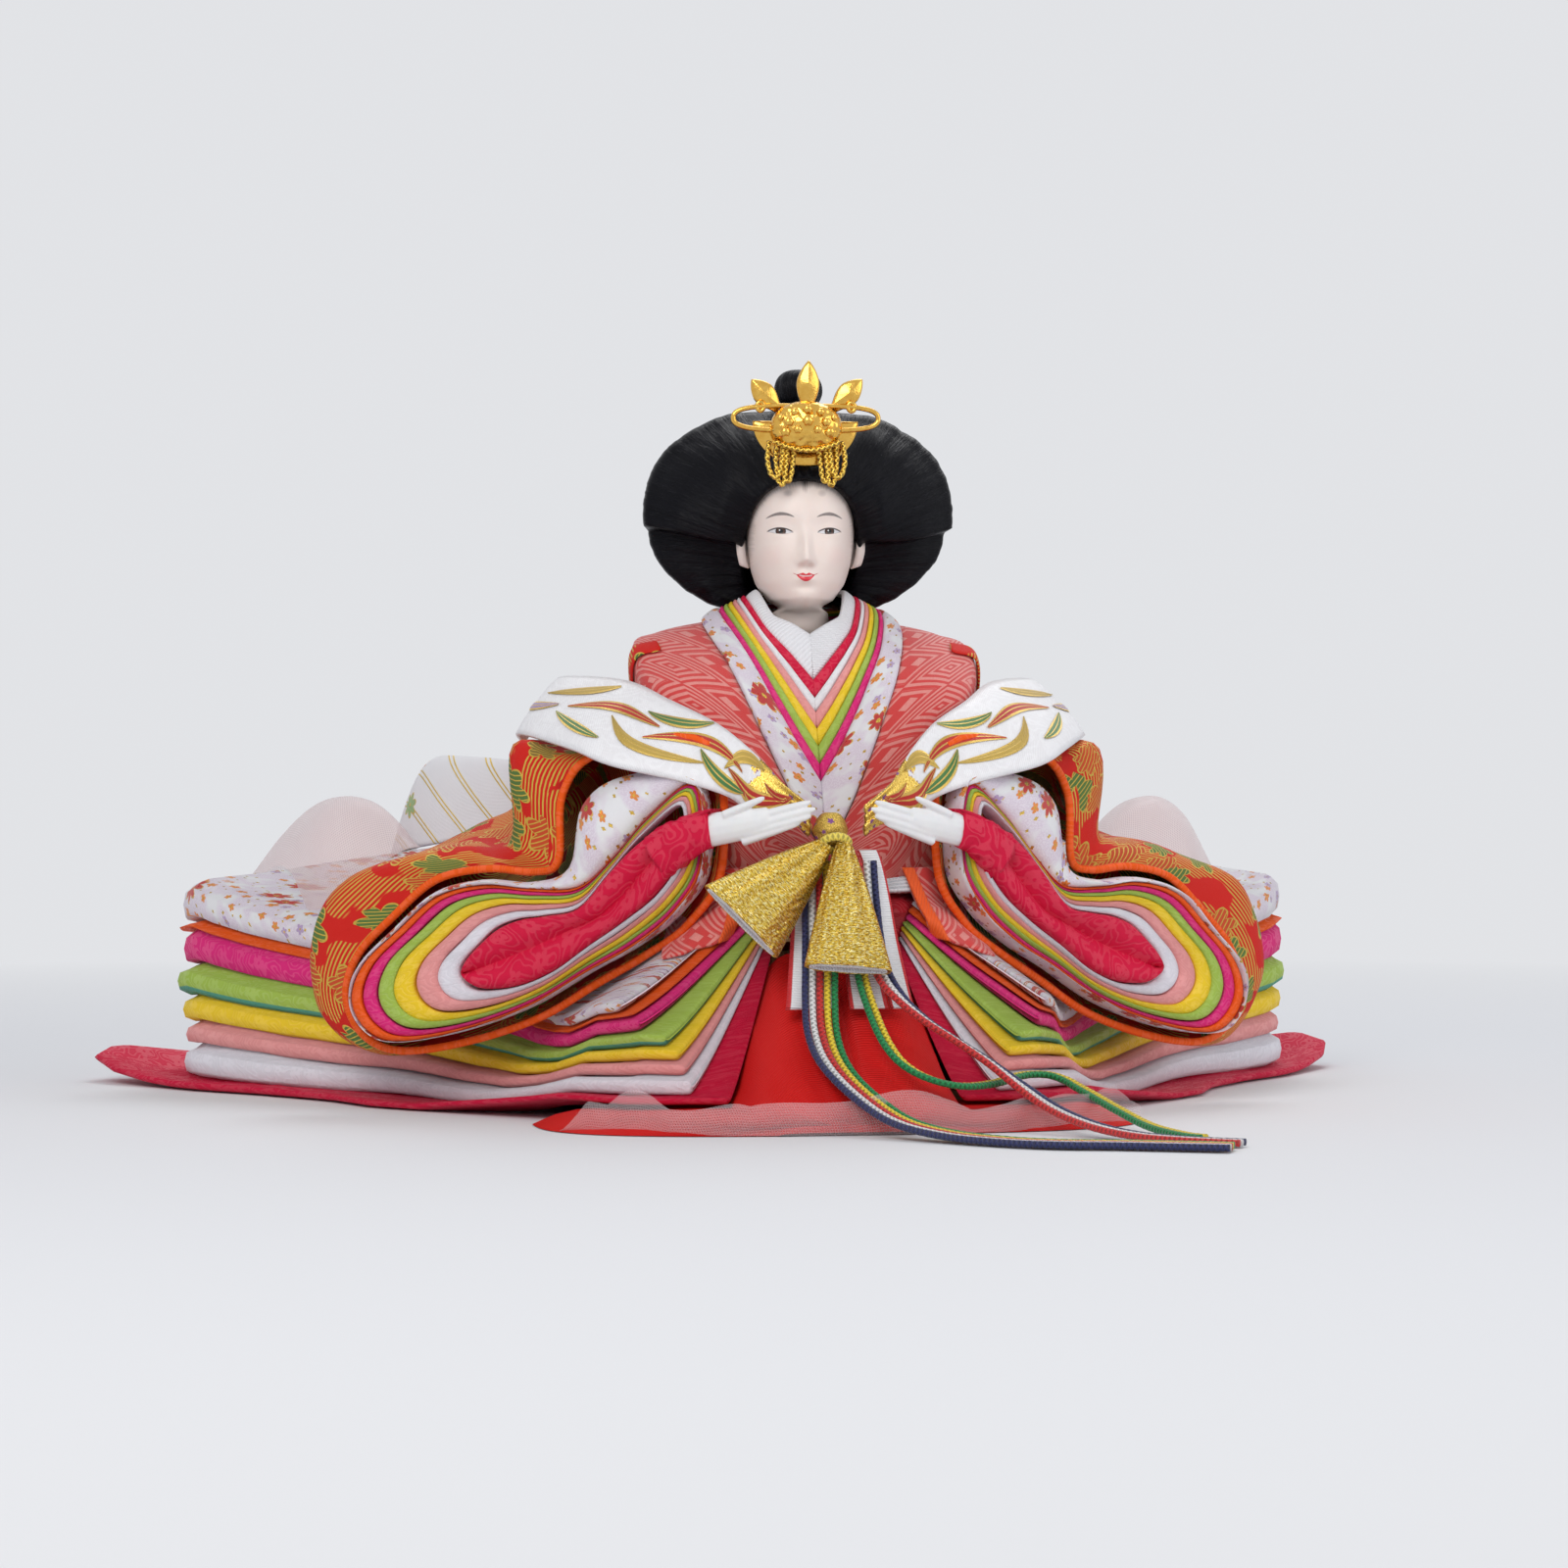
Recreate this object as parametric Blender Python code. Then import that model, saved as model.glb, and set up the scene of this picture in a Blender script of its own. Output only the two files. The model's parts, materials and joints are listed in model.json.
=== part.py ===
"""Seated court lady doll in layered silk robes, built as separate solids in metres, +Z up."""
import math

import bmesh
import bpy
from mathutils import Vector
from mathutils.bvhtree import BVHTree

# Clearances and cloth thicknesses
SEAT_GAP = 0.0003
CLOTH_GAP = 0.00035
DRAPE_GAP = 0.0009
HEM_GAP = 0.0016
CLOTH = 0.0008
WEB = 0.0007

# Robe skirts, half widths and depths from the neck axis
HEM_TIP_X = 0.148
FRONT_CORNER_Y = 0.0605
TRAIN_BACK_Y = 0.114
WAIST_X = 0.030
WAIST_FRONT_Y = 0.0455
WAIST_BACK_Y = 0.029
WAIST_FRONT_Z = 0.0415
WAIST_BACK_Z = 0.060
WAIST_PITCH = 0.0012
TRAIN_PITCH = 0.0018
FLOOR_LIFT = 0.0004
CORNER_LIFT = 0.0056
TIP_LIFT = 0.0064

# Torso, jacket and collar
BASE_WIDTH = 0.090
BASE_DEPTH = 0.060
BASE_HEIGHT = 0.008
CORE_TOP_Z = 0.112
JACKET_HALF = 0.0425
JACKET_FRONT_Y = 0.028
JACKET_BACK_Y = 0.024
JACKET_HEM_Z = 0.054
COLLAR_TOP_Z = 0.1165
COLLAR_LOW_Z = 0.062
COLLAR_RISE = 0.0014
STICK_RADIUS = 0.003
STICK_BOTTOM_Z = 0.058
STICK_TOP_Z = 0.137

# Head, hair and crown
FACE_HALF = 0.0136
HEAD_HALF_DEPTH = 0.0165
CHIN_Z = 0.1238
CROWN_OF_HEAD_Z = 0.163
NECK_BOTTOM_Z = 0.1155
HEAD_TURN = math.radians(5)
HAIR_HALF = 0.0378
HAIR_TOP_Z = 0.1735
HAIR_BOTTOM_Z = 0.124
HAIR_FRONT_Y = 0.0155
HAIR_BACK_Y = 0.024
KNOT_RADIUS = 0.0062
TAIL_WIDTH = 0.016
TAIL_THICK = 0.0045
TAIL_REACH = 0.098
BLADE_HEIGHT = 0.0115
BLADE_WIDTH = 0.0056
BLADE_THICK = 0.0009
BLADE_FOOT = 0.0012
BLADE_LIP = 0.0001
DOME_HALF = 0.0088
DOME_HEIGHT = 0.0125
DOME_DEPTH = 0.005
COMB_HALF = 0.013
COMB_HEIGHT = 0.0112
COMB_THICK = 0.0008
PIN_HALF = 0.0178
PIN_HEIGHT = 0.006
PIN_RADIUS = 0.0006
CORD_LOOP = 0.0095
CORD_LOOP_RADIUS = 0.0008

# Sleeves: the mouth lies in an upright plane from the wrist to the outer end
MOUTH_X = 0.028
MOUTH_Y = 0.045
MOUTH_ANGLE = math.radians(156.4)
MOUTH_WIDTH = 0.090
MOUTH_HEIGHT = 0.064
MOUTH_FOOT_Z = 0.0178
INNER_DEPTH = 0.0045
LIP_STEP = 0.0004
SEAM_DEPTH = 0.0012
CUFF_REACH = 0.0042

# Hands, sash, bow and bands
HAND_LENGTH = 0.0275
HAND_HEIGHT = 0.0092
HAND_THICK = 0.0048
BOW_LENGTH = 0.032
BOW_THICK = 0.0008
KNOT_X = 0.002
KNOT_Y = 0.052
KNOT_Z = 0.069
KNOT_HALF = 0.0042
BAND_THICK = 0.0012
STRAP_THICK = 0.0009
STRAP_SPREAD = 0.0343
SASH_THICK = 0.001

# Hakama trousers spread in front
HAKAMA_HALF = 0.072
HAKAMA_FRONT_Y = 0.087
HAKAMA_WAIST_Z = 0.041
HAKAMA_EDGE_Z = 0.0045
HAKAMA_MOUND = 0.027

# White train and sheer wings at the back
TRAIN_TOP_Z = 0.0855
TRAIN_HALF = 0.096
TRAIN_THICK = 0.0011
WING_THICK = 0.0006
WING_PEAK_Z = 0.077

# Five-colour cords
CORD_RADIUS = 0.0008

SIDES = (("left", -1.0), ("right", 1.0))


def mix(a, b, share):
    return a + (b - a) * share


def mix_points(a, b, share):
    return tuple(mix(p, q, share) for p, q in zip(a, b))


def ease(share):
    return share * share * (3.0 - 2.0 * share)


def lookup(shares, share):
    """Value of a table of (place share, value) rows at a place, joined smoothly."""
    if share <= shares[0][0]:
        return shares[0][1]
    for low, high in zip(shares, shares[1:]):
        if share <= high[0]:
            return mix(low[1], high[1], (share - low[0]) / (high[0] - low[0]))
    return shares[-1][1]


def smooth_path(points, count, closed=False):
    """Points read evenly from a Catmull-Rom curve through the given points."""
    total = len(points)
    spans = total if closed else total - 1
    result = []
    steps = count if closed else count - 1
    for index in range(count):
        place = index / steps * spans
        span = min(int(place), spans - 1)
        t = place - span
        picks = []
        for offset in (-1, 0, 1, 2):
            at = span + offset
            at = at % total if closed else min(max(at, 0), total - 1)
            picks.append(Vector(points[at]))
        a, b, c, d = picks
        bend = 2.0 * b + (c - a) * t + (2.0 * a - 5.0 * b + 4.0 * c - d) * t * t
        result.append((bend + (3.0 * b - a - 3.0 * c + d) * t * t * t) * 0.5)
    return result


def even_path(points, count):
    """A smooth curve through the points, then re-read at even distances."""
    fine = smooth_path(points, 40 * len(points))
    reach = [0.0]
    for a, b in zip(fine, fine[1:]):
        reach.append(reach[-1] + (b - a).length)
    result = []
    at = 0
    for index in range(count):
        goal = reach[-1] * index / (count - 1)
        while at < len(fine) - 2 and reach[at + 1] < goal:
            at += 1
        span = reach[at + 1] - reach[at]
        result.append(fine[at].lerp(fine[at + 1], (goal - reach[at]) / span if span else 0.0))
    return result


# Scene, materials and object helpers

def clear_scene():
    for old in list(bpy.data.objects):
        bpy.data.objects.remove(old, do_unlink=True)


def material(name, colour, roughness=0.6, metallic=0.0):
    made = bpy.data.materials.get(name)
    if made is None:
        made = bpy.data.materials.new(name)
        made.use_nodes = True
        shader = made.node_tree.nodes["Principled BSDF"]
        shader.inputs["Base Color"].default_value = (*colour, 1.0)
        shader.inputs["Roughness"].default_value = roughness
        shader.inputs["Metallic"].default_value = metallic
    return made


def add_empty(name, place, parent=None, turn=0.0):
    empty = bpy.data.objects.new(name, None)
    empty.empty_display_size = STICK_RADIUS
    empty.location = place
    empty.rotation_euler = (0.0, 0.0, turn)
    empty.parent = parent
    bpy.context.collection.objects.link(empty)
    return empty


def add_mesh(name, bm, look, parent, flat=False):
    bmesh.ops.remove_doubles(bm, verts=bm.verts, dist=1e-6)
    bmesh.ops.recalc_face_normals(bm, faces=bm.faces)
    mesh = bpy.data.meshes.new(name)
    bm.to_mesh(mesh)
    bm.free()
    mesh.materials.append(look)
    if not flat:
        mesh.shade_smooth()
        mesh.set_sharp_from_angle(angle=math.radians(40))
    made = bpy.data.objects.new(name, mesh)
    made.parent = parent
    bpy.context.collection.objects.link(made)
    return made


def add_cords(name, routes, radius, look, parent, resolution=2):
    """Round cords through smooth routes, one spline each, with filled ends."""
    curve = bpy.data.curves.new(name, "CURVE")
    curve.dimensions = "3D"
    curve.bevel_depth = radius
    curve.bevel_resolution = resolution
    curve.use_fill_caps = True
    for route in routes:
        spline = curve.splines.new("POLY")
        spline.points.add(len(route) - 1)
        for point, place in zip(spline.points, route):
            point.co = (*place, 1.0)
    curve.materials.append(look)
    made = bpy.data.objects.new(name, curve)
    made.parent = parent
    bpy.context.collection.objects.link(made)
    return made


def loft(bm, rings, cap_start=True, cap_end=True, loop_rows=False):
    """Quads between closed rings of equal length; caps are single faces, or rows loop round."""
    rows = [[bm.verts.new(point) for point in ring] for ring in rings]
    count = len(rows[0])
    pairs = list(zip(rows, rows[1:]))
    if loop_rows:
        pairs.append((rows[-1], rows[0]))
    for low, high in pairs:
        for index in range(count):
            after = (index + 1) % count
            bm.faces.new((low[index], low[after], high[after], high[index]))
    if not loop_rows and cap_start:
        bm.faces.new(rows[0][::-1])
    if not loop_rows and cap_end:
        bm.faces.new(rows[-1])
    return bm


def slab(bm, top, bottom, left_out=()):
    """A closed solid between two grids of equal size, without the cells that are left out."""
    upper, lower = [[[bm.verts.new(point) for point in row] for row in grid] for grid in (top, bottom)]
    cells = set()
    for row in range(len(top) - 1):
        cells.update((row, at) for at in range(len(top[0]) - 1) if (row, at) not in left_out)
    for row, at in cells:
        for grid in (upper, lower):
            bm.faces.new((grid[row][at], grid[row][at + 1], grid[row + 1][at + 1], grid[row + 1][at]))
        borders = (
            ((row - 1, at), (row, at), (row, at + 1)),
            ((row + 1, at), (row + 1, at), (row + 1, at + 1)),
            ((row, at - 1), (row, at), (row + 1, at)),
            ((row, at + 1), (row, at + 1), (row + 1, at + 1)),
        )
        for beside, (row_a, at_a), (row_b, at_b) in borders:
            if beside not in cells:
                over = (upper[row_a][at_a], upper[row_b][at_b])
                bm.faces.new((*over, lower[row_b][at_b], lower[row_a][at_a]))
    return bm


def sheet_grids(grid, thickness):
    """Two grids, half a thickness to each side of a sheet's middle surface."""
    sides = ([], [])
    rows = len(grid)
    columns = len(grid[0])
    for row in range(rows):
        lines = ([], [])
        for at in range(columns):
            across = Vector(grid[row][min(at + 1, columns - 1)]) - Vector(grid[row][max(at - 1, 0)])
            along = Vector(grid[min(row + 1, rows - 1)][at]) - Vector(grid[max(row - 1, 0)][at])
            normal = across.cross(along).normalized() * thickness / 2.0
            lines[0].append(Vector(grid[row][at]) + normal)
            lines[1].append(Vector(grid[row][at]) - normal)
        sides[0].append(lines[0])
        sides[1].append(lines[1])
    return sides


def add_sheet(name, grid, thickness, look, parent):
    """A cloth sheet of even thickness."""
    return add_mesh(name, slab(bmesh.new(), *sheet_grids(grid, thickness)), look, parent)


def tree_of(made):
    """A search tree of a finished solid in the body frame, for cloth that rests on it."""
    mesh = made.data
    triangles = []
    for face in mesh.polygons:
        corners = list(face.vertices)
        for index in range(1, len(corners) - 1):
            triangles.append((corners[0], corners[index], corners[index + 1]))
    return BVHTree.FromPolygons([v.co.copy() for v in mesh.vertices], triangles)


def top_under(trees, x, y, floor=0.0):
    """Highest surface of the given solids straight below a point in plan."""
    best = floor
    for tree in trees:
        hit = tree.ray_cast(Vector((x, y, HAIR_TOP_Z)), Vector((0.0, 0.0, -1.0)))
        if hit[0] is not None:
            best = max(best, hit[0].z)
    return best


def front_of(trees, x, z, deepest):
    """Foremost surface of the given solids at a point seen from the front."""
    best = deepest
    for tree in trees:
        hit = tree.ray_cast(Vector((x, -HEM_TIP_X, z)), Vector((0.0, 1.0, 0.0)))
        if hit[0] is not None:
            best = min(best, hit[0].y)
    return best


def ring_normals(loops):
    """Outward-side normals of a tube given as closed loops, one row of normals per loop."""
    result = []
    count = len(loops[0])
    for row, loop in enumerate(loops):
        line = []
        for at in range(count):
            along = Vector(loop[(at + 1) % count]) - Vector(loop[at - 1])
            ahead = Vector(loops[min(row + 1, len(loops) - 1)][at])
            across = ahead - Vector(loops[max(row - 1, 0)][at])
            line.append(along.cross(across).normalized())
        result.append(line)
    return result


def shifted(loops, distance):
    return [[Vector(p) + n * distance for p, n in zip(loop, normals)]
            for loop, normals in zip(loops, ring_normals(loops))]


def add_tube_sheet(name, loops, thickness, look, parent):
    """A cloth tube with open ends, given by closed loops and thickened to its inner side."""
    bm = loft(bmesh.new(), list(loops) + shifted(loops, -thickness)[::-1], loop_rows=True)
    return add_mesh(name, bm, look, parent)


# Colours

CRIMSON = (0.62, 0.015, 0.055)
IVORY = (0.80, 0.76, 0.78)
ROSE = (0.83, 0.36, 0.36)
YELLOW = (0.84, 0.62, 0.06)
GREEN = (0.38, 0.50, 0.12)
MAGENTA = (0.68, 0.045, 0.19)
ORANGE = (0.79, 0.10, 0.012)
PEARL = (0.80, 0.68, 0.74)
CORAL = (0.76, 0.12, 0.11)
SCARLET = (0.58, 0.004, 0.008)
GOLD = (0.72, 0.50, 0.10)
BLACK = (0.006, 0.006, 0.009)
SKIN = (0.86, 0.76, 0.71)
WHITE = (0.86, 0.86, 0.88)

# Robe stack: rows run from the front edge round to the middle of the back.
# Shares of the waist (x, front or back y), of the hem (x, front or back y) and the reach of the
# lowest robe past the hem of the others.
STATION_SHARES = (
    (0.483, -1.000, 0.189, -1.025, 1.00),
    (0.533, -0.990, 0.247, -1.000, 1.03),
    (0.567, -0.978, 0.284, -0.967, 1.08),
    (0.600, -0.956, 0.324, -0.909, 1.12),
    (0.750, -0.813, 0.380, -0.610, 1.28),
    (0.883, -0.593, 0.453, -0.200, 1.72),
    (0.967, -0.308, 0.588, 0.132, 1.46),
    (1.000, 0.000, 0.791, 0.395, 1.14),
    (0.967, 0.380, 1.000, 0.675, 1.03),
    (0.833, 0.655, 0.939, 0.886, 1.24),
    (0.467, 0.930, 0.540, 0.982, 1.10),
    (0.000, 1.000, 0.000, 1.000, 1.08),
)
HALF_ROUND = len(STATION_SHARES) - 1
ROW_SHARES = (0.0, 0.3, 0.58, 0.82, 0.94, 1.0)
ROW_FILL_SHARES = (1.0, 1.0, 1.0, 1.0, 0.86, 0.34)
EDGE_FILL_SHARE = 0.5
WAIST_RISE_SHARES = ((3, 0.0), (5, 0.16), (6, 0.38), (7, 0.62), (8, 0.85), (9, 1.0))
LIFT_SHARES = ((0, 1.0), (4, 0.92), (5, 0.0))
SLOPE_SHARES = ((3, 1.15), (5, 1.0), (7, 0.85))
HEM_PLACES = (3, 4.6, 8, 11)
# Places that every robe has a line of points at, and the way from its front edge to full thickness
LINE_PLACES = (1.0, 2.0, 3.0, 3.25, 3.5, 3.75) + tuple(range(4, HALF_ROUND))
EDGE_STEP = 0.25

# Name, colour, starting station and hem thickness at the corner, middle, tip and back
ROBES = (
    ("robe_crimson", CRIMSON, 0.0, (0.0018, 0.0016, 0.0025, 0.0025)),
    ("robe_white", IVORY, 1.0, (0.0042, 0.0034, 0.0080, 0.0060)),
    ("robe_rose", ROSE, 1.25, (0.0032, 0.0024, 0.0058, 0.0050)),
    ("robe_yellow", YELLOW, 1.5, (0.0030, 0.0024, 0.0068, 0.0055)),
    ("robe_green", GREEN, 2.0, (0.0032, 0.0026, 0.0074, 0.0055)),
    ("robe_magenta", MAGENTA, 3.0, (0.0034, 0.0032, 0.0095, 0.0070)),
    ("robe_orange", ORANGE, 3.25, (0.0008, 0.0008, 0.0010, 0.0010)),
    ("robe_brocade", PEARL, 3.5, (0.0036, 0.0030, 0.0105, 0.0080)),
)


def station(place, mirror):
    """Waist point, hem point and reach at a place between stations, in plan."""
    low = min(int(place), HALF_ROUND - 1)
    values = [mix(a, b, place - low) for a, b in zip(STATION_SHARES[low], STATION_SHARES[low + 1])]
    waist_y = values[1] * (WAIST_FRONT_Y if values[1] < 0.0 else WAIST_BACK_Y)
    hem_y = values[3] * (FRONT_CORNER_Y if values[3] < 0.0 else TRAIN_BACK_Y)
    waist = Vector((mirror * values[0] * WAIST_X, waist_y, 0.0))
    hem = Vector((mirror * values[2] * HEM_TIP_X, hem_y, 0.0))
    return waist, hem, values[4]


def places_from(start):
    """Places round the whole stack from one front edge to the other, with their side."""
    half = [start, start + EDGE_STEP]
    half += [place for place in LINE_PLACES if place > start + EDGE_STEP]
    left = [(place, -1.0) for place in half]
    right = [(place, 1.0) for place in half[::-1]]
    return left + [(HALF_ROUND, -1.0)] + right


def hem_levels(layer, place):
    """Underside and top of one robe at the hem, above all robes below it."""
    level = FLOOR_LIFT + (CORNER_LIFT - FLOOR_LIFT) * lookup(LIFT_SHARES, place)
    for index, robe in enumerate(ROBES):
        thick = lookup(list(zip(HEM_PLACES, robe[3])), place)
        if index == layer:
            return level, level + thick
        level += thick + CLOTH_GAP
    return level, level


def waist_levels(layer, place):
    rise = lookup(WAIST_RISE_SHARES, place)
    pitch = mix(WAIST_PITCH, TRAIN_PITCH, rise)
    level = mix(WAIST_FRONT_Z, WAIST_BACK_Z, rise) + pitch * layer
    return level, level + pitch - CLOTH_GAP


def robe_row(layer, place, mirror, fill):
    """One line of a robe from waist to hem: points of its top and of its underside."""
    waist, hem, reach = station(place, mirror)
    waist_low, waist_high = waist_levels(layer, place)
    hem_low, hem_high = hem_levels(layer, place)
    slope = lookup(SLOPE_SHARES, place)
    upper = []
    lower = []
    shares = list(zip(ROW_SHARES, ROW_FILL_SHARES))
    if layer == 0:
        shares = [(share, 1.0) for share in ROW_SHARES if share != ROW_SHARES[-2]]
        shares.append((reach + 0.02, ROW_FILL_SHARES[-1]))
    for share, share_fill in shares:
        drop = 1.0 - max(1.0 - share, 0.0) ** slope
        low = mix(waist_low, hem_low, drop)
        high = mix(waist_high, hem_high, drop)
        if share > 1.0:
            tip = max(0.0, 1.0 - abs(place - (HALF_ROUND - 2)))
            low += tip * TIP_LIFT
            high += tip * TIP_LIFT
        middle = (low + high) / 2.0
        half = (high - low) / 2.0 * share_fill * fill
        point = waist.lerp(hem, share)
        upper.append(Vector((point.x, point.y, middle + half)))
        lower.append(Vector((point.x, point.y, middle - half)))
    return upper, lower


def add_robes(parent):
    robes = []
    for layer, (name, colour, start, _) in enumerate(ROBES):
        upper = []
        lower = []
        places = places_from(start)
        for at, (place, mirror) in enumerate(places):
            fill = EDGE_FILL_SHARE if at in (0, len(places) - 1) else 1.0
            top, bottom = robe_row(layer, place, mirror, fill)
            upper.append(top)
            lower.append(bottom)
        bm = slab(bmesh.new(), upper, lower)
        robes.append(add_mesh(name, bm, material(name, colour, 0.55), parent))
    return robes


# Base board and straw torso

TORSO_SHARES = (
    # height at front and back, then shares of waist width, front depth and back depth
    (BASE_HEIGHT + SEAT_GAP, BASE_HEIGHT + SEAT_GAP, 0.80, 0.60, 0.88),
    (HAKAMA_WAIST_Z + CLOTH, HAKAMA_WAIST_Z + CLOTH, 0.90, 0.64, 0.92),
    (HAKAMA_WAIST_Z + 2.0 * CLOTH, WAIST_BACK_Z, 0.975, 0.975, 0.975),
    (WAIST_FRONT_Z + 7.4 * WAIST_PITCH, WAIST_BACK_Z + 8.0 * TRAIN_PITCH, 0.975, 0.965, 0.975),
)
CHEST_SHARES = (
    # shares of the rise from the waist to the neck at front and back, width, front and back
    (0.065, 0.10, 1.06, 0.76, 0.84),
    (0.24, 0.24, 1.16, 0.685, 0.80),
    (0.45, 0.40, 1.22, 0.565, 0.77),
    (0.68, 0.60, 1.24, 0.43, 0.75),
    (0.85, 0.80, 1.20, 0.335, 0.68),
    (0.94, 0.93, 1.06, 0.265, 0.58),
    (0.985, 0.985, 0.76, 0.20, 0.46),
    (1.0, 1.0, 0.40, 0.17, 0.34),
)


def waist_loop():
    """The inner edge of the robes in plan, closed across the front."""
    left = [station(place, -1.0)[0] for place in range(HALF_ROUND + 1)]
    right = [station(place, 1.0)[0] for place in range(HALF_ROUND - 1, -1, -1)]
    return left + right


def torso_ring(front_z, back_z, wide, front, back):
    ring = []
    for point in waist_loop():
        depth = (point.y + WAIST_FRONT_Y) / (WAIST_FRONT_Y + WAIST_BACK_Y)
        y = point.y * (front if point.y < 0.0 else back)
        ring.append(Vector((point.x * wide, y, mix(front_z, back_z, ease(depth)))))
    return ring


def round_ring(radius, z, count, middle=(0.0, 0.0)):
    """A level ring that starts and runs like the waist loop does."""
    ring = []
    for at in range(count):
        angle = -math.pi / 2.0 - math.tau * (at + 0.5) / count
        x = middle[0] + radius * math.cos(angle)
        ring.append(Vector((x, middle[1] + radius * math.sin(angle), z)))
    return ring


def add_torso(parent):
    board = bmesh.new()
    corners = []
    for x, y in ((-1, -1), (1, -1), (1, 1), (-1, 1)):
        corners.append(Vector((x * BASE_WIDTH / 2.0, y * BASE_DEPTH / 2.0, 0.0)))
    rise = Vector((0.0, 0.0, BASE_HEIGHT))
    loft(board, [corners, [corner + rise for corner in corners]])
    add_mesh("base_board", board, material("base_wood", (0.45, 0.30, 0.17), 0.7), parent, flat=True)
    low = TORSO_SHARES[-1]
    rings = [torso_ring(*row) for row in TORSO_SHARES]
    for row in CHEST_SHARES:
        front_z = mix(low[0], CORE_TOP_Z, row[0])
        rings.append(torso_ring(front_z, mix(low[1], CORE_TOP_Z, row[1]), *row[2:]))
    count = len(rings[0])
    bore = STICK_RADIUS + SEAT_GAP
    rings.append(round_ring(bore, CORE_TOP_Z, count))
    rings.append(round_ring(bore, STICK_BOTTOM_Z - SEAT_GAP, count))
    bm = loft(bmesh.new(), rings)
    return add_mesh("straw_torso", bm, material("straw", (0.55, 0.41, 0.20), 0.9), parent)


# Hakama trousers

MOUND_SHARES = ((0.0, 1.0), (0.157, 0.8), (0.35, 0.62), (0.54, 0.45), (0.735, 0.3), (0.9, 0.16), (1.0, 0.05))
HAKAMA_ROW_SHARES = (0.985, 0.93, 0.82, 0.66, 0.48, 0.28, 0.1, 0.0)
HAKAMA_COLUMN_SHARES = (0.0, 0.11, 0.22, 0.31, 0.37, 0.46, 0.64, 0.84, 1.0)
HAKAMA_EDGE_SHARES = ((0.5, 1.0), (0.85, 0.8), (1.0, 0.28))


def hakama_top(x, front_share, half):
    mound = HAKAMA_WAIST_Z * lookup(MOUND_SHARES, front_share)
    mound *= max(0.0, 1.0 - (abs(x) / HAKAMA_MOUND) ** 4)
    edge = HAKAMA_EDGE_Z * lookup(HAKAMA_EDGE_SHARES, abs(x) / half)
    edge *= lookup(((0.8, 1.0), (1.0, 0.35)), front_share)
    return max(mound, edge)


def add_hakama(parent):
    """The trousers rise in the middle, behind them stands the torso on its board."""
    upper = []
    lower = []
    torso_front = max(row[3] for row in TORSO_SHARES[:2]) * WAIST_FRONT_Y + WEB
    rear = max(BASE_DEPTH / 2.0, torso_front) + SEAT_GAP
    columns = [-share for share in HAKAMA_COLUMN_SHARES[:0:-1]] + list(HAKAMA_COLUMN_SHARES)
    rows = [(share, mix(WAIST_FRONT_Y, HAKAMA_FRONT_Y, share)) for share in HAKAMA_ROW_SHARES]
    rows.append((0.0, rear))
    for share, depth in rows:
        half = HAKAMA_HALF * (1.0 - share ** 3) ** (1.0 / 3.0)
        top = []
        bottom = []
        for column in columns:
            x = column * half
            z = hakama_top(x, share, half)
            top.append(Vector((x, -depth, z)))
            bottom.append(Vector((x, -depth, 0.0)))
        upper.append(top)
        lower.append(bottom)
    bm = slab(bmesh.new(), upper, lower)
    return add_mesh("hakama", bm, material("hakama_silk", SCARLET, 0.5), parent)


# Collars and jacket: closed loops given by seven points, front to back, on one side

NECKLINE_SHARES = (
    # shares of jacket half width, of front or back depth, and of the rise from collar low to top
    (0.000, -0.46, 1.000), (0.056, -0.45, 1.028), (0.129, -0.41, 1.060), (0.202, -0.27, 1.083),
    (0.240, 0.0, 1.097), (0.176, 0.33, 1.092), (0.000, 0.46, 1.083),
)
COLLAR_EDGE_SHARES = (
    (0.000, -1.25, 0.000), (0.176, -1.18, 0.257), (0.341, -1.02, 0.550), (0.494, -0.75, 0.844),
    (0.576, 0.0, 1.055), (0.400, 0.625, 1.055), (0.000, 0.81, 1.018),
)
RIDGE_SHARES = (
    (0.000, -1.34, -0.064), (0.306, -1.27, 0.183), (0.588, -1.07, 0.550), (0.776, -0.75, 0.807),
    (0.847, 0.0, 1.009), (0.612, 0.75, 1.009), (0.000, 0.96, 0.972),
)
SHOULDER_SHARES = (
    (0.000, -1.41, -0.110), (0.400, -1.29, 0.073), (0.760, -1.02, 0.422), (0.965, -0.64, 0.716),
    (1.000, 0.04, 0.927), (0.800, 0.79, 0.881), (0.000, 1.04, 0.826),
)
HEM_SHARES = (
    (0.000, -1.50, -0.156), (0.480, -1.38, -0.128), (0.760, -0.90, 0.0), (0.870, -0.46, 0.147),
    (0.906, 0.17, 0.294), (0.740, 0.95, 0.349), (0.000, 1.34, 0.367),
)
COLLAR_COUNT = 24
# Name, colour and the outer edge of each collar as a share of the way from neckline to jacket
COLLAR_END_SHARES = (
    ("collar_white", IVORY, 0.235), ("collar_crimson", CRIMSON, 0.290), ("collar_lilac", WHITE, 0.355),
    ("collar_rose", ROSE, 0.440), ("collar_yellow", YELLOW, 0.520), ("collar_green", GREEN, 0.600),
    ("collar_magenta", MAGENTA, 0.680), ("collar_brocade", PEARL, 0.992),
)
COLLAR_FOOT_SHARE = 0.28
COLLAR_SLOPE_SHARE = 0.72


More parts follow.
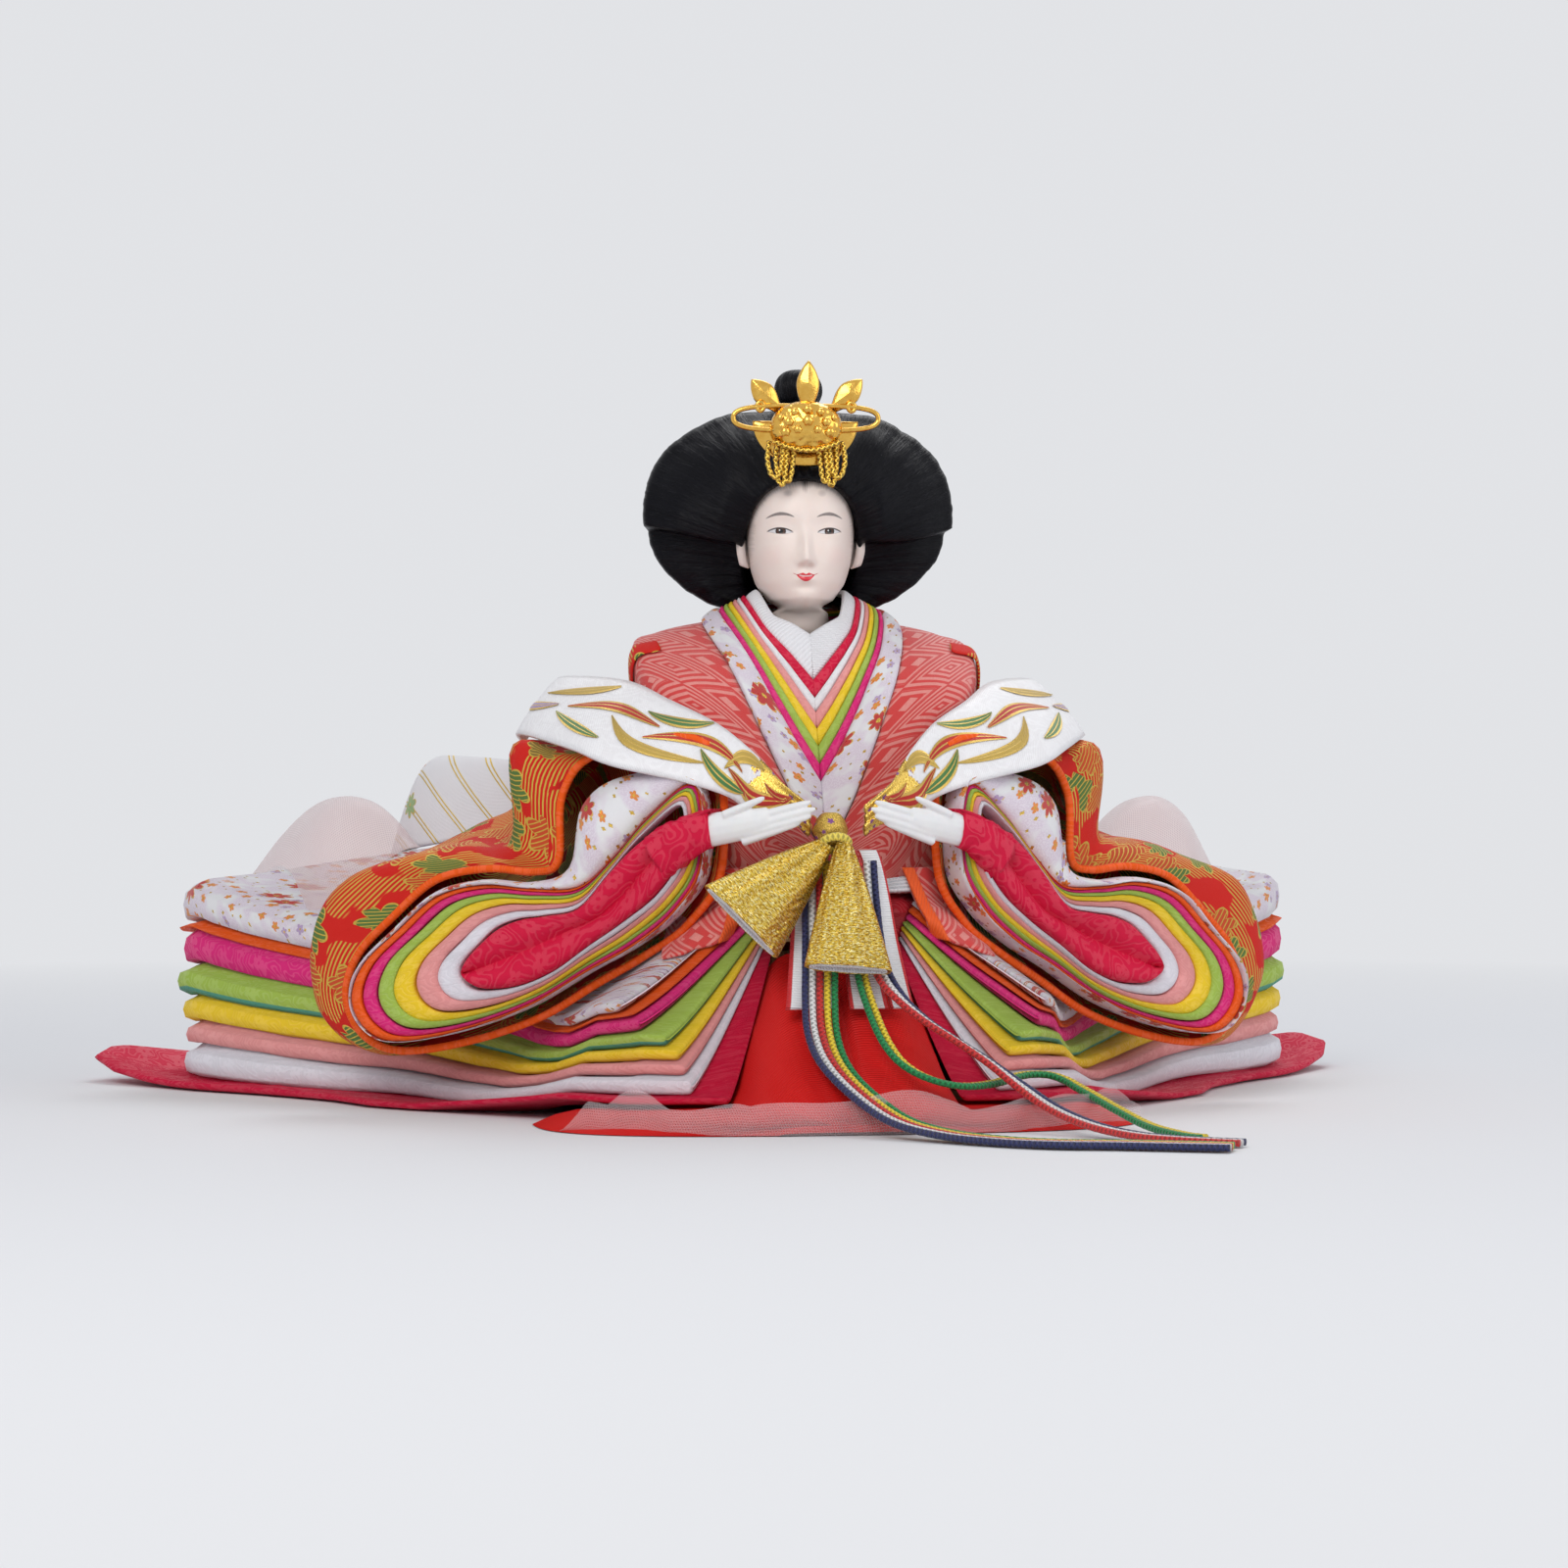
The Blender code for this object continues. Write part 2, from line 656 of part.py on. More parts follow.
def garment_loop(shares, count=COLLAR_COUNT):
    """A smooth closed loop round the neck or body, from the front middle round by the left."""
    half = []
    for wide, deep, high in shares:
        y = deep * (JACKET_FRONT_Y if deep < 0.0 else JACKET_BACK_Y)
        half.append((wide * JACKET_HALF, y, mix(COLLAR_LOW_Z, COLLAR_TOP_Z, high)))
    one_side = smooth_path(half, count // 2 + 1)
    left = [Vector((-p.x, p.y, p.z)) for p in one_side]
    return left + one_side[-2:0:-1]


def blend_loops(first, second, share):
    return [a.lerp(b, share) for a, b in zip(first, second)]


def add_collars(parent):
    """Overlapping collar edges: each stands up on its neck side and slopes down to the next."""
    inner = garment_loop(NECKLINE_SHARES)
    outer = garment_loop(COLLAR_EDGE_SHARES)
    inset = SEAT_GAP / (COLLAR_TOP_Z - COLLAR_LOW_Z)
    start = 0.0
    for name, colour, end in COLLAR_END_SHARES:
        low = blend_loops(inner, outer, start + inset)
        high = blend_loops(inner, outer, end - inset)
        crest_low, crest_high = shifted([low, high], COLLAR_RISE)
        foot_low = blend_loops(low, crest_low, COLLAR_FOOT_SHARE)
        outer_crest = blend_loops(high, crest_high, COLLAR_SLOPE_SHARE)
        bm = loft(bmesh.new(), [foot_low, crest_low, outer_crest, high], loop_rows=True)
        add_mesh(name, bm, material(name, colour, 0.5), parent)
        start = end


def jacket_loops(robe_tree):
    """Outer loops of the jacket from the collar down to its hem, which rests over the robes."""
    edge = garment_loop(COLLAR_EDGE_SHARES)
    hem = garment_loop(HEM_SHARES)
    rested = []
    for point in hem:
        top = top_under([robe_tree], point.x, point.y, WAIST_FRONT_Z)
        rested.append(Vector((point.x, point.y, max(top + HEM_GAP, JACKET_HEM_Z))))
    ridge = garment_loop(RIDGE_SHARES)
    shoulder = garment_loop(SHOULDER_SHARES)
    first = blend_loops(edge, ridge, 0.03)
    side = blend_loops(shoulder, rested, 0.5)
    belly = []
    for point in side:
        length = math.hypot(point.x, point.y)
        grow = 1.0 + CLOTH / length if length else 1.0
        belly.append(Vector((point.x * grow, point.y * grow, point.z)))
    return [first, ridge, shoulder, belly, rested]


def add_jacket(parent, loops):
    return add_tube_sheet("jacket", loops, CLOTH, material("jacket_silk", CORAL, 0.55), parent)


def sash_loops(loops):
    """The narrow white sash follows the jacket just above its hem."""
    low = blend_loops(loops[-1], loops[-2], 0.12)
    high = blend_loops(loops[-1], loops[-2], 0.62)
    outer = shifted([high, low], DRAPE_GAP + SASH_THICK)
    return outer + shifted(outer, -SASH_THICK)[::-1]


# White bands from the shoulders to the knot

# Shares of jacket half width, of jacket front depth, and of the rise from collar low to top
BAND_TOP_SHARES = (
    (0.155, -1.840, 0.235), (0.300, -1.786, 0.330), (0.384, -1.643, 0.415), (0.511, -1.430, 0.523),
    (0.643, -1.215, 0.610), (0.856, -0.930, 0.703), (1.070, -0.500, 0.795), (1.400, 0.071, 0.818),
    (1.370, 0.430, 0.760),
)
BAND_LOW_SHARES = (
    (0.155, -1.800, 0.110), (0.247, -1.780, 0.152), (0.466, -1.690, 0.195), (0.593, -1.620, 0.272),
    (0.852, -1.570, 0.343), (1.235, -1.357, 0.417), (1.438, -1.071, 0.490), (1.673, -0.286, 0.558),
    (1.620, 0.286, 0.520),
)
BAND_ACROSS_SHARES = (0.0, 0.25, 0.5, 0.75, 1.0)
BAND_PUFF = 0.0016


def place_from_shares(shares, side):
    wide, deep, high = shares
    y = deep * (JACKET_FRONT_Y if deep < 0.0 else JACKET_BACK_Y)
    return Vector((side * wide * JACKET_HALF, y, mix(COLLAR_LOW_Z, COLLAR_TOP_Z, high)))


def band_grid(side, trees):
    grid = []
    for top, low in zip(BAND_TOP_SHARES, BAND_LOW_SHARES):
        row = []
        start = place_from_shares(top, side)
        end = place_from_shares(low, side)
        for share in BAND_ACROSS_SHARES:
            point = start.lerp(end, share)
            puff = BAND_PUFF * 4.0 * share * (1.0 - share)
            point += Vector((side * 0.35, -0.75, 0.56)) * puff
            clear = front_of(trees, point.x, point.z, JACKET_BACK_Y) - BAND_THICK - CLOTH_GAP
            if point.y < 0.0:
                point.y = min(point.y, clear)
            row.append(point)
        grid.append(row)
    return grid


def add_bands(parent, trees):
    look = material("band_satin", WHITE, 0.45)
    bands = []
    for word, side in SIDES:
        grid = band_grid(side, trees)
        bands.append(add_sheet("band_" + word, grid, BAND_THICK, look, parent))
    return bands


# Sleeves. Each table gives closed loops in the mouth's plane, clockwise from the wrist's top:
# shares of the mouth's width from the wrist, and of its height from its lowest lip.

LIP_SHARES = (
    (0.058, 0.972), (0.178, 0.863), (0.289, 0.690), (0.380, 0.587), (0.511, 0.580), (0.644, 0.594),
    (0.777, 0.548), (0.887, 0.417), (0.983, 0.288), (1.017, 0.156), (0.978, 0.047), (0.889, 0.000),
    (0.708, 0.044), (0.516, 0.140), (0.353, 0.272), (0.222, 0.372), (0.111, 0.500), (0.039, 0.680),
)
CORE_SHARES = (
    (0.100, 0.870), (0.200, 0.761), (0.289, 0.620), (0.367, 0.490), (0.444, 0.456), (0.500, 0.433),
    (0.544, 0.402), (0.578, 0.362), (0.600, 0.323), (0.606, 0.292), (0.589, 0.269), (0.556, 0.258),
    (0.489, 0.265), (0.417, 0.312), (0.344, 0.390), (0.244, 0.492), (0.160, 0.592), (0.106, 0.715),
)
PUFF_SHARES = (
    (0.060, 1.060), (0.275, 1.045), (0.388, 0.900), (0.411, 0.660), (0.517, 0.605), (0.650, 0.613),
    (0.783, 0.566), (0.894, 0.433), (0.991, 0.297), (1.022, 0.159), (0.983, 0.045), (0.889, -0.003),
    (0.708, 0.040), (0.516, 0.137), (0.353, 0.269), (0.222, 0.369), (0.106, 0.495), (0.028, 0.680),
)
OUTER_LIP_SHARES = (
    (0.030, 1.130), (0.330, 1.100), (0.436, 0.945), (0.448, 0.690), (0.517, 0.645), (0.650, 0.656),
    (0.798, 0.612), (0.922, 0.468), (1.024, 0.319), (1.058, 0.159), (1.008, 0.012), (0.896, -0.048),
    (0.700, -0.006), (0.500, 0.088), (0.336, 0.222), (0.208, 0.325), (0.080, 0.455), (-0.012, 0.680),
)
BULGE_SHARES = (
    (0.110, 1.120), (0.400, 1.100), (0.594, 1.097), (0.589, 0.784), (0.633, 0.737), (0.733, 0.745),
    (0.889, 0.690), (1.067, 0.597), (1.161, 0.441), (1.178, 0.238), (1.122, 0.081), (0.978, -0.010),
    (0.733, 0.024), (0.511, 0.124), (0.344, 0.257), (0.222, 0.360), (0.105, 0.500), (0.075, 0.780),
)
BACK_SHARES = (
    (0.333, 1.128), (0.467, 1.144), (0.578, 1.066), (0.611, 0.847), (0.667, 0.784), (0.756, 0.769),
    (0.889, 0.722), (1.022, 0.644), (1.089, 0.503), (1.089, 0.378), (1.022, 0.284), (0.867, 0.253),
    (0.711, 0.269), (0.533, 0.316), (0.422, 0.378), (0.356, 0.472), (0.311, 0.628), (0.300, 0.894),
)
TAIL_SHARES = (
    (0.467, 1.034), (0.544, 1.066), (0.622, 1.003), (0.667, 0.909), (0.711, 0.847), (0.778, 0.800),
    (0.856, 0.753), (0.933, 0.691), (0.967, 0.612), (0.956, 0.550), (0.889, 0.503), (0.800, 0.487),
    (0.711, 0.503), (0.633, 0.534), (0.567, 0.581), (0.511, 0.659), (0.467, 0.769), (0.444, 0.909),
)
PUFF_DEPTH = 0.0052
PUFF_END = 0.0058
OUTER_DEPTHS = (0.0046, 0.0095, 0.022, 0.036, 0.043)
# Start and end of each inner sleeve on the way from the lip to the core
INNER_SLEEVE_SHARES = (
    ("sleeve_magenta", MAGENTA, 0.17, 0.26), ("sleeve_green", GREEN, 0.31, 0.40),
    ("sleeve_yellow", YELLOW, 0.45, 0.54), ("sleeve_rose", ROSE, 0.59, 0.68),
    ("sleeve_white", IVORY, 0.73, 0.82),
)
CUFF_SHARE = 0.87
WRIST_TOP_SHARES = (-0.004, 0.880)
WRIST_LOW_SHARES = (0.060, 0.735)


def mouth_point(side, along, high, forward=0.0):
    """A point by its way along the mouth, its height and how far it stands in front of it."""
    sweep = math.pi - MOUTH_ANGLE
    x = MOUTH_X + along * math.cos(sweep) + forward * math.sin(sweep)
    y = -MOUTH_Y + along * math.sin(sweep) - forward * math.cos(sweep)
    return Vector((side * x, y, high))


def mouth_ring(side, shares, forward):
    return [mouth_point(side, along * MOUTH_WIDTH, MOUTH_FOOT_Z + high * MOUTH_HEIGHT, forward)
            for along, high in shares]


def blend_shares(first, second, share):
    return [mix_points(a, b, share) for a, b in zip(first, second)]


def shrink(ring, share):
    middle = sum(ring, Vector()) / len(ring)
    return [point.lerp(middle, share) for point in ring]


def rest_ring(ring, below, above, gap):
    """Lifts a ring clear of what it rests on and keeps it under what covers it."""
    rested = []
    for point in ring:
        low = top_under(below, point.x, point.y) + gap
        high = HAIR_TOP_Z
        for tree in above:
            hit = tree.ray_cast(Vector((point.x, point.y, 0.0)), Vector((0.0, 0.0, 1.0)))
            if hit[0] is not None:
                high = min(high, hit[0].z - 2.0 * gap)
        rested.append(Vector((point.x, point.y, min(max(point.z, low), high))))
    return rested


def add_outer_sleeves(parent, below, above):
    """The puffed scarlet brocade sleeves, and the white brocade sleeves inside them."""
    scarlet = material("sleeve_scarlet", SCARLET, 0.5)
    pearl = material("sleeve_pearl", PEARL, 0.5)
    for word, side in SIDES:
        tables = (OUTER_LIP_SHARES, BULGE_SHARES, BACK_SHARES, TAIL_SHARES)
        rings = [mouth_ring(side, table, -depth) for table, depth in zip(tables, OUTER_DEPTHS)]
        step = mouth_point(side, 0.0, 0.0, OUTER_DEPTHS[4]) - mouth_point(side, 0.0, 0.0, OUTER_DEPTHS[3])
        rings.append([point - step for point in shrink(rings[-1], 0.6)])
        rings = [rest_ring(ring, below if at else [], above, DRAPE_GAP) for at, ring in enumerate(rings)]
        if side < 0.0:
            rings = [ring[::-1] for ring in rings]
        add_tube_sheet("sleeve_scarlet_" + word, rings, CLOTH, scarlet, parent)
        inner = [mouth_ring(side, LIP_SHARES, 0.0), mouth_ring(side, PUFF_SHARES, -PUFF_DEPTH)]
        inner.append(shrink(mouth_ring(side, PUFF_SHARES, -PUFF_END), 0.05))
        lifted = [rest_ring(ring, below, above, DRAPE_GAP + CLOTH + CLOTH_GAP) for ring in inner[1:]]
        inner = [inner[0]] + lifted
        if side < 0.0:
            inner = [ring[::-1] for ring in inner]
        add_tube_sheet("sleeve_pearl_" + word, inner, WEB, pearl, parent)


def add_inner_sleeves(parent):
    """The nested sleeve edges on one side, sewn to one another along their back."""
    for word, side in SIDES:
        profile = []
        for index, (_, _, start, end) in enumerate(INNER_SLEEVE_SHARES):
            forward = LIP_STEP * (index + 1)
            profile += [(start, SEAM_DEPTH - INNER_DEPTH), (start, forward)]
            profile += [(end, forward), (end, SEAM_DEPTH - INNER_DEPTH)]
        profile[0] = (profile[0][0], -INNER_DEPTH)
        profile[-1] = (profile[-1][0], -INNER_DEPTH)
        loops = []
        for share, forward in profile:
            loops.append(mouth_ring(side, blend_shares(LIP_SHARES, CORE_SHARES, share), forward))
        bm = loft(bmesh.new(), loops, loop_rows=True)
        add_mesh("sleeve_layers_" + word, bm, material("sleeve_layers", ROSE, 0.5), parent)


def add_cuffs(parent):
    """The innermost crimson sleeves: flat tongues that reach out round the wrists."""
    base = blend_shares(LIP_SHARES, CORE_SHARES, CUFF_SHARE)
    flare = [WRIST_TOP_SHARES] + base[1:-1] + [WRIST_LOW_SHARES]
    front = LIP_STEP * (len(INNER_SLEEVE_SHARES) + 2)
    look = material("sleeve_crimson", CRIMSON, 0.5)
    for word, side in SIDES:
        rings = [mouth_ring(side, base, -INNER_DEPTH), mouth_ring(side, base, front)]
        rings.append(mouth_ring(side, flare, front + LIP_STEP))
        rings.append(mouth_ring(side, flare, CUFF_REACH))
        add_mesh("sleeve_crimson_" + word, loft(bmesh.new(), rings), look, parent)


# Hands: rings from the slanted wrist to the fingertips. Shares of hand length from the mouth's
# start towards the middle, of hand height for the rise, the ring's height and thickness, and slant.
HAND_RING_SHARES = (
    (-0.015, 0.00, 1.00, 0.90, 0.130), (0.180, 0.23, 0.98, 1.00, 0.0), (0.400, 0.46, 0.96, 0.90, 0.0),
    (0.600, 0.61, 0.86, 0.70, 0.0), (0.780, 0.76, 0.62, 0.48, 0.0), (0.860, 0.80, 0.36, 0.30, 0.0),
)
WRIST_Z = 0.0690
HAND_SIDES = 10


def add_hands(parent):
    look = material("porcelain", WHITE, 0.35)
    for word, side in SIDES:
        rings = []
        for along, rise, high, thick, slant in HAND_RING_SHARES:
            ring = []
            for at in range(HAND_SIDES):
                angle = math.tau * at / HAND_SIDES
                up = math.sin(angle) * HAND_HEIGHT / 2.0 * high
                out = math.cos(angle) * HAND_THICK / 2.0 * thick
                place = -along * HAND_LENGTH - slant * 2.0 * up
                forward = CUFF_REACH - HAND_THICK * 0.2 + out
                ring.append(mouth_point(side, place, WRIST_Z + rise * HAND_HEIGHT + up, forward))
            rings.append(ring)
        add_mesh("hand_" + word, loft(bmesh.new(), rings), look, parent)


# Bow, knot and hanging straps at the waist

BOW_SIDES = 14
# Name, then the place of the neck and of the mouth from the knot, and the mouth's half width in
# x and z, all in shares of the bow's length
BOW_LOOP_SHARES = (
    ("left", (-0.064, -0.124, -0.102), (-0.719, -0.312, -0.656), (0.266, -0.266)),
    ("right", (0.078, -0.114, -0.096), (0.038, -0.494, -0.994), (0.325, -0.025)),
)
BOW_MOUTH_HALF = 0.0030
BOW_NECK_HALF = 0.0018


def add_bow(parent):
    look = material("gold_lame", GOLD, 0.35, 0.7)
    knot = Vector((-KNOT_X, -KNOT_Y, KNOT_Z))
    for word, neck_share, mouth_share, spread in BOW_LOOP_SHARES:
        rings = []
        neck = Vector(neck_share) * BOW_LENGTH
        mouth = Vector(mouth_share) * BOW_LENGTH
        axis = Vector((spread[0], 0.0, spread[1])) * BOW_LENGTH
        direction = (mouth - neck).normalized()
        thick_way = direction.cross(axis).normalized()
        for share in (0.0, 0.35, 0.7, 1.0):
            middle = knot + neck.lerp(mouth, share)
            wide = axis * mix(BOW_NECK_HALF / axis.length, 1.0, share)
            deep = thick_way * mix(BOW_NECK_HALF, BOW_MOUTH_HALF, share)
            ring = []
            for at in range(BOW_SIDES):
                angle = math.tau * at / BOW_SIDES
                ring.append(middle + wide * math.cos(angle) + deep * math.sin(angle))
            rings.append(ring)
        add_tube_sheet("bow_" + word, rings, BOW_THICK, look, parent)
    bm = bmesh.new()
    bmesh.ops.create_uvsphere(bm, u_segments=12, v_segments=8, radius=KNOT_HALF)
    for vert in bm.verts:
        vert.co += knot
    add_mesh("bow_knot", bm, look, parent)


STRAP_PATH_SHARES = (
    # shares of the way from the knot down to the hakama front, and of depth in front of the waist
    (0.0, 0.113), (0.10, 0.133), (0.28, 0.171), (0.56, 0.243), (0.80, 0.330), (1.0, 0.412),
)
STRAP_SHARES = (
    # middle and width at the top and at the bottom, in shares of the straps' overall width
    (-0.152, 0.181, -0.248, 0.365),
    (0.044, 0.163, 0.152, 0.268),
    (0.210, 0.140, 0.385, 0.163),
)
STRAP_TOP_Z = 0.0643
STRAP_BOTTOM_Z = 0.0275


def add_sash(parent, sash):
    bm = loft(bmesh.new(), sash, loop_rows=True)
    return add_mesh("waist_sash", bm, material("sash_silk", WHITE, 0.5), parent)


def add_straps(parent):
    """Three straps in one piece of cloth, slit from just below the knot."""
    grid = []
    for fall, reach in STRAP_PATH_SHARES:
        y = -mix(WAIST_FRONT_Y, HAKAMA_FRONT_Y, reach)
        z = mix(STRAP_TOP_Z, STRAP_BOTTOM_Z, fall)
        row = []
        for top_x, top_width, low_x, low_width in STRAP_SHARES:
            middle = mix(top_x, low_x, fall) * STRAP_SPREAD
            half = mix(top_width, low_width, fall) * STRAP_SPREAD / 2.0
            row += [Vector((middle + share * half, y, z)) for share in (-1.0, 1.0)]
        grid.append(row)
    slits = [(row, at) for row in range(1, len(grid) - 1) for at in (1, 3)]
    bm = slab(bmesh.new(), *sheet_grids(grid, STRAP_THICK), slits)
    add_mesh("straps", bm, material("strap_silk", WHITE, 0.5), parent)


# White train and sheer wings behind

TRAIN_ROW_SHARES = ((0.0, 0.82), (0.25, 0.93), (0.55, 1.0), (0.8, 0.93), (1.0, 0.72))
TRAIN_COLUMN_SHARES = (-1.0, -0.9, -0.72, -0.42, 0.0, 0.42, 0.72, 0.9, 1.0)
TRAIN_SPREAD_SHARES = ((0.0, 0.30), (0.3, 0.86), (0.6, 1.0), (1.0, 0.97))
TRAIN_START_Y = 0.0355
TRAIN_END_Y = 0.098
WING_COLUMN_SHARES = (0.0, 0.15, 0.35, 0.6, 0.82, 1.0)
WING_INNER_X = 0.0995
WING_OUTER_X = 0.124
WING_SPREAD = 0.009
WING_FRONT_Y = 0.064
WING_BACK_Y = 0.092


def add_train(parent, trees):
    """The train arches over the robes: its side edges rest on them."""
    grid = []
    for share, high in TRAIN_ROW_SHARES:
        y = mix(TRAIN_START_Y, TRAIN_END_Y, share)
        half = TRAIN_HALF * lookup(TRAIN_SPREAD_SHARES, share)
        row = []
        for column in TRAIN_COLUMN_SHARES:
            x = column * half
            rest = top_under(trees, x, y) + CLOTH + TRAIN_THICK / 2.0
            crest = mix(rest, TRAIN_TOP_Z, high) if abs(column) < 0.95 else rest
            row.append(Vector((x, y, max(rest, crest))))
        grid.append(row)
    train = add_sheet("train_white", grid, TRAIN_THICK, material("train_silk", IVORY, 0.6), parent)
    under = trees + [tree_of(train)]
    for word, side in SIDES:
        grid = []
        for share in (0.0, 0.33, 0.67, 1.0):
            y = mix(WING_FRONT_Y, WING_BACK_Y, share)
            row = []
            for column in WING_COLUMN_SHARES:
                x = side * mix(WING_INNER_X, WING_OUTER_X + WING_SPREAD * share, column)
                rest = top_under(under, x, y) + DRAPE_GAP
                arch = math.sin(math.pi * column) ** 0.7
                row.append(Vector((x, y, mix(rest, max(WING_PEAK_Z, rest), arch))))
            grid.append(row)
        add_sheet("wing_" + word, grid, WING_THICK, material("organza", ROSE, 0.4), parent)


# Head, neck stick and hair

HEAD_RING_SHARES = (
    # share of the height from chin to crown, then of half width, front depth and back depth
    (-0.205, 0.53, 0.40, 0.42), (-0.120, 0.52, 0.38, 0.44), (-0.035, 0.52, 0.40, 0.50),
    (0.0, 0.46, 0.80, 0.55), (0.045, 0.63, 0.92, 0.62), (0.150, 0.83, 0.97, 0.72), (0.290, 0.95, 1.0, 0.82),
    (0.430, 1.0, 0.99, 0.90), (0.580, 1.0, 0.98, 0.94), (0.730, 0.92, 0.90, 0.88), (0.860, 0.72, 0.70, 0.70),
    (0.950, 0.44, 0.42, 0.42), (1.0, 0.12, 0.12, 0.12),
)
HEAD_SIDES = 16


def head_ring(z, half, front, back):
    ring = []
    for at in range(HEAD_SIDES):
        angle = math.tau * at / HEAD_SIDES
        y = math.sin(angle)
        ring.append(Vector((half * math.cos(angle), y * (front if y < 0.0 else back), z)))
    return ring


def add_head(parent):
    rings = []
    bore = STICK_RADIUS + SEAT_GAP
    rise = CROWN_OF_HEAD_Z - CHIN_Z
    for high, wide, front, back in HEAD_RING_SHARES:
        z = max(CHIN_Z + rise * high, CORE_TOP_Z + SEAT_GAP)
        rings.append(head_ring(z, FACE_HALF * wide, HEAD_HALF_DEPTH * front, HEAD_HALF_DEPTH * back))
    foot = rings[0][0].z
    inside = [head_ring(STICK_TOP_Z + SEAT_GAP, bore, bore, bore), head_ring(foot, bore, bore, bore)]
    bm = loft(bmesh.new(), inside + rings)
    return add_mesh("head", bm, material("face_powder", SKIN, 0.45), parent)


def add_stick(parent):
    rings = [head_ring(z, STICK_RADIUS, STICK_RADIUS, STICK_RADIUS) for z in (STICK_BOTTOM_Z, STICK_TOP_Z)]
    bm = loft(bmesh.new(), rings)
    return add_mesh("neck_stick", bm, material("stick_wood", (0.55, 0.40, 0.22), 0.7), parent)


HAIR_COLUMNS = 24
# The hairline and the outer outline, from the top round one side to the bottom: shares of hair
# half width, of the height from the hair's bottom to its top, and of the hair's front depth
HAIRLINE_SHARES = (
    (0.000, 0.640, -1.02), (0.190, 0.605, -0.92), (0.330, 0.500, -0.62), (0.392, 0.340, -0.22),
    (0.400, 0.200, 0.20), (0.320, 0.085, 0.62), (0.0, 0.060, 0.90),
)
OUTLINE_SHARES = (
    (0.00, 1.000, 0.35), (0.48, 0.965, 0.35), (0.88, 0.780, 0.35), (1.00, 0.520, 0.35),
    (0.93, 0.230, 0.40), (0.52, 0.000, 0.50), (0.0, 0.050, 1.10),
)
SKULL_GAP = 0.0012


def hair_loop(table):
    half = []
    for wide, high, deep in table:
        z = mix(HAIR_BOTTOM_Z, HAIR_TOP_Z, high)
        half.append((wide * HAIR_HALF, deep * HAIR_FRONT_Y, z))
    one_side = smooth_path(half, HAIR_COLUMNS // 2 + 1)
    other = [Vector((-p.x, p.y, p.z)) for p in one_side[-2:0:-1]]
    return one_side + other


def around_head(loop, share):
    """A loop inside the hair that follows the skull from the hairline to the back of the head."""
    middle_z = mix(CHIN_Z, CROWN_OF_HEAD_Z, 0.55)
    wide, deep, high, low = [size + SKULL_GAP for size in (FACE_HALF, HEAD_HALF_DEPTH,
                             CROWN_OF_HEAD_Z - middle_z, middle_z - NECK_BOTTOM_Z)]
    ring = []
    for point in loop:
        way = Vector((point.x, 0.0, point.z - middle_z)).normalized()
        reach = 1.0 / math.hypot(way.x / wide, way.z / (high if way.z > 0.0 else low))
        y = mix(point.y, deep, share)
        reach *= math.sqrt(max(0.0, 1.0 - (y / (deep + SKULL_GAP)) ** 2))
        ring.append(Vector((way.x * reach, y, middle_z + way.z * reach)))
    return ring


def add_hair(parent):
    hairline = hair_loop(HAIRLINE_SHARES)
    outline = hair_loop(OUTLINE_SHARES)
    rings = []
    for share in (0.97, 0.8, 0.5, 0.22):
        rings.append(around_head(hairline, share))
    rings.append(hairline)
    front = blend_loops(hairline, outline, 0.22)
    rings.append([Vector((p.x, p.y - 0.16 * HAIR_FRONT_Y, p.z)) for p in front])
    crest = blend_loops(hairline, outline, 0.66)
    rings.append([Vector((p.x, p.y - 0.22 * HAIR_FRONT_Y, p.z)) for p in crest])
    rings.append(outline)
    back = []
    for share, depth in ((0.10, 0.66), (0.45, 0.95), (0.85, 1.02)):
        middle_z = mix(HAIR_BOTTOM_Z, HAIR_TOP_Z, 0.52)
        ring = []
        for p in outline:
            ring.append(Vector((mix(p.x, 0.0, share), HAIR_BACK_Y * depth, mix(p.z, middle_z, share))))
        back.append(ring)
    bm = loft(bmesh.new(), rings + back)
    return add_mesh("hair", bm, material("hair_black", BLACK, 0.35), parent)


def add_bun(parent):
    """The small topknot stands on the crown of the hair."""
    rings = []
    for high, wide in ((0.0, 0.72), (0.22, 0.98), (0.5, 1.0), (0.75, 0.8), (0.92, 0.48), (1.0, 0.15)):
        radius = KNOT_RADIUS * wide
        z = HAIR_TOP_Z + SEAT_GAP + high * 1.65 * KNOT_RADIUS
        rings.append(round_ring(radius, z, 12, (0.0, KNOT_RADIUS * 0.7)))
    return add_mesh("hair_topknot", loft(bmesh.new(), rings), material("hair_black", BLACK, 0.35), parent)


TAIL_PATH_SHARES = (
    # shares of the tail's reach behind the hair and of its fall from the hair to the train
    (0.0, 0.0), (0.03, 0.28), (0.07, 0.58), (0.155, 0.85), (0.335, 0.97), (0.67, 1.0), (1.0, 1.0),
)
TAIL_WIDTH_SHARES = (0.6, 0.72, 0.66, 0.9, 1.0, 0.92, 0.6)
TAIL_CLEAR = 0.0012
TAIL_TOP_SHARE = 0.36


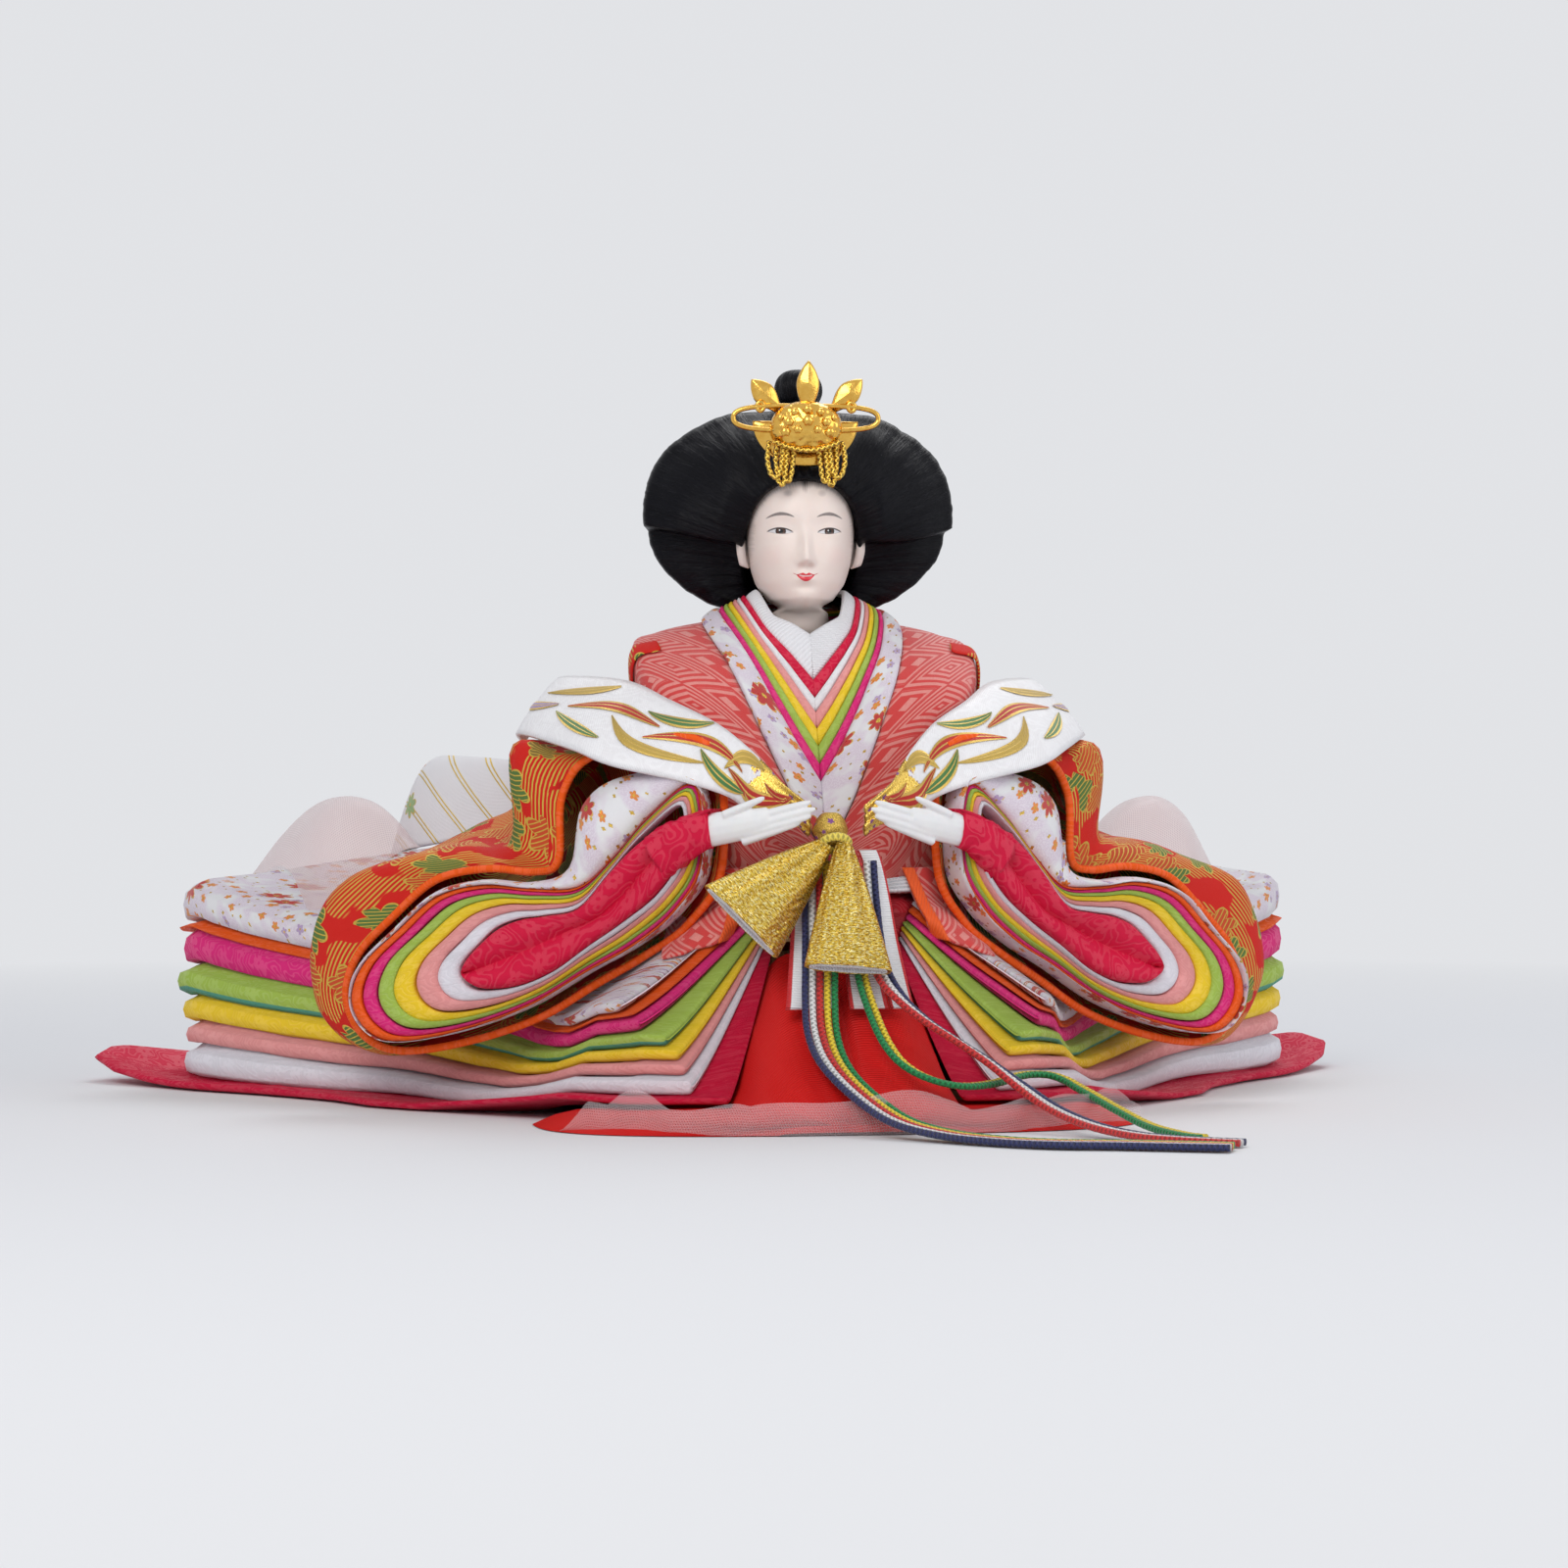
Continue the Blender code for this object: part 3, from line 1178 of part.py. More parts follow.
def add_tail(parent, hair_tree):
    """The tail starts against the back of the hair and falls to lie along the train."""
    top_z = mix(HAIR_BOTTOM_Z, HAIR_TOP_Z, TAIL_TOP_SHARE)
    seat = hair_tree.ray_cast(Vector((0.0, TRAIN_BACK_Y, top_z)), Vector((0.0, -1.0, 0.0)))[0].y
    start = seat + SEAT_GAP + TAIL_THICK / 2.0
    low_z = TRAIN_TOP_Z + TAIL_CLEAR + TAIL_THICK / 2.0
    rings = []
    for (reach, fall), wide in zip(TAIL_PATH_SHARES, TAIL_WIDTH_SHARES):
        middle = Vector((0.0, mix(start, TAIL_REACH, reach), mix(top_z, low_z, fall)))
        tilt = math.pi / 2.0 * (1.0 - ease(min(1.0, max(0.0, (fall - 0.5) / 0.5))))
        ring = []
        for at in range(10):
            angle = math.tau * at / 10
            out = math.sin(angle) * TAIL_THICK / 2.0
            x = math.cos(angle) * TAIL_WIDTH / 2.0 * wide
            ring.append(middle + Vector((x, out * math.sin(tilt), out * math.cos(tilt))))
        rings.append(ring)
    return add_mesh("hair_tail", loft(bmesh.new(), rings), material("hair_black", BLACK, 0.35), parent)


def add_tail_tie(parent, tail):
    """A paper cord wound round the tail where it hangs straight."""
    ring = [tail.data.vertices[at].co for at in range(len(tail.data.vertices))]
    low_z = TRAIN_TOP_Z + TAIL_CLEAR
    z = mix(max(point.z for point in ring), low_z, TAIL_PATH_SHARES[2][1])
    near = [point.y for point in ring if abs(point.z - z) < TAIL_THICK]
    middle_y = (min(near) + max(near)) / 2.0
    loops = []
    for rise in (0.5, -0.5):
        loop = []
        for at in range(12):
            angle = math.tau * at / 12
            x = math.cos(angle) * (TAIL_WIDTH / 2.0 * 0.74 + CLOTH + CLOTH_GAP)
            y = math.sin(angle) * (TAIL_THICK / 2.0 + CLOTH + 2.0 * CLOTH_GAP)
            loop.append(Vector((x, middle_y + y, z + rise * TAIL_THICK * 0.6)))
        loops.append(loop)
    add_tube_sheet("tail_tie", loops, CLOTH, material("tie_paper", WHITE, 0.6), parent)


# Crown: comb plate on the hair, long pin, domed centre, three blades and two hanging loops

BLADE_SHARES = (
    # share of comb half width at the foot, lean in degrees, share of blade height
    (-0.50, -47.0, 0.86), (0.01, 3.0, 1.20), (0.52, 47.0, 0.86),
)
# The hanging cord from its tucked end round one loop to the middle of the brow: shares of its size
HANGING_SHARES = (
    (-0.42, 0.22), (-0.46, -0.05), (-0.30, -0.34), (0.05, -0.44), (0.38, -0.30), (0.50, 0.0),
    (0.42, 0.30), (0.10, 0.47), (-0.45, 0.50), (-1.0, 0.46),
)
BLADE_OUTLINE_SHARES = ((0.0, 0.36), (0.3, 0.8), (0.58, 1.0), (0.82, 0.62), (1.0, 0.06))
# The crown is seated clear of the hair at these shares of its half width and of its height
CROWN_SAMPLE_SHARES = (-1.0, -0.75, -0.5, -0.25, 0.0, 0.25, 0.5, 0.75, 1.0)
COMB_TOP_Z = 0.1689
DOME_Z = 0.1674
LOOP_X = 0.0066
LOOP_Z = 0.1585


def flat_plate(bm, outline, y, thick):
    """A plate from an outline of (x, z) points, with its back at y."""
    back = [Vector((x, y, z)) for x, z in outline]
    front = [Vector((x, y - thick, z)) for x, z in outline]
    loft(bm, [back, front])


def add_crown(parent, hair_tree):
    gold = material("crown_gold", GOLD, 0.22, 1.0)
    reach = []
    for share in CROWN_SAMPLE_SHARES:
        x = PIN_HALF * share
        heights = [COMB_TOP_Z - COMB_HEIGHT * fall for fall in CROWN_SAMPLE_SHARES]
        reach += [front_of([hair_tree], x, z, 0.0) for z in heights]
    comb_back = min(reach) - SEAT_GAP
    comb_front = comb_back - COMB_THICK
    outline = []
    for at in range(15):
        angle = math.pi * at / 14
        outline.append((COMB_HALF * math.cos(angle), COMB_TOP_Z - COMB_HEIGHT * math.sin(angle)))
    comb = bmesh.new()
    flat_plate(comb, outline, comb_back, COMB_THICK)
    plates = add_mesh("crown_plates", comb, gold, parent, flat=True)
    for foot_share, lean, tall in BLADE_SHARES:
        lean = math.radians(lean)
        height = BLADE_HEIGHT * tall
        half = BLADE_WIDTH / 2.0
        sides = []
        for rise, wide in BLADE_OUTLINE_SHARES:
            sides.append((wide * half, rise * height))
        points = sides + [(-x, z) for x, z in sides[::-1]]
        foot_z = COMB_TOP_Z - BLADE_FOOT
        outline = []
        for x, z in points:
            turned_x = x * math.cos(lean) + z * math.sin(lean)
            turned_z = z * math.cos(lean) - x * math.sin(lean)
            outline.append((foot_share * COMB_HALF + turned_x, foot_z + turned_z))
        blade = bmesh.new()
        flat_plate(blade, outline, comb_back + BLADE_LIP, BLADE_THICK)
        helper = add_mesh("blade_helper", blade, gold, parent, flat=True)
        helper.hide_render = True
        helper.display_type = "WIRE"
        union = plates.modifiers.new("blade", "BOOLEAN")
        union.operation = "UNION"
        union.object = helper

    middle = (0.0, comb_front - SEAT_GAP - PIN_RADIUS, COMB_TOP_Z + 0.1 * PIN_HEIGHT)
    pin = closed_loop(middle, PIN_HALF, PIN_HEIGHT / 2.0, 26, 0.35)
    add_closed_cords("crown_pin", [pin], PIN_RADIUS, gold, parent)

    back = comb_front - 2.0 * (SEAT_GAP + max(PIN_RADIUS, CORD_LOOP_RADIUS))
    rings = []
    for share in (0.0, 0.35, 0.65, 0.88, 1.0):
        spread = math.sqrt(1.0 - (0.96 * share) ** 2)
        ring = []
        for at in range(16):
            angle = math.tau * at / 16
            x = DOME_HALF * spread * math.cos(angle)
            z = DOME_Z + DOME_HEIGHT / 2.0 * spread * math.sin(angle)
            ring.append(Vector((x, back - DOME_DEPTH * share, z)))
        rings.append(ring)
    add_mesh("crown_dome", loft(bmesh.new(), rings), gold, parent)

    half = []
    for wide, high in HANGING_SHARES:
        x = LOOP_X + wide * CORD_LOOP / 2.0
        half.append((x, comb_front - SEAT_GAP - CORD_LOOP_RADIUS, LOOP_Z + high * CORD_LOOP))
    route = even_path([(-x, y, z) for x, y, z in half] + half[::-1], 32)
    add_cords("crown_loops", [route], CORD_LOOP_RADIUS, gold, parent, 1)


def closed_loop(middle, half_x, half_z, count, roundness):
    """An upright oval; a roundness below one squares its ends off like a long link."""
    loop = []
    for at in range(count):
        angle = math.tau * at / count
        x = math.copysign(abs(math.cos(angle)) ** roundness, math.cos(angle))
        z = math.copysign(abs(math.sin(angle)) ** roundness, math.sin(angle))
        loop.append((middle[0] + half_x * x, middle[1], middle[2] + half_z * z))
    return loop


def add_closed_cords(name, loops, radius, look, parent):
    made = add_cords(name, loops, radius, look, parent, resolution=1)
    for spline in made.data.splines:
        spline.use_cyclic_u = True
    return made


# Five-colour cords: the middle line of each bundle, from behind the bow to its cut ends

LEFT_ROUTE = (
    (-0.0050, -0.0532, 0.0618), (-0.0054, -0.0562, 0.0500), (-0.0062, -0.0612, 0.0365),
    (-0.0070, -0.0655, 0.0285), (-0.0072, -0.0705, 0.0215), (-0.0056, -0.0775, 0.0152),
    (-0.0010, -0.0860, 0.0092), (0.0056, -0.0965, 0.0040), (0.0140, -0.1075, 0.0018),
    (0.0240, -0.1190, 0.0012), (0.0345, -0.1275, 0.0012), (0.0470, -0.1315, 0.0012),
    (0.0600, -0.1370, 0.0012), (0.0700, -0.1415, 0.0012),
)
RIGHT_ROUTE = (
    (0.0064, -0.0532, 0.0618), (0.0068, -0.0562, 0.0500), (0.0080, -0.0615, 0.0375),
    (0.0107, -0.0680, 0.0310), (0.0168, -0.0720, 0.0250), (0.0245, -0.0745, 0.0198),
    (0.0310, -0.0770, 0.0153), (0.0371, -0.0815, 0.0103), (0.0430, -0.0900, 0.0056),
    (0.0492, -0.1010, 0.0027), (0.0560, -0.1125, 0.0014), (0.0640, -0.1235, 0.0012),
    (0.0750, -0.1325, 0.0012),
)
CURL_ROUTE = (
    (0.0016, -0.0532, 0.0618), (0.0022, -0.0562, 0.0500), (0.0032, -0.0620, 0.0365),
    (0.0045, -0.0690, 0.0277), (0.0067, -0.0760, 0.0201), (0.0105, -0.0805, 0.0150),
    (0.0170, -0.0825, 0.0118), (0.0243, -0.0805, 0.0104), (0.0327, -0.0745, 0.0106),
    (0.0415, -0.0665, 0.0118), (0.0490, -0.0665, 0.0114), (0.0537, -0.0740, 0.0087),
    (0.0590, -0.0880, 0.0048), (0.0630, -0.1000, 0.0022), (0.0670, -0.1130, 0.0013),
    (0.0700, -0.1190, 0.0012),
)
CORD_PITCH = 0.00174
CORD_POINTS = 36
NAVY = (0.010, 0.015, 0.09)
CORD_BUNDLES = (
    ("left", LEFT_ROUTE, (("navy", NAVY), ("white", WHITE), ("red", SCARLET), ("yellow", YELLOW),
                          ("green", (0.0, 0.22, 0.06)))),
    ("curl", CURL_ROUTE, (("green", (0.0, 0.22, 0.06)), ("yellow", YELLOW))),
    ("right", RIGHT_ROUTE, (("red", SCARLET), ("white", WHITE), ("navy", NAVY))),
)


def side_route(route, offset):
    """The same route, moved level and square to its own way."""
    moved = []
    across = Vector((1.0, 0.0, 0.0))
    for at, point in enumerate(route):
        way = route[min(at + 1, len(route) - 1)] - route[max(at - 1, 0)]
        level = Vector((-way.y, way.x, 0.0))
        if level.length > 0.35 * way.length:
            across = level.normalized()
        moved.append(point + across * offset)
    return moved


def add_free_cords(parent):
    for word, route, strands in CORD_BUNDLES:
        middle = even_path(route, CORD_POINTS)
        for at, (colour_name, colour) in enumerate(strands):
            offset = (at - (len(strands) - 1) / 2.0) * CORD_PITCH
            look = material("cord_" + colour_name, colour, 0.5)
            name = "cord_" + word + "_" + colour_name
            add_cords(name, [side_route(middle, offset)], CORD_RADIUS, look, parent)


def centre_on_floor(root, names_left_out):
    """Moves the root so that the middle of the footprint, cords apart, is over the origin."""
    bpy.context.view_layer.update()
    lows = []
    highs = []
    for made in bpy.data.objects:
        if made.type in ("MESH", "CURVE") and not made.name.startswith(names_left_out):
            corners = [made.matrix_world @ Vector(corner) for corner in made.bound_box]
            lows.append(min(corner.y for corner in corners))
            highs.append(max(corner.y for corner in corners))
    root.location.y = -(min(lows) + max(highs)) / 2.0


def main():
    clear_scene()
    root = add_empty("doll_root", (0.0, 0.0, 0.0))
    robes = add_robes(root)
    robe_trees = [tree_of(robe) for robe in robes]
    add_torso(root)
    add_hakama(root)
    add_collars(root)
    loops = jacket_loops(robe_trees[-1])
    jacket = add_jacket(root, loops)
    sash = add_sash(root, sash_loops(loops))
    bands = add_bands(root, [tree_of(jacket), tree_of(sash)])
    add_outer_sleeves(root, robe_trees, [tree_of(band) for band in bands])
    add_inner_sleeves(root)
    add_cuffs(root)
    add_hands(root)
    add_bow(root)
    add_straps(root)
    add_train(root, robe_trees)
    add_free_cords(root)

    lift = add_empty("head_lift", (0.0, 0.0, 0.0), root)
    add_stick(lift)
    turn = add_empty("head_turn", (0.0, 0.0, 0.0), lift, -HEAD_TURN)
    add_head(turn)
    hair_tree = tree_of(add_hair(turn))
    add_bun(turn)
    tail = add_tail(turn, hair_tree)
    add_tail_tie(turn, tail)
    add_crown(turn, hair_tree)
    centre_on_floor(root, "cord_")


main()
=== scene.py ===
"""Looks of a seated court lady doll: silk layers, brocade, powdered face, combed hair, crown and cords."""
import json
import math

import bmesh
import bpy
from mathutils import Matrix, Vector, noise
from mathutils.bvhtree import BVHTree


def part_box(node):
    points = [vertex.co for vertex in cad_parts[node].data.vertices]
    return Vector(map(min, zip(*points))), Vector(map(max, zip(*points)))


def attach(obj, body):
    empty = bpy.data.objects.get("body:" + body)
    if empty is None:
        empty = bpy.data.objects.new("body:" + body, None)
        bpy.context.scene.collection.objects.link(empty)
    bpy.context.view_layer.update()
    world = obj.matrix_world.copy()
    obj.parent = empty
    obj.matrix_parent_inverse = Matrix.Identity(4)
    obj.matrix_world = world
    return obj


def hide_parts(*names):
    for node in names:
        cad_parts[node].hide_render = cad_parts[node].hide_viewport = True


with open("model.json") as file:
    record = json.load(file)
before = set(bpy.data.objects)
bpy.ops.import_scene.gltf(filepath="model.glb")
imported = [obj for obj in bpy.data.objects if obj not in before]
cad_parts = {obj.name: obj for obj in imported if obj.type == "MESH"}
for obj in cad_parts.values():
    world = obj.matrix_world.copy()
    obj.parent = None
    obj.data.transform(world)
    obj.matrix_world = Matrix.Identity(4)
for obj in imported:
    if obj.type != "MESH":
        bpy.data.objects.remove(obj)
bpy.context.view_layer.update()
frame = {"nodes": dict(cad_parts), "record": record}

# The frame: the neck's axis stands behind the middle of the footprint
JOINTS = {joint["name"]: joint for joint in frame["record"]["behaviour"]["joints"]}
SLOTS = {part["node"]: part["material_slot"] for part in frame["record"]["subparts"]}
NECK_Y = JOINTS["head_turn"]["pos_m"][1]
HEAD_TURN = math.radians(-5)
SIDES = (("left", -1.0), ("right", 1.0))

# Camera, as the photograph was taken
VIEW_TURN = math.radians(-10)
VIEW_DISTANCE = 1.0
VIEW_HEIGHT = 0.080
VIEW_ASIDE = 0.0039
LENS = 92.25
SENSOR = 36.0


# Rays onto the solids start outside the doll
RAY_START = 0.2


# Small sums

def mix(a, b, share):
    return a + (b - a) * share


def mix_points(a, b, share):
    return tuple(mix(p, q, share) for p, q in zip(a, b))


def turns(count):
    """Even angles once round."""
    return [math.tau * at / count for at in range(count)]


def ease(share):
    share = min(1.0, max(0.0, share))
    return share * share * (3.0 - 2.0 * share)


def hump(value, middle, width):
    """A smooth hump of height one round a middle value."""
    return math.exp(-((value - middle) / width) ** 2)


def lookup(shares, share):
    if share <= shares[0][0]:
        return shares[0][1]
    for low, high in zip(shares, shares[1:]):
        if share <= high[0]:
            return mix(low[1], high[1], (share - low[0]) / (high[0] - low[0]))
    return shares[-1][1]


def spline(a, b, c, d, t):
    """A place on the Catmull-Rom curve between b and c."""
    bend = 2.0 * b + (c - a) * t + (2.0 * a - 5.0 * b + 4.0 * c - d) * t * t
    return (bend + (3.0 * b - a - 3.0 * c + d) * t * t * t) * 0.5


def smooth_path(points, count, closed=False):
    """Points read evenly from a Catmull-Rom curve through the given points."""
    total = len(points)
    spans = total if closed else total - 1
    result = []
    steps = count if closed else count - 1
    for index in range(count):
        place = index / steps * spans
        span = min(int(place), spans - 1)
        t = place - span
        picks = []
        for offset in (-1, 0, 1, 2):
            at = span + offset
            at = at % total if closed else min(max(at, 0), total - 1)
            picks.append(Vector(points[at]))
        result.append(spline(*picks, t))
    return result


def even_path(points, count):
    """A smooth curve through the points, then re-read at even distances."""
    fine = smooth_path(points, 40 * len(points))
    reach = [0.0]
    for a, b in zip(fine, fine[1:]):
        reach.append(reach[-1] + (b - a).length)
    result = []
    at = 0
    for index in range(count):
        goal = reach[-1] * index / (count - 1)
        while at < len(fine) - 2 and reach[at + 1] < goal:
            at += 1
        span = reach[at + 1] - reach[at]
        result.append(fine[at].lerp(fine[at + 1], (goal - reach[at]) / span if span else 0.0))
    return result


def path_length(points):
    return sum((b - a).length for a, b in zip(points, points[1:]))


def in_row(point):
    """A point measured from the neck's axis, in the row frame."""
    return Vector((point[0], point[1] + NECK_Y, point[2]))


# Shader sums: a pattern is written as a formula of Numbers

class Number:
    """A number in a material's node tree."""

    def __init__(self, look, socket):
        self.look = look
        self.socket = socket

    def math(self, operation, *others, clamp=False):
        node = self.look.tree.nodes.new("ShaderNodeMath")
        node.operation = operation
        node.use_clamp = clamp
        for at, value in enumerate((self,) + others):
            self.look.put(node.inputs[at], value)
        return Number(self.look, node.outputs[0])

    def __add__(self, other):
        return self.math("ADD", other)

    def __sub__(self, other):
        return self.math("SUBTRACT", other)

    def __mul__(self, other):
        return self.math("MULTIPLY", other)

    def __truediv__(self, other):
        return self.math("DIVIDE", other)

    def __neg__(self):
        return self * -1.0

    def __radd__(self, other):
        return self + other

    def __rmul__(self, other):
        return self * other

    def __rsub__(self, other):
        return -self + other

    def __abs__(self):
        return self.math("ABSOLUTE")

    def cell(self):
        """The way from the nearest whole number, from minus a half to a half."""
        return (self + 0.5).math("FRACT") - 0.5

    def wave(self):
        return self.math("SINE")

    def ribs(self, pitch):
        """Even waves, one to each pitch."""
        return (self * (math.tau / pitch)).wave()

    def root(self):
        return self.math("SQRT")

    def clamped(self):
        return self.math("ADD", 0.0, clamp=True)

    def least(self, other):
        return self.math("MINIMUM", other)

    def most(self, other):
        return self.math("MAXIMUM", other)

    def above(self, edge, soft=0.05):
        """One above an edge and zero below it, with a soft step."""
        return ((self - edge) / soft + 0.5).clamped()

    def below(self, edge, soft=0.05):
        return 1.0 - self.above(edge, soft)


class Look:
    """A material and its shader, with short calls for its nodes."""

    def __init__(self, name, colour=(0.8, 0.8, 0.8), roughness=0.5, metallic=0.0, **settings):
        self.material = bpy.data.materials.new(name)
        self.material.use_nodes = True
        self.tree = self.material.node_tree
        self.shader = self.tree.nodes["Principled BSDF"]
        self.put(self.shader.inputs["Base Color"], colour)
        self.put(self.shader.inputs["Roughness"], roughness)
        self.put(self.shader.inputs["Metallic"], metallic)
        for socket, value in settings.items():
            self.put(self.shader.inputs[socket.replace("_", " ")], value)

    def put(self, socket, value):
        if isinstance(value, Number):
            self.tree.links.new(value.socket, socket)
        elif isinstance(value, bpy.types.NodeSocket):
            self.tree.links.new(value, socket)
        elif isinstance(value, tuple) and len(value) == 3 and len(socket.default_value) == 4:
            socket.default_value = (*value, 1.0)
        else:
            socket.default_value = value

    def add(self, kind, **settings):
        node = self.tree.nodes.new(kind)
        for name, value in settings.items():
            setattr(node, name, value)
        return node

    def uv(self, layer="Cloth"):
        """The cloth's own coordinates as two Numbers: millimetres, or shares on layer Share."""
        node = self.add("ShaderNodeUVMap", uv_map=layer)
        parts = self.add("ShaderNodeSeparateXYZ")
        self.tree.links.new(node.outputs[0], parts.inputs[0])
        return Number(self, parts.outputs[0]), Number(self, parts.outputs[1])

    def place(self):
        """The place on the object as three Numbers, in millimetres."""
        node = self.add("ShaderNodeTexCoord")
        parts = self.add("ShaderNodeSeparateXYZ")
        self.tree.links.new(node.outputs["Object"], parts.inputs[0])
        return [Number(self, parts.outputs[at]) * 1000.0 for at in range(3)]

    def join(self, *numbers):
        node = self.add("ShaderNodeCombineXYZ")
        for at, value in enumerate(numbers):
            self.put(node.inputs[at], value)
        return node.outputs[0]

    def noise(self, place, scale=1.0, detail=3.0, rough=0.5):
        node = self.add("ShaderNodeTexNoise")
        self.put(node.inputs["Vector"], self.join(*place))
        node.inputs["Scale"].default_value = scale
        node.inputs["Detail"].default_value = detail
        node.inputs["Roughness"].default_value = rough
        return Number(self, node.outputs[0])

    def cells(self, x, y):
        """Scattered cells: three chances for each cell, and its middle."""
        node = self.add("ShaderNodeTexVoronoi", voronoi_dimensions="2D")
        self.put(node.inputs["Vector"], self.join(x, y))
        node.inputs["Scale"].default_value = 1.0
        node.inputs["Randomness"].default_value = SCATTER
        parts = self.add("ShaderNodeSeparateXYZ")
        self.tree.links.new(node.outputs["Color"], parts.inputs[0])
        chance = [Number(self, parts.outputs[at]) for at in range(3)]
        middle = self.add("ShaderNodeSeparateXYZ")
        self.tree.links.new(node.outputs["Position"], middle.inputs[0])
        return chance, [Number(self, middle.outputs[at]) for at in range(2)]

    def blend(self, share, first, second):
        """A colour between two colours."""
        node = self.add("ShaderNodeMix", data_type="RGBA")
        self.put(node.inputs["Factor"], share)
        self.put(node.inputs[6], first)
        self.put(node.inputs[7], second)
        return node.outputs[2]

    def bump(self, height, distance, strength=1.0):
        node = self.add("ShaderNodeBump")
        node.inputs["Strength"].default_value = strength
        node.inputs["Distance"].default_value = distance
        self.put(node.inputs["Height"], height)
        self.put(self.shader.inputs["Normal"], node.outputs[0])

    def colour(self, value):
        self.put(self.shader.inputs["Base Color"], value)

    def rough(self, value):
        self.put(self.shader.inputs["Roughness"], value)

    def metal(self, value):
        self.put(self.shader.inputs["Metallic"], value)


# Patterns, in millimetres of cloth

# How far the blossoms stray from an even grid, from 0 to 1
SCATTER = 0.75


def weave(u, v, pitch=0.34):
    """Fine crossing threads."""
    return u.ribs(pitch) * v.ribs(pitch)


def flowers(look, u, v, cell, petals, size, chance_edge=0.0, seed=0.0):
    """Scattered blossoms: their mask, their heart's mask and three chances per blossom."""
    across, along = u / cell + seed, v / cell + seed
    chance, middle = look.cells(across, along)
    x = (across - middle[0]) * cell
    y = (along - middle[1]) * cell
    reach = (x * x + y * y).root()
    angle = y.math("ARCTAN2", x) + chance[0] * math.tau
    petal = abs((angle * (petals / 2.0)).wave())
    edge = (petal * 0.45 + 0.55) * size * (chance[1] * 0.5 + 0.7)
    mask = (edge - reach).above(0.0, 0.12)
    if chance_edge:
        mask = mask * chance[2].above(chance_edge, 0.01)
    heart = reach.below(size * 0.2, 0.1)
    return mask, heart, chance


def damask(look, u, v, size):
    """Tone in tone woven scrolls: one in the figure and zero in the ground."""
    spot = (u / size, v / size)
    bend = look.noise(spot, 1.1, 2.0)
    rings = look.noise(spot, 0.8, 0.0) * 7.0 + bend * 2.0
    scroll = abs(rings.cell()).below(0.16, 0.07)
    petal, heart, _ = flowers(look, u, v, size * 1.7, 5, size * 0.55)
    return scroll.most(petal - heart)


def silk(name, colour, figure=4.0, tone=0.16, roughness=0.48, edge=None):
    """Woven silk with a tone in tone figure, thread relief and a soft sheen."""
    look = Look(name, colour, roughness, Specular_IOR_Level=0.22)
    u, v = look.uv()
    dark = tuple(c * (1.0 - tone * 1.3) for c in colour)
    light = tuple(min(1.0, c * 1.06 + (1.0 - c) * tone * 0.22) for c in colour)
    woven = damask(look, u, v, figure)
    threads = weave(u, v)
    drift = look.noise((u / 22.0, v / 22.0))
    tinted = look.blend(woven, colour, light)
    shaded = look.blend((drift - 0.42) * 0.9, tinted, dark)
    if edge:
        _, share = look.uv("Share")
        shaded = look.blend(share.above(edge[0], 0.004), shaded, edge[1])
    look.colour(shaded)
    look.rough(roughness + 0.14 - woven * 0.2)
    look.bump(woven * 0.6 + threads * 0.35 + drift * 1.5, 0.00012, 0.8)
    return look.material


def twill(name, colour, pitch=1.1, roughness=0.6):
    """Ribbed cloth with slanting lines."""
    look = Look(name, colour, roughness, Sheen_Weight=0.2, Sheen_Roughness=0.4)
    u, v = look.uv()
    rib = (u + v * 0.6).ribs(pitch)
    drift = look.noise((u / 9.0, v / 9.0))
    dark = tuple(c * 0.86 for c in colour)
    look.colour(look.blend(rib * 0.25 + drift * 0.6, colour, dark))
    look.bump(rib + weave(u, v, 0.4) * 0.3, 0.0001, 0.7)
    return look.material


# Colours of the silks

CRIMSON = (0.68, 0.005, 0.050)
IVORY = (0.80, 0.78, 0.84)
ROSE = (0.83, 0.33, 0.32)
YELLOW = (0.92, 0.63, 0.025)
GREEN = (0.38, 0.54, 0.085)
TEAL = (0.09, 0.34, 0.24)
MAGENTA = (0.76, 0.022, 0.20)
ORANGE = (0.88, 0.105, 0.005)
PEARL = (0.80, 0.73, 0.80)
LILAC = (0.50, 0.36, 0.58)
SCARLET = (0.66, 0.012, 0.006)
GOLD = (0.62, 0.42, 0.075)
LEAF_GREEN = (0.10, 0.19, 0.045)
CORAL = (0.74, 0.050, 0.046)
CORAL_LIGHT = (0.90, 0.34, 0.30)
PLUM = (0.23, 0.06, 0.28)
WHITE = (0.84, 0.84, 0.86)


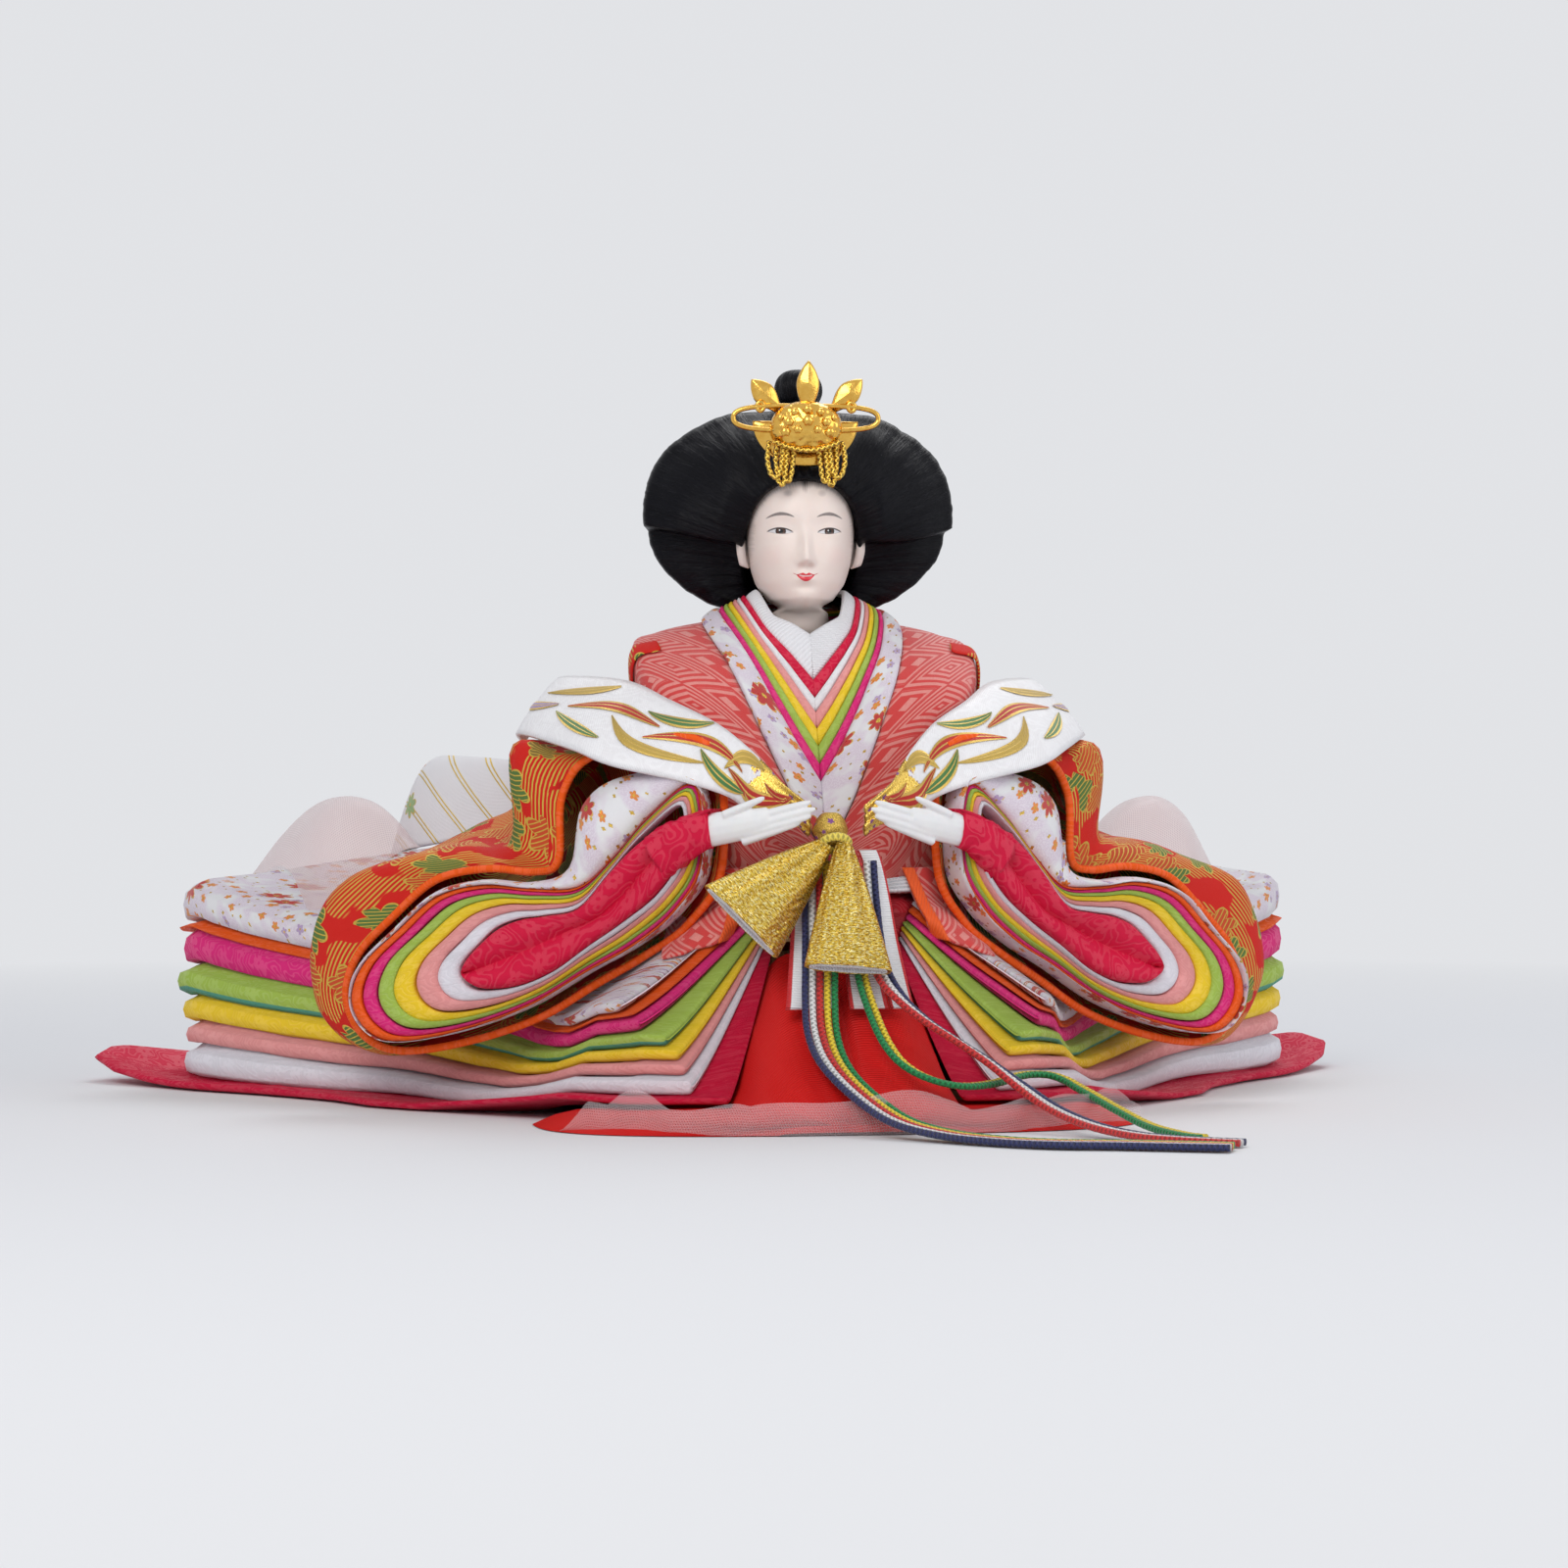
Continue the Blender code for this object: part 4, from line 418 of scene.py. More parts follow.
def pearl_brocade(name="pearl_brocade", seed=0.0):
    """White and lilac sparkling ground with gold dots, small blossoms and red maple shapes."""
    look = Look(name, PEARL, 0.5, Sheen_Weight=0.2, Sheen_Roughness=0.4)
    u, v = look.uv()
    grain = look.noise((u * 2.1, v * 3.4), 1.0, 1.0)
    sparkle = grain.above(0.52, 0.08)
    cloud = look.noise((u / 7.0 + seed, v / 7.0), 1.0, 2.0).above(0.47, 0.12)
    ground = look.blend(cloud * 0.55, WHITE, (0.66, 0.50, 0.66))
    ground = look.blend(sparkle * cloud * 0.5, ground, (0.88, 0.84, 0.90))
    dots, _, _ = flowers(look, u, v, 3.1, 4, 0.42, 0.45, seed + 3.3)
    small, small_heart, chance = flowers(look, u, v, 5.2, 5, 1.35, 0.30, seed + 1.7)
    maple, maple_heart, _ = flowers(look, u, v, 13.0, 7, 3.3, 0.50, seed)
    ring = flowers(look, u, v, 13.0, 7, 3.75, 0.50, seed)[0]
    coloured = look.blend(chance[0].above(0.55, 0.02), (0.80, 0.27, 0.05), LILAC)
    ground = look.blend(dots, ground, GOLD)
    ground = look.blend(small, ground, coloured)
    ground = look.blend(small_heart * small, ground, GOLD)
    ground = look.blend(ring, ground, (0.72, 0.45, 0.14))
    ground = look.blend(maple, ground, (0.55, 0.035, 0.03))
    ground = look.blend(maple_heart * maple, ground, GOLD)
    look.colour(ground)
    metal = dots.most(ring - maple).most(small_heart * small).most(maple_heart * maple)
    look.metal(metal * 0.85)
    look.rough(0.5 - metal * 0.2 - sparkle * 0.1)
    figures = small.most(ring).most(dots)
    look.bump(figures * 0.8 + grain * 0.7 + weave(u, v, 0.3) * 0.3, 0.00013, 0.9)
    return look.material


def scarlet_brocade(name="scarlet_brocade"):
    """Red ground with groups of gold lines, green leaf patches and gold outlines."""
    look = Look(name, SCARLET, 0.5, Specular_IOR_Level=0.25)
    u, v = look.uv()
    cloud = look.noise((u / 15.0, v / 10.0), 1.0, 1.0)
    lines = abs((v / 0.95).cell()).below(0.20, 0.08)
    gold_cloud = cloud.above(0.48, 0.015)
    leaf, _, chance = flowers(look, u, v, 12.5, 6, 5.6, 0.28, 2.0)
    rim = flowers(look, u, v, 12.5, 6, 6.2, 0.28, 2.0)[0]
    veins = abs((u / 1.3 + v / 1.9).cell()).below(0.13, 0.06)
    ground = look.blend(gold_cloud * lines, SCARLET, GOLD)
    rust = look.blend(chance[0].above(0.6, 0.01), LEAF_GREEN, (0.60, 0.075, 0.02))
    ground = look.blend(rim, ground, GOLD)
    ground = look.blend(leaf, ground, rust)
    ground = look.blend(leaf * veins, ground, GOLD)
    look.colour(ground)
    metal = (gold_cloud * lines * (1.0 - rim)).most(rim - leaf).most(leaf * veins)
    look.metal(metal * 0.9)
    threads = weave(u, v, 0.32)
    glint = look.noise((u * 4.0, v * 1.6), 1.0, 1.0)
    look.rough(0.52 - metal * 0.22 + glint * 0.1)
    look.bump(rim * 0.7 + metal * 0.5 + threads * 0.35 + glint * 0.5, 0.00013, 0.9)
    return look.material


def coral_brocade(name="coral_brocade"):
    """Coral ground with nested pink lozenges between wave lines."""
    look = Look(name, CORAL, 0.55, Sheen_Weight=0.25, Sheen_Roughness=0.4)
    u, v = look.uv()
    lozenge_u = (u / 15.0).cell()
    lozenge_v = ((v - 2.0) / 19.0).cell()
    reach = abs(lozenge_u) + abs(lozenge_v) * 1.15
    petals = abs((u / 5.0).cell()) + abs((v / 4.2).cell())
    filled = petals.below(0.40, 0.03) * reach.below(0.30, 0.02)
    border = abs(reach - 0.36).below(0.035, 0.02)
    waves = abs((reach * 7.5).cell()).below(0.25, 0.08) * reach.above(0.43, 0.02)
    figure = filled.most(border).most(waves)
    specks = look.noise((u * 2.5, v * 2.5), 1.0, 1.0)
    tinted = look.blend(figure * (specks * 0.7 + 0.5), CORAL, CORAL_LIGHT)
    look.colour(tinted)
    look.rough(0.6 - figure * 0.12)
    look.bump(figure * 0.8 + weave(u, v, 0.34) * 0.4 + specks * 0.4, 0.00013, 0.9)
    return look.material


def knot_gold():
    """Gold thread cloth with plum blossoms: fine metal threads, with painted glints as darker and brighter
    patches in the gold's colour.
    """
    look = Look("knot_gold", GOLD, 0.3, 1.0)
    u, v = look.uv()
    threads = weave(u, v, 0.42)
    glint = look.noise((u * 2.6, v * 2.6), 1.0, 2.0, 0.7)
    crease = look.noise((u / 1.8, v / 7.0))
    # Painted glints: the gold's colour swings from dark to bright in patches
    painted_glint_gold = look.blend(glint.above(0.5, 0.25), (0.40, 0.25, 0.035), (0.86, 0.62, 0.16))
    spot, _, _ = flowers(look, u, v, 3.4, 5, 0.8, 0.4)
    look.metal(1.0 - spot)
    look.colour(look.blend(spot, painted_glint_gold, PLUM))
    look.rough(0.26 + glint * 0.22)
    look.bump(threads * 0.4 + glint * 1.2 + crease * 1.6, 0.00014, 0.9)
    return look.material


def band_satin():
    """White satin with a faint diagonal weave that turns to spotted gold at its inner end."""
    look = Look("band_satin", WHITE, 0.42, Sheen_Weight=0.3, Sheen_Roughness=0.35)
    u, v = look.uv()
    along = look.uv("Share")[1]
    fold = look.noise((u / 3.0, v / 9.0), 1.0, 2.0)
    wander = look.noise((u / 2.2, v / 2.2), 1.0, 2.0)
    golden = (wander * 0.16 + 0.20 - along).above(0.0, 0.012)
    spot, _, _ = flowers(look, u, v, 3.4, 5, 0.75, 0.35)
    woven = damask(look, u, v, 6.0)
    white = look.blend(woven * 0.5, (0.82, 0.81, 0.83), (0.88, 0.88, 0.90))
    glint = look.noise((u * 2.6, v * 2.6), 1.0, 2.0, 0.7)
    # Painted glints: the gold end is darker and brighter in patches
    gold = look.blend(glint.above(0.5, 0.25), (0.56, 0.33, 0.035), (0.96, 0.72, 0.20))
    gold = look.blend(spot, gold, PLUM)
    look.colour(look.blend(golden, white, gold))
    look.metal(golden * (1.0 - spot))
    look.rough(0.46 - golden * 0.12 - woven * 0.08)
    diagonal = (u + v).ribs(0.7)
    look.bump(diagonal * 0.25 + glint * golden + fold * 1.2, 0.00012, 0.8)
    return look.material


def ribbed_red():
    """Bright red silk with fine level ribs."""
    look = Look("hakama_silk", SCARLET, 0.5, Specular_IOR_Level=0.22)
    u, v = look.uv()
    ribs = v.ribs(0.72)
    drift = look.noise((u / 14.0, v / 14.0))
    look.colour(look.blend(ribs * 0.16 + drift * 0.5, (0.74, 0.010, 0.008), (0.50, 0.004, 0.006)))
    look.rough(0.5 + ribs * 0.08)
    look.bump(ribs + drift * 1.5, 0.0001, 0.9)
    return look.material


def organza(name, colour, alpha):
    """Sheer silk whose threads show as a fine net."""
    look = Look(name, colour, 0.45, Sheen_Weight=0.4, Sheen_Roughness=0.3)
    u, v = look.uv()
    net = abs((u / 0.6).cell()).below(0.2, 0.1).most(abs((v / 0.6).cell()).below(0.2, 0.1))
    tint = look.noise((u / 10.0, v / 10.0), 1.0, 2.0)
    light = tuple(min(1.0, c + (1.0 - c) * 0.3) for c in colour)
    look.colour(look.blend(tint, colour, light))
    look.put(look.shader.inputs["Alpha"], (net * 0.12 + alpha).clamped())
    look.bump(net + tint, 0.00008, 0.7)
    return look.material


def polished_gold(name="polished_gold"):
    look = Look(name, (0.86, 0.56, 0.14), 0.14, 1.0)
    x, y, z = look.place()
    painted_reflection = look.noise((x, y, z), 0.7, 3.0)
    hammer = look.noise((x, y, z), 2.4, 1.0)
    # Painted reflection: broad darker and brighter patches in the gold's colour stand in for contrasting
    # reflections; the same noise varies the roughness
    look.colour(look.blend(painted_reflection, (0.68, 0.34, 0.045), (0.88, 0.58, 0.14)))
    look.rough(0.10 + painted_reflection * 0.14)
    look.bump(hammer, 0.00006, 0.5)
    return look.material


def braided_cord(name, colour, pitch=1.3, roughness=0.5, metallic=0.0):
    """Braided thread: two sets of slanting strands along a tube, with painted shade in the grooves between
    them.
    """
    look = Look(name, colour, roughness, metallic, Sheen_Weight=0.2, Sheen_Roughness=0.4)
    u, v = look.uv()
    right = (u * (math.tau / pitch) + v * (2.0 * math.tau)).wave()
    left = (u * (math.tau / pitch) - v * (2.0 * math.tau)).wave()
    strands = right.most(left)
    # Painted shade: the grooves between the strands are darker
    dark = tuple(c * 0.45 for c in colour)
    look.colour(look.blend(strands * 0.6 + 0.4, dark, colour))
    look.bump(strands, 0.00015, 0.9)
    return look.material


# Pieces

# Narrower strips than this are trim and not sheets
LEAST_SHEET = 0.010


def link(name, mesh, look, body, replaced=(), slot=None):
    """A finished mesh as a piece that rides on a body."""
    mesh.materials.append(look)
    made = bpy.data.objects.new(name, mesh)
    bpy.context.scene.collection.objects.link(made)
    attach(made, body)
    if replaced:
        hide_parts(*replaced)
        slot = slot or SLOTS[replaced[0]]
    return made


def grid_mesh(name, rows, closed=False, capped=False, sealed=False):
    """Rows of points as a mesh with two maps: Cloth in millimetres and Share from 0 to 1.

    A closed grid joins the ends of its rows, a capped one closes its first and last row, and a
    sealed one joins its last row to its first and closes both sides.
    """
    bm = bmesh.new()
    cloth = bm.loops.layers.uv.new("Cloth")
    share = bm.loops.layers.uv.new("Share")
    count = len(rows[0])
    verts = [[bm.verts.new(point) for point in row] for row in rows]
    across = []
    for row in rows:
        line = [0.0]
        for at in range(count if closed else count - 1):
            line.append(line[-1] + (row[(at + 1) % count] - row[at]).length)
        across.append([place - line[-1] / 2.0 for place in line])
    down = [[0.0] * (count + 1)]
    for low, high in zip(rows, rows[1:]):
        steps = [(high[at % count] - low[at % count]).length for at in range(count + 1)]
        middle = sum(steps) / len(steps)
        down.append([place + (step + middle) / 2.0 for place, step in zip(down[-1], steps)])
    last = len(rows) - 1
    for row in range(last):
        for at in range(count if closed else count - 1):
            after = (at + 1) % count
            face = bm.faces.new((verts[row][at], verts[row][after], verts[row + 1][after],
                                 verts[row + 1][at]))
            face.smooth = True
            places = ((row, at), (row, at + 1), (row + 1, at + 1), (row + 1, at))
            for loop, (down_at, across_at) in zip(face.loops, places):
                loop[cloth].uv = (across[down_at][across_at] * 1000.0, down[down_at][across_at] * 1000.0)
                loop[share].uv = (across_at / (count if closed else count - 1), down_at / last)
    if capped:
        for row in (verts[0][::-1], verts[-1]):
            face = bm.faces.new(row)
            face.smooth = True
    if sealed:
        for at in range(count - 1):
            bm.faces.new((verts[last][at], verts[last][at + 1], verts[0][at + 1], verts[0][at]))
        bm.faces.new([row[0] for row in verts][::-1])
        bm.faces.new([row[-1] for row in verts])
    mesh = bpy.data.meshes.new(name)
    bm.to_mesh(mesh)
    bm.free()
    return mesh


def lay(name, rows, look, body, replaced=(), slot=None, **shape):
    """A grid of points as a piece that rides on a body."""
    return link(name, grid_mesh(name, rows, **shape), look, body, replaced, slot)


def cloth(made, rows, held, rests_on=(), closed=False, fullness=1.0, with_pieces=()):
    """Works out a sheet's flat size from the length along and across the rows that it is made of; the result is
    not kept.
    """
    loops = [row + row[:1] for row in rows] if closed else rows
    area = 0.0
    for low, high in zip(loops, loops[1:]):
        for at in range(len(low) - 1):
            area += (high[at + 1] - low[at]).cross(high[at] - low[at + 1]).length / 2.0
    wide = max(path_length(loop) for loop in loops) * fullness
    area *= fullness
    tall = max(path_length(column) for column in zip(*rows))
    tall = min(max(area / wide, tall), area / wide / 0.35)
    tall > LEAST_SHEET


def thicken(made, thickness, offset=-1.0):
    solid = made.modifiers.new("thickness", "SOLIDIFY")
    solid.thickness = thickness
    solid.offset = offset
    return made


def soften(made, levels=1):
    smooth = made.modifiers.new("smooth", "SUBSURF")
    smooth.levels = levels
    smooth.render_levels = levels
    return made


def tube_rows(points, radius, sides=10, relief=None):
    """Rings round a path; radius may be one number or a function of the share of the way."""
    rows = []
    side = None
    total = len(points)
    for at, point in enumerate(points):
        way = (points[min(at + 1, total - 1)] - points[max(at - 1, 0)]).normalized()
        if side is None:
            side = way.orthogonal().normalized()
        side = (side - way * side.dot(way)).normalized()
        other = way.cross(side)
        share = at / (total - 1)
        size = radius(share) if callable(radius) else radius
        ring = []
        for turn in range(sides):
            angle = math.tau * turn / sides
            grow = 1.0 + (relief(share, angle) if relief else 0.0)
            ring.append(point + (side * math.cos(angle) + other * math.sin(angle)) * size * grow)
        rows.append(ring)
    return rows


def tube_mesh(name, points, radius, sides=10, relief=None):
    """A round tube whose Cloth map runs along it in millimetres and once round it."""
    rows = tube_rows(points, radius, sides, relief)
    mesh = grid_mesh(name, rows, closed=True, capped=True)
    cloth = mesh.uv_layers["Cloth"].data
    share = mesh.uv_layers["Share"].data
    length = path_length(points) * 1000.0
    for at in range(len(cloth)):
        cloth[at].uv = (share[at].uv[1] * length, share[at].uv[0])
    return mesh


# Robe skirts: shares of the waist (x, front or back y), of the hem (x, front or back y) and the
# reach of the lowest robe, from the front edge round to the middle of the back

HEM_TIP_X = 0.148
FRONT_CORNER_Y = 0.0605
TRAIN_BACK_Y = 0.114
WAIST_X = 0.030
WAIST_FRONT_Y = 0.0455
WAIST_BACK_Y = 0.029
WAIST_FRONT_Z = 0.0415
WAIST_BACK_Z = 0.060
WAIST_PITCH = 0.0012
TRAIN_PITCH = 0.0018
FLOOR_LIFT = 0.0004
CORNER_LIFT = 0.0056
TIP_LIFT = 0.0064
CLOTH_GAP = 0.00035
STATION_SHARES = (
    (0.483, -1.000, 0.189, -1.025, 1.00),
    (0.533, -0.990, 0.247, -1.000, 1.03),
    (0.567, -0.978, 0.284, -0.967, 1.08),
    (0.600, -0.956, 0.324, -0.909, 1.12),
    (0.750, -0.813, 0.380, -0.610, 1.28),
    (0.883, -0.593, 0.453, -0.200, 1.72),
    (0.967, -0.308, 0.588, 0.132, 1.46),
    (1.000, 0.000, 0.791, 0.395, 1.14),
    (0.967, 0.380, 1.000, 0.675, 1.03),
    (0.833, 0.655, 0.939, 0.886, 1.24),
    (0.467, 0.930, 0.540, 0.982, 1.10),
    (0.000, 1.000, 0.000, 1.000, 1.08),
)
HALF_ROUND = len(STATION_SHARES) - 1
FRONT_CORNER = 3
WAIST_RISE_SHARES = ((3, 0.0), (5, 0.16), (6, 0.38), (7, 0.62), (8, 0.85), (9, 1.0))
LIFT_SHARES = ((0, 1.0), (4, 0.92), (5, 0.0))
SLOPE_SHARES = ((3, 1.15), (5, 1.0), (7, 0.85))
HEM_PLACES = (3, 4.6, 8, 11)
# Name, starting station, hem thickness at the corner, middle, tip and back, and reach of the hem
ROBES = (
    ("robe_crimson", 0.0, (0.0018, 0.0016, 0.0025, 0.0025), 1.0),
    ("robe_white", 1.0, (0.0042, 0.0034, 0.0080, 0.0060), 1.0),
    ("robe_rose", 1.25, (0.0032, 0.0024, 0.0058, 0.0050), 0.992),
    ("robe_yellow", 1.5, (0.0030, 0.0024, 0.0068, 0.0055), 1.0),
    ("robe_green", 2.0, (0.0032, 0.0026, 0.0074, 0.0055), 1.012),
    ("robe_magenta", 3.0, (0.0034, 0.0032, 0.0095, 0.0070), 1.0),
    ("robe_orange", 3.25, (0.0008, 0.0008, 0.0010, 0.0010), 1.004),
    ("robe_brocade", 3.5, (0.0036, 0.0030, 0.0105, 0.0080), 0.996),
)
# Each robe lies flat from here on, and the lower ones spread out beside the front corner
FLAT_FROM = 0.965
FLAT_STEP = 0.004
SPREAD_SHARES = ((3, 0.0), (4, 0.6), (5, 1.0), (6, 0.8), (7, 0.2), (7.5, 0.0))
HEM_SPREAD = (0.0, 0.30, 0.22, 0.13, 0.04, 0.0, 0.0, 0.0)
ROBE_STEP = 0.25
ROW_SHARES = (0.0, 0.12, 0.24, 0.36, 0.48, 0.60, 0.70, 0.79, 0.86, 0.92, 0.96)
# Shares of the hem's half thickness and of the edge's roundness, from the top round to the underside
EDGE_ROUND = ((0.92, 0.975), (0.62, 0.995), (0.0, 1.0), (-0.62, 0.995), (-0.92, 0.975))


def station_values(place):
    """The station table read smoothly, with a sharp corner kept at the front."""
    low = min(int(place), HALF_ROUND - 1)
    t = place - low
    picks = []
    for offset in (-1, 0, 1, 2):
        at = min(max(low + offset, 0), HALF_ROUND)
        if low < FRONT_CORNER:
            at = min(at, FRONT_CORNER)
        else:
            at = max(at, FRONT_CORNER)
        picks.append(STATION_SHARES[at])
    return [spline(*four, t) for four in zip(*picks)]


def station(place, mirror):
    values = station_values(place)
    waist_y = values[1] * (WAIST_FRONT_Y if values[1] < 0.0 else WAIST_BACK_Y)
    hem_y = values[3] * (FRONT_CORNER_Y if values[3] < 0.0 else TRAIN_BACK_Y)
    waist = Vector((mirror * values[0] * WAIST_X, waist_y, 0.0))
    hem = Vector((mirror * values[2] * HEM_TIP_X, hem_y, 0.0))
    return waist, hem, values[4]


def hem_levels(layer, place):
    """Underside and top of one robe at the hem, above all robes below it."""
    level = FLOOR_LIFT + (CORNER_LIFT - FLOOR_LIFT) * lookup(LIFT_SHARES, place)
    for index, robe in enumerate(ROBES):
        thick = lookup(list(zip(HEM_PLACES, robe[2])), place)
        if index == layer:
            return level, level + thick
        level += thick + CLOTH_GAP
    return level, level


def waist_levels(layer, place):
    rise = lookup(WAIST_RISE_SHARES, place)
    pitch = mix(WAIST_PITCH, TRAIN_PITCH, rise)
    level = mix(WAIST_FRONT_Z, WAIST_BACK_Z, rise) + pitch * layer
    return level, level + pitch - CLOTH_GAP


def hem_ripple(point, share):
    """All robes lie in the same slow waves."""
    wave = noise.noise(Vector((point.x * 26.0, point.y * 26.0, 1.7)))
    return wave * 0.0016 * ease((share - 0.3) / 0.5)


def robe_line(layer, place, mirror, fill):
    """One line of a robe: over its top from the waist, round the hem and back below."""
    waist, hem, reach = station(place, mirror)
    waist_low, waist_high = waist_levels(layer, place)
    hem_low, hem_high = hem_levels(layer, place)
    slope = lookup(SLOPE_SHARES, place)
    out = ROBES[layer][3]
    wander = noise.noise(Vector((place * 0.9, layer * 3.1, mirror))) * 0.006
    far = reach + 0.02 if layer == 0 else out + wander + lookup(SPREAD_SHARES, place) * HEM_SPREAD[layer]
    foot = min(far, FLAT_FROM + FLAT_STEP * layer)

    def at(share, side):
        drop = 1.0 - max(1.0 - share / foot, 0.0) ** slope if share < foot else 1.0
        low = mix(waist_low, hem_low, drop)
        high = mix(waist_high, hem_high, drop)
        if share > 1.0:
            tip = max(0.0, 1.0 - abs(place - (HALF_ROUND - 2)))
            low += tip * TIP_LIFT * min(1.0, (share - 1.0) / 0.2)
            high += tip * TIP_LIFT * min(1.0, (share - 1.0) / 0.2)
        point = waist.lerp(hem, share)
        middle = (low + high) / 2.0
        half = (high - low) / 2.0 * fill
        lift = 0.0 if layer == 0 and share > 1.0 else hem_ripple(point, share)
        return in_row((point.x, point.y, max(middle + half * side + lift, FLOOR_LIFT)))

    line = [at(share * far, 1.0) for share in ROW_SHARES]
    line += [at(share * far, side) for side, share in EDGE_ROUND]
    line += [at(share * far, -1.0) for share in ROW_SHARES[::-1]]
    return line


def robe_places(start):
    """Places round the stack from one front edge to the other, with their side and fullness."""
    half = [(start, 0.12), (start + 0.04, 0.62), (start + 0.12, 0.92)]
    place = start + ROBE_STEP
    while place < HALF_ROUND:
        half.append((place, 1.0))
        place += ROBE_STEP
    left = [(place, -1.0, fill) for place, fill in half]
    right = [(place, 1.0, fill) for place, fill in half[::-1]]
    return left + [(HALF_ROUND, -1.0, 1.0)] + right


def add_robes():
    looks = {
        "robe_crimson": silk("robe_crimson_silk", CRIMSON, 5.0, 0.12),
        "robe_white": silk("robe_white_silk", IVORY, 3.6, 0.1),
        "robe_rose": silk("robe_rose_silk", ROSE, 4.0, 0.16),
        "robe_yellow": silk("robe_yellow_silk", YELLOW, 4.0, 0.14),
        "robe_green": silk("robe_green_silk", GREEN, 4.0, 0.16, edge=(0.525, TEAL)),
        "robe_magenta": silk("robe_magenta_silk", MAGENTA, 4.0, 0.18),
        "robe_orange": silk("robe_orange_silk", ORANGE, 4.0, 0.14),
        "robe_brocade": pearl_brocade("robe_brocade_silk"),
    }
    for layer, (name, start, _, _) in enumerate(ROBES):
        rows = [robe_line(layer, place, mirror, fill) for place, mirror, fill in robe_places(start)]
        turned = [list(line) for line in zip(*rows)]
        mesh = grid_mesh(name + "_cloth", turned, sealed=True)
        made = link(name + "_cloth", mesh, looks[name], "figure", [name])
        below = ROBES[layer - 1][0] + "_cloth" if layer else "hakama_cloth"
        cloth(made, turned[:len(ROW_SHARES) + 3], "draped", [below])


# Jacket and collars: closed loops given by seven points, front to back, on one side

JACKET_HALF = 0.0425
JACKET_FRONT_Y = 0.028
JACKET_BACK_Y = 0.024
COLLAR_TOP_Z = 0.1165
COLLAR_LOW_Z = 0.062
COLLAR_RISE = 0.0014
CLOTH = 0.0008
GARMENT_COUNT = 96
NECKLINE_SHARES = (
    (0.000, -0.46, 1.000), (0.056, -0.45, 1.028), (0.129, -0.41, 1.060), (0.202, -0.27, 1.083),
    (0.240, 0.0, 1.097), (0.176, 0.33, 1.092), (0.000, 0.46, 1.083),
)
COLLAR_EDGE_SHARES = (
    (0.000, -1.25, 0.000), (0.176, -1.18, 0.257), (0.341, -1.02, 0.550), (0.494, -0.75, 0.844),
    (0.576, 0.0, 1.055), (0.400, 0.625, 1.055), (0.000, 0.81, 1.018),
)
RIDGE_SHARES = (
    (0.000, -1.34, -0.064), (0.306, -1.27, 0.183), (0.588, -1.07, 0.550), (0.776, -0.75, 0.807),
    (0.847, 0.0, 1.009), (0.612, 0.75, 1.009), (0.000, 0.96, 0.972),
)
SHOULDER_SHARES = (
    (0.000, -1.41, -0.110), (0.400, -1.29, 0.073), (0.760, -1.02, 0.422), (0.965, -0.64, 0.716),
    (1.000, 0.04, 0.927), (0.800, 0.79, 0.881), (0.000, 1.04, 0.826),
)
HEM_SHARES = (
    (0.000, -1.50, -0.156), (0.480, -1.38, -0.128), (0.760, -0.90, 0.0), (0.870, -0.46, 0.147),
    (0.906, 0.17, 0.294), (0.740, 0.95, 0.349), (0.000, 1.34, 0.367),
)
# Node, colour and the outer edge of each collar as a share of the way from neckline to jacket
COLLARS = (
    ("collar_white", IVORY, 0.215), ("collar_crimson", CRIMSON, 0.300), ("collar_lilac", WHITE, 0.365),
    ("collar_rose", ROSE, 0.440), ("collar_yellow", YELLOW, 0.520), ("collar_green", GREEN, 0.600),
    ("collar_magenta", MAGENTA, 0.680), ("collar_brocade", PEARL, 0.992),
)


# The collars stand up this far round the sides and back of the neck
NAPE_RISE = 0.0054


def garment_loop(shares):
    """A smooth closed loop round the neck or body, from the front middle round by the left."""
    half = []
    for wide, deep, high in shares:
        y = deep * (JACKET_FRONT_Y if deep < 0.0 else JACKET_BACK_Y)
        half.append((wide * JACKET_HALF, y, mix(COLLAR_LOW_Z, COLLAR_TOP_Z, high)))
    one_side = [in_row(point) for point in smooth_path(half, GARMENT_COUNT // 2 + 1)]
    left = [Vector((-p.x, p.y, p.z)) for p in one_side]
    return left + one_side[-2:0:-1]


def blend_loops(first, second, share):
    return [a.lerp(b, share) for a, b in zip(first, second)]


def shifted(loops, distance):
    """Loops moved out along the surface that they span."""
    result = []
    count = len(loops[0])
    for row, loop in enumerate(loops):
        line = []
        for at in range(count):
            along = loop[(at + 1) % count] - loop[at - 1]
            across = loops[min(row + 1, len(loops) - 1)][at] - loops[max(row - 1, 0)][at]
            line.append(loop[at] + along.cross(across).normalized() * distance)
        result.append(line)
    return result


